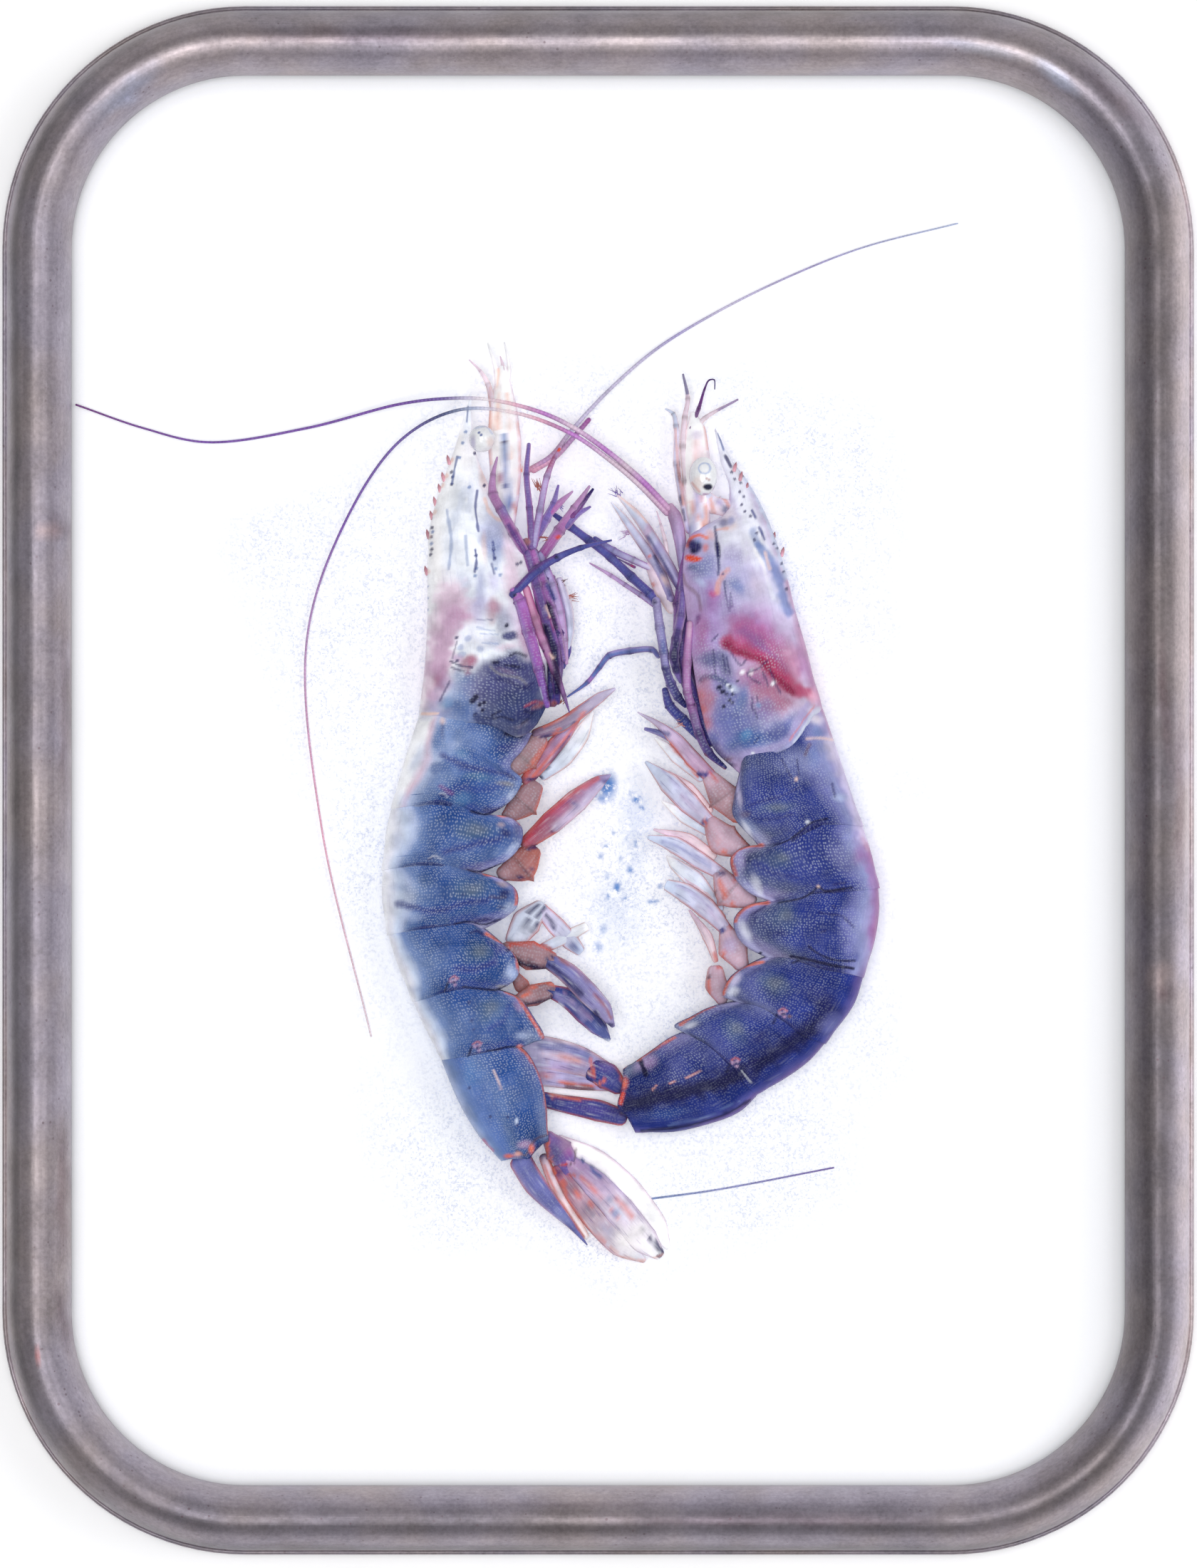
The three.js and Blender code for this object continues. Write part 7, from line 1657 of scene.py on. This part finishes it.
RIGHT_LIMB_MARKS = [
    ("navy", 0.7, 1.1, [(11.4, 19), (12.4, 16.6), (13.6, 14.4), (14.6, 13)]),
    ("midnight", 0.7, 1, [(13.3, 23), (12.9, 21), (13.4, 18.8)]),
    ("mid_blue", 0.6, 0.8, [(10.8, 26), (11.2, 22)]), ("ink", 0.9, 0.4, [(15.4, 12.8), (16.4, 12.9)]),
    ("navy", 0.6, 1, [(17, 8.6), (19, 4.8), (22.4, 2.2)]),
    ("orchid", 0.5, 1, [(15.2, 24), (15, 18), (15.8, 12)]),
    ("rust", 0.6, 0.35, [(18, 4.4), (19.8, 2.8), (21.8, 1.8)]),
    *lines("indigo", 0.7, 0.6, [(13.4, 32.8), (11.4, 36.6), (9.6, 39.8), (8.4, 41.6)],
           [(12.2, 31.6), (11, 35), (9.6, 38.2)]),
    ("mist", 0.7, 5.2, 45.6, 1.6, 0.8, -50), ("peach", 0.7, 0.35, [(3.4, 48.6), (6, 46.4), (8.4, 44)]),
    ("coral", 0.8, 8.8, 38.2, 0.4, 0.4, 0),
    ("coral", 0.7, 9.4, 33.4, 0.7, 0.4, -25), ("slate", 0.8, 0.6, [(15.2, 66), (14.5, 69.3)]),
    ("violet", 0.6, 0.5, [(20.6, 63.2), (23.8, 65)]), ("peach", 0.6, 11.4, 34, 0.8, 1.6, 30),
    ("ink", 0.85, 9.6, 30.6, 0.6, 0.5, 0), ("cherry", 0.7, 5.8, 36.6, 0.5, 0.3, 0),
    ("navy", 0.5, 0.4, [(9, 21.8), (5, 21.5), (2.2, 20.9)]),
    ("lilac", 0.6, 0.3, [(9.4, 22.7), (5.4, 22.5), (2.2, 21.8)]),
    ("mid_blue", 0.4, 0.4, [(1.6, 20.8), (-0.4, 18.4)]),
    ("ink", 0.7, 1.3, [(13.6, 25.4), (13, 22), (13.2, 19)]),
    ("lilac", 0.5, 1, [(10.2, 29.4), (10.5, 26), (10.8, 24.4)]),
    ("orchid", 0.7, -1.4, 17.2, 0.8, 0.6, 50),
    *lines("navy", 0.7, 0.4, [(13.4, 54), (13.9, 51)], [(14, 48.6), (14.3, 47.2)],
           [(14.5, 46), (14.8, 44.4)]),
    ("cherry", 0.5, 15.1, 42, 0.6, 0.8, 0), ("blush", 0.8, 19.6, 46.6, 3, 3.2, 0, 1),
    ("lilac", 0.6, 16.4, 44.4, 1.2, 3, 0, 1),
    *lines("salmon", 0.7, 0.6, [(17.6, 48.4), (18.4, 46), (18.2, 43.4), (17, 41.6)],
           [(21.2, 48.6), (22.2, 46.8), (22.6, 45)], [(19.2, 48), (19.8, 45)]),
    ("slate", 0.8, 21.6, 46.4, 1, 0.8, 0), ("lilac", 0.7, 20.6, 47.4, 0.8, 0.8, 0),
    ("lilac", 0.5, 16.8, 59, 1, 1.2, 0), ("cornflower", 0.5, 15.8, 42.8, 1, 1.2, 0),
    *lines("salmon", 0.6, 0.5, [(13.2, 60), (13.6, 54), (14.6, 47)], [(18.3, 60.4), (18.8, 56.6)],
           [(16.4, 58), (16.8, 52)]), ("lilac", 0.7, 16.9, 48.2, 1.1, 3.6, 0),
           ("blush", 0.8, 17, 55.4, 1.6, 5, 0),
           ("salmon", 0.7, 0.7, [(15.6, 47.6), (16.6, 45.4), (18.2, 43.6)]),
           ("violet", 0.35, 10.2, 39.6, 1, 2, -20), ("thistle", 0.6, 8.4, 42.6, 1, 1.4, -30),
           ("periwinkle", 0.6, 17.6, 45.2, 0.6, 1.4, 0),
]
RIGHT_SWIM_MARKS = [
    ("dun", 0.3, 21, -2.6, 2, 2.8, -40, 1),
    *specks("deep_blue", 0.9, 0.7, (17.2, 1), (18.2, 1), (18.1, -7.1), (21.2, -25.6)),
    ("navy", 0.85, 20.9, -15.8, 1.1, 0.6, 10),
    ("deep_blue", 0.7, 0.7, [(12, 7.9), (10, 8.4), (8.2, 8.8)]),
    ("ember", 0.6, 0.5, [(18.8, 1.4), (20.6, 0)]),
    *lines("periwinkle", 0.6, 0.8, [(19, -14.6), (15, -12), (11, -10.4)]),
    *lines("mauve", 0.35, 0.5, [(17.6, -5.6), (14, -2.6)], [(20.4, -23.6), (17, -21.2)]),
    *lines("lilac", 0.5, 0.35, [(17, -4), (13.4, -0.6), (10.4, 2.4)],
           [(19.6, -22), (16, -19.2), (13, -17.6)]),
    *lines("coral", 0.75, 0.45, [(18, -6.6), (20, -10.6), (22.6, -13.4)],
           [(20.4, -17), (22, -20), (24, -22.4)], [(12.2, 6.4), (15, 3), (17, 0.6)],
           [(21.4, -29), (21, -32)], [(18.8, -34), (19, -37.6)], [(23.2, -7), (24, -9.4), (25.4, -10.8)]),
    *lines("ember", 0.6, 0.7, [(22.8, -14), (23.4, -17)], [(23, -22), (22.6, -25)],
           [(19.8, -29.6), (20.6, -32)]),
    ("lilac", 0.5, 22.6, -28, 1.4, 2, 0),
    *specks("umber", 0.8, 0.4, (20.6, -13.6), (18.8, -33.6), (19.8, -19.4)),
]
RIGHT_FAN_MARKS = [
    ("blush", 0.7, -6, -44.8, 3, 0.5, -8), ("mid_blue", 0.6, 1.7, [(-9.6, -45.2), (-5, -46), (-2, -47)]),
    ("mauve", 0.5, -6.6, -48.8, 3, 0.9, -8),
    *lines("salmon", 0.8, 0.5, [(-9.6, -46.8), (-5, -47.4), (-1.6, -48.2)],
           [(-8.6, -48.2), (-4, -49.2), (-1.4, -50)], [(-8, -53.6), (-2, -53.6)]),
    ("coral", 0.9, 0.6, [(-1.4, -48), (-0.9, -49.2), (-0.8, -50.4)]),
    ("violet", 0.6, 1.2, -48.8, 2, 1.2, -5),
    ("coral", 0.9, 0.5, [(-9, -50.8), (-5, -51.7), (-3, -52.2), (0, -51.8), (1.2, -51.2)]),
    ("brown", 0.8, 1, [(-5.2, -52.3), (-3, -52.6), (-1, -52.8)]), ("brick", 0.6, -9.4, -50.2, 3, 0.9, -5),
    ("pale_lilac", 0.7, -9, -46.7, 5, 0.7, 3),
    ("coral", 0.85, 4.2, -50.8, 0.7, 0.8, 0), ("deep_blue", 0.6, 2.4, -52.6, 1.4, 1, 0),
    ("coral", 0.85, 0.45, [(-8, -54), (-4, -54.4), (0, -54.1), (1.6, -53.5)]),
    ("deep_violet", 0.6, -1, -56.2, 6, 1, -8),
    *lines("salmon", 0.6, 0.4, [(-10, -56), (-4, -57.6), (2, -58.9)]),
    ("ember", 0.9, 5.4, -57.2, 0.6, 0.5, 0), ("ember", 0.9, 5.4, -58.5, 0.8, 0.5, 0),
    ("brown", 0.7, 4.2, -56.8, 0.7, 0.5, 0),
    ("ice", 0.6, -16, -46.6, 4, 1.6, 0, 1),
]
LEFT_EYE_MARKS = [("lilac", 0.6, -21.2, 57.4, 0.6, 1.7, 0), ("peach", 0.5, -18.2, 57.4, 0.8, 1.4, 20),
                  *specks("mid_blue", 0.9, 0.32,
                  (-20.3, 59.2), (-19.9, 58.8), (-21.1, 56.2), (-20.8, 55.9)),
                  ("frost", 0.6, 0.4, [(-20.8, 60), (-19, 60.3), (-18, 59)])]
RIGHT_EYE_MARKS = [
    ("frost", 0.9, 0.3, [(18.1 + math.cos(a), 53.1 + 0.9 * math.sin(a)) for a in np.linspace(0, 2 * np.pi,
                                                                                             9)]),
    ("ink", 1, 18.7, 50.1, 0.95, 0.62, 8, 0.35), *specks("rust", 0.6, 0.3, (18.5, 51.4), (18.9, 51.2)),
    ("mauve", 0.7, 0.4, [(18, 48.7), (19.3, 48.7), (19.9, 49.8)]),
    ("salmon", 0.6, 0.4, [(16, 50.6), (17.2, 49.2)]), ("peach", 0.4, 17, 50.6, 1.2, 1.6, 0),
]
# colour, count, length, turn and spread in degrees, place and reach of each group of bristles
LEFT_BRISTLES = [
    ("rust", 12, 1.8, 105, 22, -10.2, 49.6, 10, 0.5), ("brown", 12, 1.3, 25, 30, -6.6, 33.4, 9, 0.7),
    ("rust", 10, 1.3, 5, 30, -5, 31, 8.6, 0.6),
    ("violet", 6, 0.9, -40, 30, -6.4, 46.6, 9.4, 0.3), ("rust", 8, 1.3, 170, 30, -9, 41.2, 10, 0.4),
    ("rust", 8, 1.4, 60, 30, -6.4, 13.2, 10.4, 0.5),
    ("salmon", 8, 1.2, 100, 30, -13.4, 52.6, 7.2, 0.5), ("brown", 6, 1.2, 0, 25, -7, 43.2, 9.4, 0.3),
]
RIGHT_BRISTLES = [
    ("salmon", 8, 1.5, 170, 40, 14.4, 9.6, 8, 0.6), ("violet", 10, 1.6, 130, 50, 3.6, 48.6, 6, 0.6),
    ("mauve", 8, 1.4, 200, 40, 5.4, 42, 5.8, 0.8),
]
LEFT_TEETH = [(-25.5, 54.5), (-26.4, 51.6), (-27, 49.6), (-27.8, 47.4), (-28.4, 45), (-29, 41.8),
              (-29.3, 35.6)]
RIGHT_TEETH = [(23.3, 53.3), (24.3, 51.7), (25.3, 49.8), (26.5, 47.2), (28.1, 44.8), (29.9, 41.4),
               (31.4, 38.8)]
TOOTH = {"length": 1.4, "half_width": 0.32, "lean": 14, "z": 8.0}

# share of the length, colour and opacity along each whip
RIGHT_WHIP_STOPS = [
    [(0, "thistle", 1), (0.08, "pansy", 1), (0.14, "petal", 1), (0.2, "pansy", 1), (0.28, "petal", 1),
     (0.35, "pansy", 0.9), (0.41, "pink", 0.5), (0.46, "blush", 0.25), (0.5, "pale_lilac", 0.6),
     (0.55, "violet", 1), (0.64, "amethyst", 1), (0.82, "amethyst", 1), (1, "plum", 1)],
    [(0, "thistle", 1), (0.1, "petal", 1), (0.2, "petal", 1), (0.3, "pansy", 1), (0.36, "pink", 0.7),
     (0.42, "blush", 0.3), (0.47, "frost", 0.6), (0.52, "slate", 1),
     (0.6, "violet", 1), (0.7, "amethyst", 1), (0.8, "mauve", 1), (0.9, "pink", 1), (1, "blush", 0.7)],
]
LEFT_WHIP_STOPS = [
    [(0, "pink", 1), (0.08, "mauve", 1), (0.16, "thistle", 0.9), (0.25, "pale_lilac", 0.8),
     (0.36, "pale_lilac", 0.8), (0.45, "pale_lilac", 0.8),
     (0.55, "lilac", 0.85), (0.65, "pale_lilac", 0.8), (0.8, "lilac", 0.85), (1, "frost", 0.8)],
    [(0, "pink", 1), (0.6, "mauve", 1), (1, "magenta", 0.9)],
]


def shell_painter(stops, marks, dots=0.8, streaks=0.2, bloom="", dot_zones=()):
    """Colours for a plate: stops are (millimetres from the back ridge, colour), then the marks. A
    segment has a bloom, the colour of its clouds, and also gets its pale scallop along the back, pale
    lobe edges, painted shade over its rear and a painted shadow on its hind margin; a carapace has
    its dots in dot_zones, each x, y and two radii."""
    def mix(tint, name, cover):
        return tint * (1 - cover[:, None]) + linear(name) * cover[:, None]

    def colour_at(f):
        reach = np.array([s[0] for s in stops])
        ramp = np.array([linear(s[1]) for s in stops])
        ragged = f["across"] + 0.9 * cloud(f["x"], 5.0, 17)
        if bloom:
            ragged = ragged * (1.1 - 0.22 * np.sin(np.pi * f["v"]) ** 2)
        tint = np.stack([np.interp(ragged, reach, ramp[:, k]) for k in range(3)], axis=1)
        tint *= 1 + 0.10 * cloud(f["x"], 3.0, 3)[:, None]
        if bloom:
            clouds = cloud(f["x"], 6.5, 29) * smooth_step(f["across"], 1.5, 5)
            tint = mix(tint, bloom, BLOOM * clouds.clip(0, 1))
            tint = tint * (1 - GLOOM * (-clouds).clip(0, 1))[:, None]
            from_edge, place = f["from_edge"], f["v"]
            lobe = 1 - smooth_step(from_edge, 0.5, 3.2)
            tint = mix(tint, "lilac", LOBE_FRONT * lobe * (1 - smooth_step(place, 0.25, 0.6)))
            tint = mix(tint, "frost", LOBE_REAR * lobe * smooth_step(place, 0.35, 0.8))
            rear = smooth_step(place, 0.75, 1) * smooth_step(f["across"], 2, 7)
            tint *= 1 - REAR_SHADE * rear[:, None]
            # painted shadow: the hind margin, where the plate laps over the next one, is darkened towards
            # navy
            margin = smooth_step(f["along"], f["long"] + 0.2, f["long"] + SEAM_LAP - 0.1)
            tint = mix(tint, "navy", HIND_MARGIN_SHADOW * margin * smooth_step(f["across"], 3, 9))
        tint = paint(f["x"], tint, marks)
        cover = dots * smooth_step(f["across"], 1.0, 5.0) * (0.75 + 0.25 * cloud(f["x"], 6, 9))
        if dot_zones:
            cover = cover * sum(blob_cover(f["x"], *zone, 0, 1, 0.6) for zone in dot_zones).clip(0.22, 1)
        cover = cover * np.clip(tint.mean(axis=1) / DOTTED_BRIGHTNESS, 0.1, 1)
        return np.clip(tint, 0, 1), cover, np.full(len(tint), streaks)
    return colour_at


def segment_relief(f):
    """A cross groove a third of the way back and a swelling behind it, a raised rim with a dip
    beside it along the flap, and low soft lumps."""
    place = f["along"] / f["long"]
    groove = -0.30 * hill(place, 0.30, 0.05) + 0.18 * hill(place, 0.5, 0.16)
    flap_rim = 0.22 * hill(f["from_edge"], 0.7, 0.45) - 0.18 * hill(f["from_edge"], 2.0, 0.7)
    return groove + flap_rim + 0.16 * cloud(f["x"], 5.0, 5)


def carapace_relief(f):
    return 0.28 * cloud(f["x"], 9.0, 8) + 0.10 * cloud(f["x"], 2.6, 12)


def add_limbs(piece, limbs, marks=(), slenderness=1.0):
    for kind, style, stations in limbs:
        if stations[0][3] <= THICKEST_LEG:
            stations = [(*s[:3], s[3] * slenderness, s[4] * slenderness) for s in stations]
        limb(piece, stations, style, flat=kind == "blade", marks=marks)


def add_teeth(piece, teeth, side):
    """Short blades that lean forward off the back ridge; side is -1 where the ridge is on the left."""
    lean = math.radians(TOOTH["lean"])
    step = TOOTH["length"] * np.array([side * math.sin(lean), math.cos(lean), 0])
    for place in teeth:
        root = np.array([*place, TOOTH["z"]]) - 0.3 * step
        wide = TOOTH["half_width"]
        stations = [(*root, wide, wide), (*(root + 0.6 * step), wide, 0.8 * wide),
                    (*(root + step), 0.08, 0.08)]
        limb(piece, stations, "tooth", flat=True, pitch=0.25, sides=8)


LEFT_BODY = [(0, "paper"), (0.9, "haze"), (1.9, "ice"), (3.2, "powder"), (5, "steel"), (8, "sea"),
             (16, "sea"), (20, "ocean"),
             (24, "lilac")]
LEFT_FRONT = [(0, "paper"), (2, "paper"), (3.2, "petal"), (4.4, "frost"), (6.6, "powder"), (9.6, "steel"),
              (11, "sea"), (20, "ocean"), (24, "lilac")]
LEFT_MID = [(0, "paper"), (1.6, "haze"), (3.2, "ice"), (4.6, "frost"), (5.8, "powder"), (7, "steel"),
            (9.5, "sea"), (20, "ocean"), (24, "lilac")]
LEFT_REAR = [(0, "frost"), (1.4, "powder"), (3.4, "cornflower"), (6, "steel"), (8.5, "sea"), (16, "sea")]
RIGHT_BODY = [(0, "thistle"), (0.8, "lilac"), (2.6, "periwinkle"), (4.6, "bluebell"), (7, "twilight"),
              (14, "twilight"), (19, "slate"),
              (24, "lilac")]
RIGHT_REAR = [(0, "violet"), (0.8, "iris"), (2, "twilight"), (14, "twilight"), (19, "slate"), (24, "lilac")]
RIGHT_LAST = [(0, "violet"), (0.8, "iris"), (2, "admiral"), (14, "admiral"), (19, "slate"), (24, "lilac")]
LEFT_DOTS = [(-17, 15, 9, 10), (-17.6, 40, 4, 7), (-23, 14, 6, 6), (-18, 24, 7, 5)]
RIGHT_DOTS = [(17.5, 36.5, 4.4, 4), (22.8, 38, 4, 5), (23.6, 32, 4, 4), (23, 10, 9, 9), (31, 9, 7, 6),
              (18.4, 21, 5, 7), (30, 21, 5, 6)]
LEFT_HEAD = [(0, "paper"), (2, "paper"), (5, "white"), (14, "white"), (22, "petal")]
RIGHT_HEAD = [(0, "thistle"), (1.2, "pale_lilac"), (6, "pale_lilac"), (14, "lilac"), (22, "thistle")]


def make_abdomen(side, seams, dorsals, flaps, halves, centres, stops, marks, swimmerets, limb_marks):
    for i in range(6):
        node = f"{side}_abdomen_{i + 1}"
        front, rear = seams[i], seams[i + 1]
        shape = {"front": front, "rear": rear, "dorsal": [front[0], *dorsals[i], rear[0]],
                 "ventral": [front[-1], *flaps[i], rear[-1]], "half": halves[i:i + 2],
                 "centre": centres[i:i + 2]}
        shell = Piece(f"{side}_shell_{i + 1}", f"{side}_tail_shell", SHELL, [node])
        bloom = "powder" if side == "left" else "bluebell"
        plate(shell, shape, shell_painter(stops[i], marks, bloom=bloom), segment_relief)
        shell.make()
        if swimmerets[i]:
            piece = Piece(f"{side}_swimmeret_{i + 1}", f"{side}_tail_shell", THIN_SHELL, [node])
            add_limbs(piece, swimmerets[i], limb_marks)
            piece.make()


def make_carapace(side, shape, stops, marks, dot_zones, feelers, legs, limb_marks, teeth, hairs):
    node = f"{side}_cephalothorax"
    shell = Piece(f"{side}_carapace", f"{side}_head_shell", SHELL, [node])
    painter = shell_painter(stops, marks, dots=0.9, streaks=0.15, dot_zones=dot_zones)
    plate(shell, shape, painter, carapace_relief, tuck=0)
    shell.make()
    for name, limbs in (("feelers", feelers), ("legs", legs)):
        piece = Piece(f"{side}_{name}", f"{side}_head_shell", THIN_SHELL, [node])
        add_limbs(piece, limbs, limb_marks, LEG_SLENDERNESS)
        if name == "feelers":
            add_teeth(piece, teeth, -1 if side == "left" else 1)
        else:
            bristles(piece, hairs)
        piece.make()


def make_eye(side, centre, radii, marks):
    piece = Piece(f"{side}_eyeball", "eye", EYE, [f"{side}_eye"])
    rows, columns, pole = 48, 64, 0.02
    tilt = np.linspace(pole, np.pi - pole, rows)[:, None]
    turn = 2 * np.pi * np.arange(columns)[None] / columns
    unit = np.stack([np.sin(tilt) * np.cos(turn), np.sin(tilt) * np.sin(turn), np.cos(tilt) + 0 * turn],
                    axis=2)
    points = (np.array(centre) + unit * np.array(radii)).reshape(-1, 3)
    faces = capped_faces(rows, columns)
    tint = np.broadcast_to(linear("paper"), (len(points), 3)).copy()
    piece.add(points, facing_out(points, faces), rgba(paint(points, tint, marks)), (0, 0), points[:, :2])
    piece.make()


def make_tail(side, telson, fan, marks):
    for name, limbs, slot, node in (("tail_spike", telson, f"{side}_tail_shell", "telson"),
                                    ("tail_fan", fan, "tail_fan", "uropods")):
        piece = Piece(f"{side}_{name}", slot, THIN_SHELL, [f"{side}_{node}"])
        add_limbs(piece, limbs, marks)
        piece.make()


def make_whips(name, node, whips, stops):
    piece = Piece(name, "antenna", WHIP, [node])
    for (path, root_radius, tip_radius), whip_stops in zip(whips, stops):
        whisker(piece, path, root_radius, tip_radius, whip_stops)
    piece.make()


def make_stage():
    mesh = bpy.data.meshes.new("floor")
    reach = 3.0
    mesh.from_pydata([(-reach, -reach, 0), (reach, -reach, 0), (reach, reach, 0), (-reach, reach, 0)], [],
                     [(0, 1, 2, 3)])
    floor = bpy.data.objects.new("floor", mesh)
    m = Nodes("pale_floor", 0.9)
    place = m.place()
    base = m.mix(m.ramp(m.noise(place, 40.0), 0.3, 0.7), (0.93, 0.93, 0.935, 1), (0.96, 0.96, 0.965, 1))
    m.set(Base_Color=base, Emission_Color=base, Emission_Strength=FLOOR_GLOW)
    mesh.materials.append(m.material)
    bpy.context.scene.collection.objects.link(floor)


def soft_light(name, place, size, watts):
    light = bpy.data.lights.new(name, "AREA")
    light.shape, light.size, light.size_y = "RECTANGLE", size[0], size[1]
    light.energy = watts
    lamp = bpy.data.objects.new(name, light)
    lamp.location = place
    lamp.rotation_euler = Vector(place).to_track_quat("Z", "Y").to_euler()
    bpy.context.scene.collection.objects.link(lamp)


def make_studio():
    """A pale room that is brighter on the right, with a broad soft lamp overhead and one at the side."""
    world = bpy.data.worlds.new("studio")
    world.use_nodes = True
    tree = world.node_tree
    way = tree.nodes.new("ShaderNodeTexCoord").outputs["Generated"]
    split = tree.nodes.new("ShaderNodeSeparateXYZ")
    level = tree.nodes.new("ShaderNodeMapRange")
    for name, value in {"From Min": -1, "From Max": 1, "To Min": WORLD_LEFT, "To Max": WORLD_RIGHT}.items():
        level.inputs[name].default_value = value
    background = tree.nodes["Background"]
    background.inputs["Color"].default_value = (0.96, 0.97, 1.0, 1.0)
    tree.links.new(way, split.inputs[0])
    tree.links.new(split.outputs[0], level.inputs["Value"])
    tree.links.new(level.outputs[0], background.inputs["Strength"])
    scene = bpy.context.scene
    scene.world = world
    scene.view_settings.view_transform = "Standard"
    for lamp in LAMPS:
        soft_light(*lamp)


def make_camera():
    """Straight above the picture, far enough for the long lens to see it without perspective."""
    lens, sensor, picture_height = 260.0, 36.0, 267.4
    middle_x, middle_y = 0.06, -0.61
    camera = bpy.data.cameras.new("camera")
    camera.lens, camera.sensor_width = lens, sensor
    mid_height = 8.0
    distance = picture_height / 2 / (sensor / 2 / lens)
    thing = bpy.data.objects.new("camera", camera)
    thing.location = (middle_x * MM, middle_y * MM, (mid_height + distance) * MM)
    camera.clip_end = 20
    bpy.context.scene.collection.objects.link(thing)
    bpy.context.scene.camera = thing


make_camera()
make_stage()
make_studio()
make_frame()
make_board()
make_carapace("left", LEFT_CARAPACE, LEFT_HEAD, LEFT_HEAD_MARKS, LEFT_DOTS, LEFT_FEELERS, LEFT_LEGS,
              LEFT_LIMB_MARKS, LEFT_TEETH,
              LEFT_BRISTLES)
make_carapace("right", RIGHT_CARAPACE, RIGHT_HEAD, RIGHT_HEAD_MARKS, RIGHT_DOTS, RIGHT_FEELERS,
              RIGHT_LEGS, RIGHT_LIMB_MARKS,
              RIGHT_TEETH, RIGHT_BRISTLES)
make_abdomen("left", LEFT_SEAMS, LEFT_DORSAL, LEFT_FLAPS, LEFT_HALF, LEFT_CENTRE,
             [LEFT_FRONT] + [LEFT_MID] * 2 + [LEFT_BODY] * 2 + [LEFT_REAR], LEFT_TAIL_MARKS,
             LEFT_SWIMMERETS, LEFT_SWIM_MARKS)
make_abdomen("right", RIGHT_SEAMS, RIGHT_DORSAL, RIGHT_FLAPS, RIGHT_HALF, RIGHT_CENTRE,
             [RIGHT_BODY] * 3 + [RIGHT_REAR] * 2 + [RIGHT_LAST], RIGHT_TAIL_MARKS,
             RIGHT_SWIMMERETS, RIGHT_SWIM_MARKS)
make_eye("left", (-19.8, 58.2, 10.2), (2.2, 2.3, 2.2), LEFT_EYE_MARKS)
make_eye("right", (17.9, 51.8, 10.6), (2.4, 3.3, 2.1), RIGHT_EYE_MARKS)
make_tail("left", LEFT_TELSON, LEFT_FAN, LEFT_FAN_MARKS)
make_tail("right", RIGHT_TELSON, RIGHT_FAN, RIGHT_FAN_MARKS)
make_whips("left_whip", "left_antenna", LEFT_ANTENNA, LEFT_WHIP_STOPS)
make_whips("right_whips", "right_antennae", RIGHT_ANTENNAE, RIGHT_WHIP_STOPS)
make_whips("loose_whip", "loose_antenna", [(LOOSE_WHISKER, 0.17, 0.14)],
           [[(0, "powder", 0.8), (0.5, "periwinkle", 1), (1, "violet", 1)]])
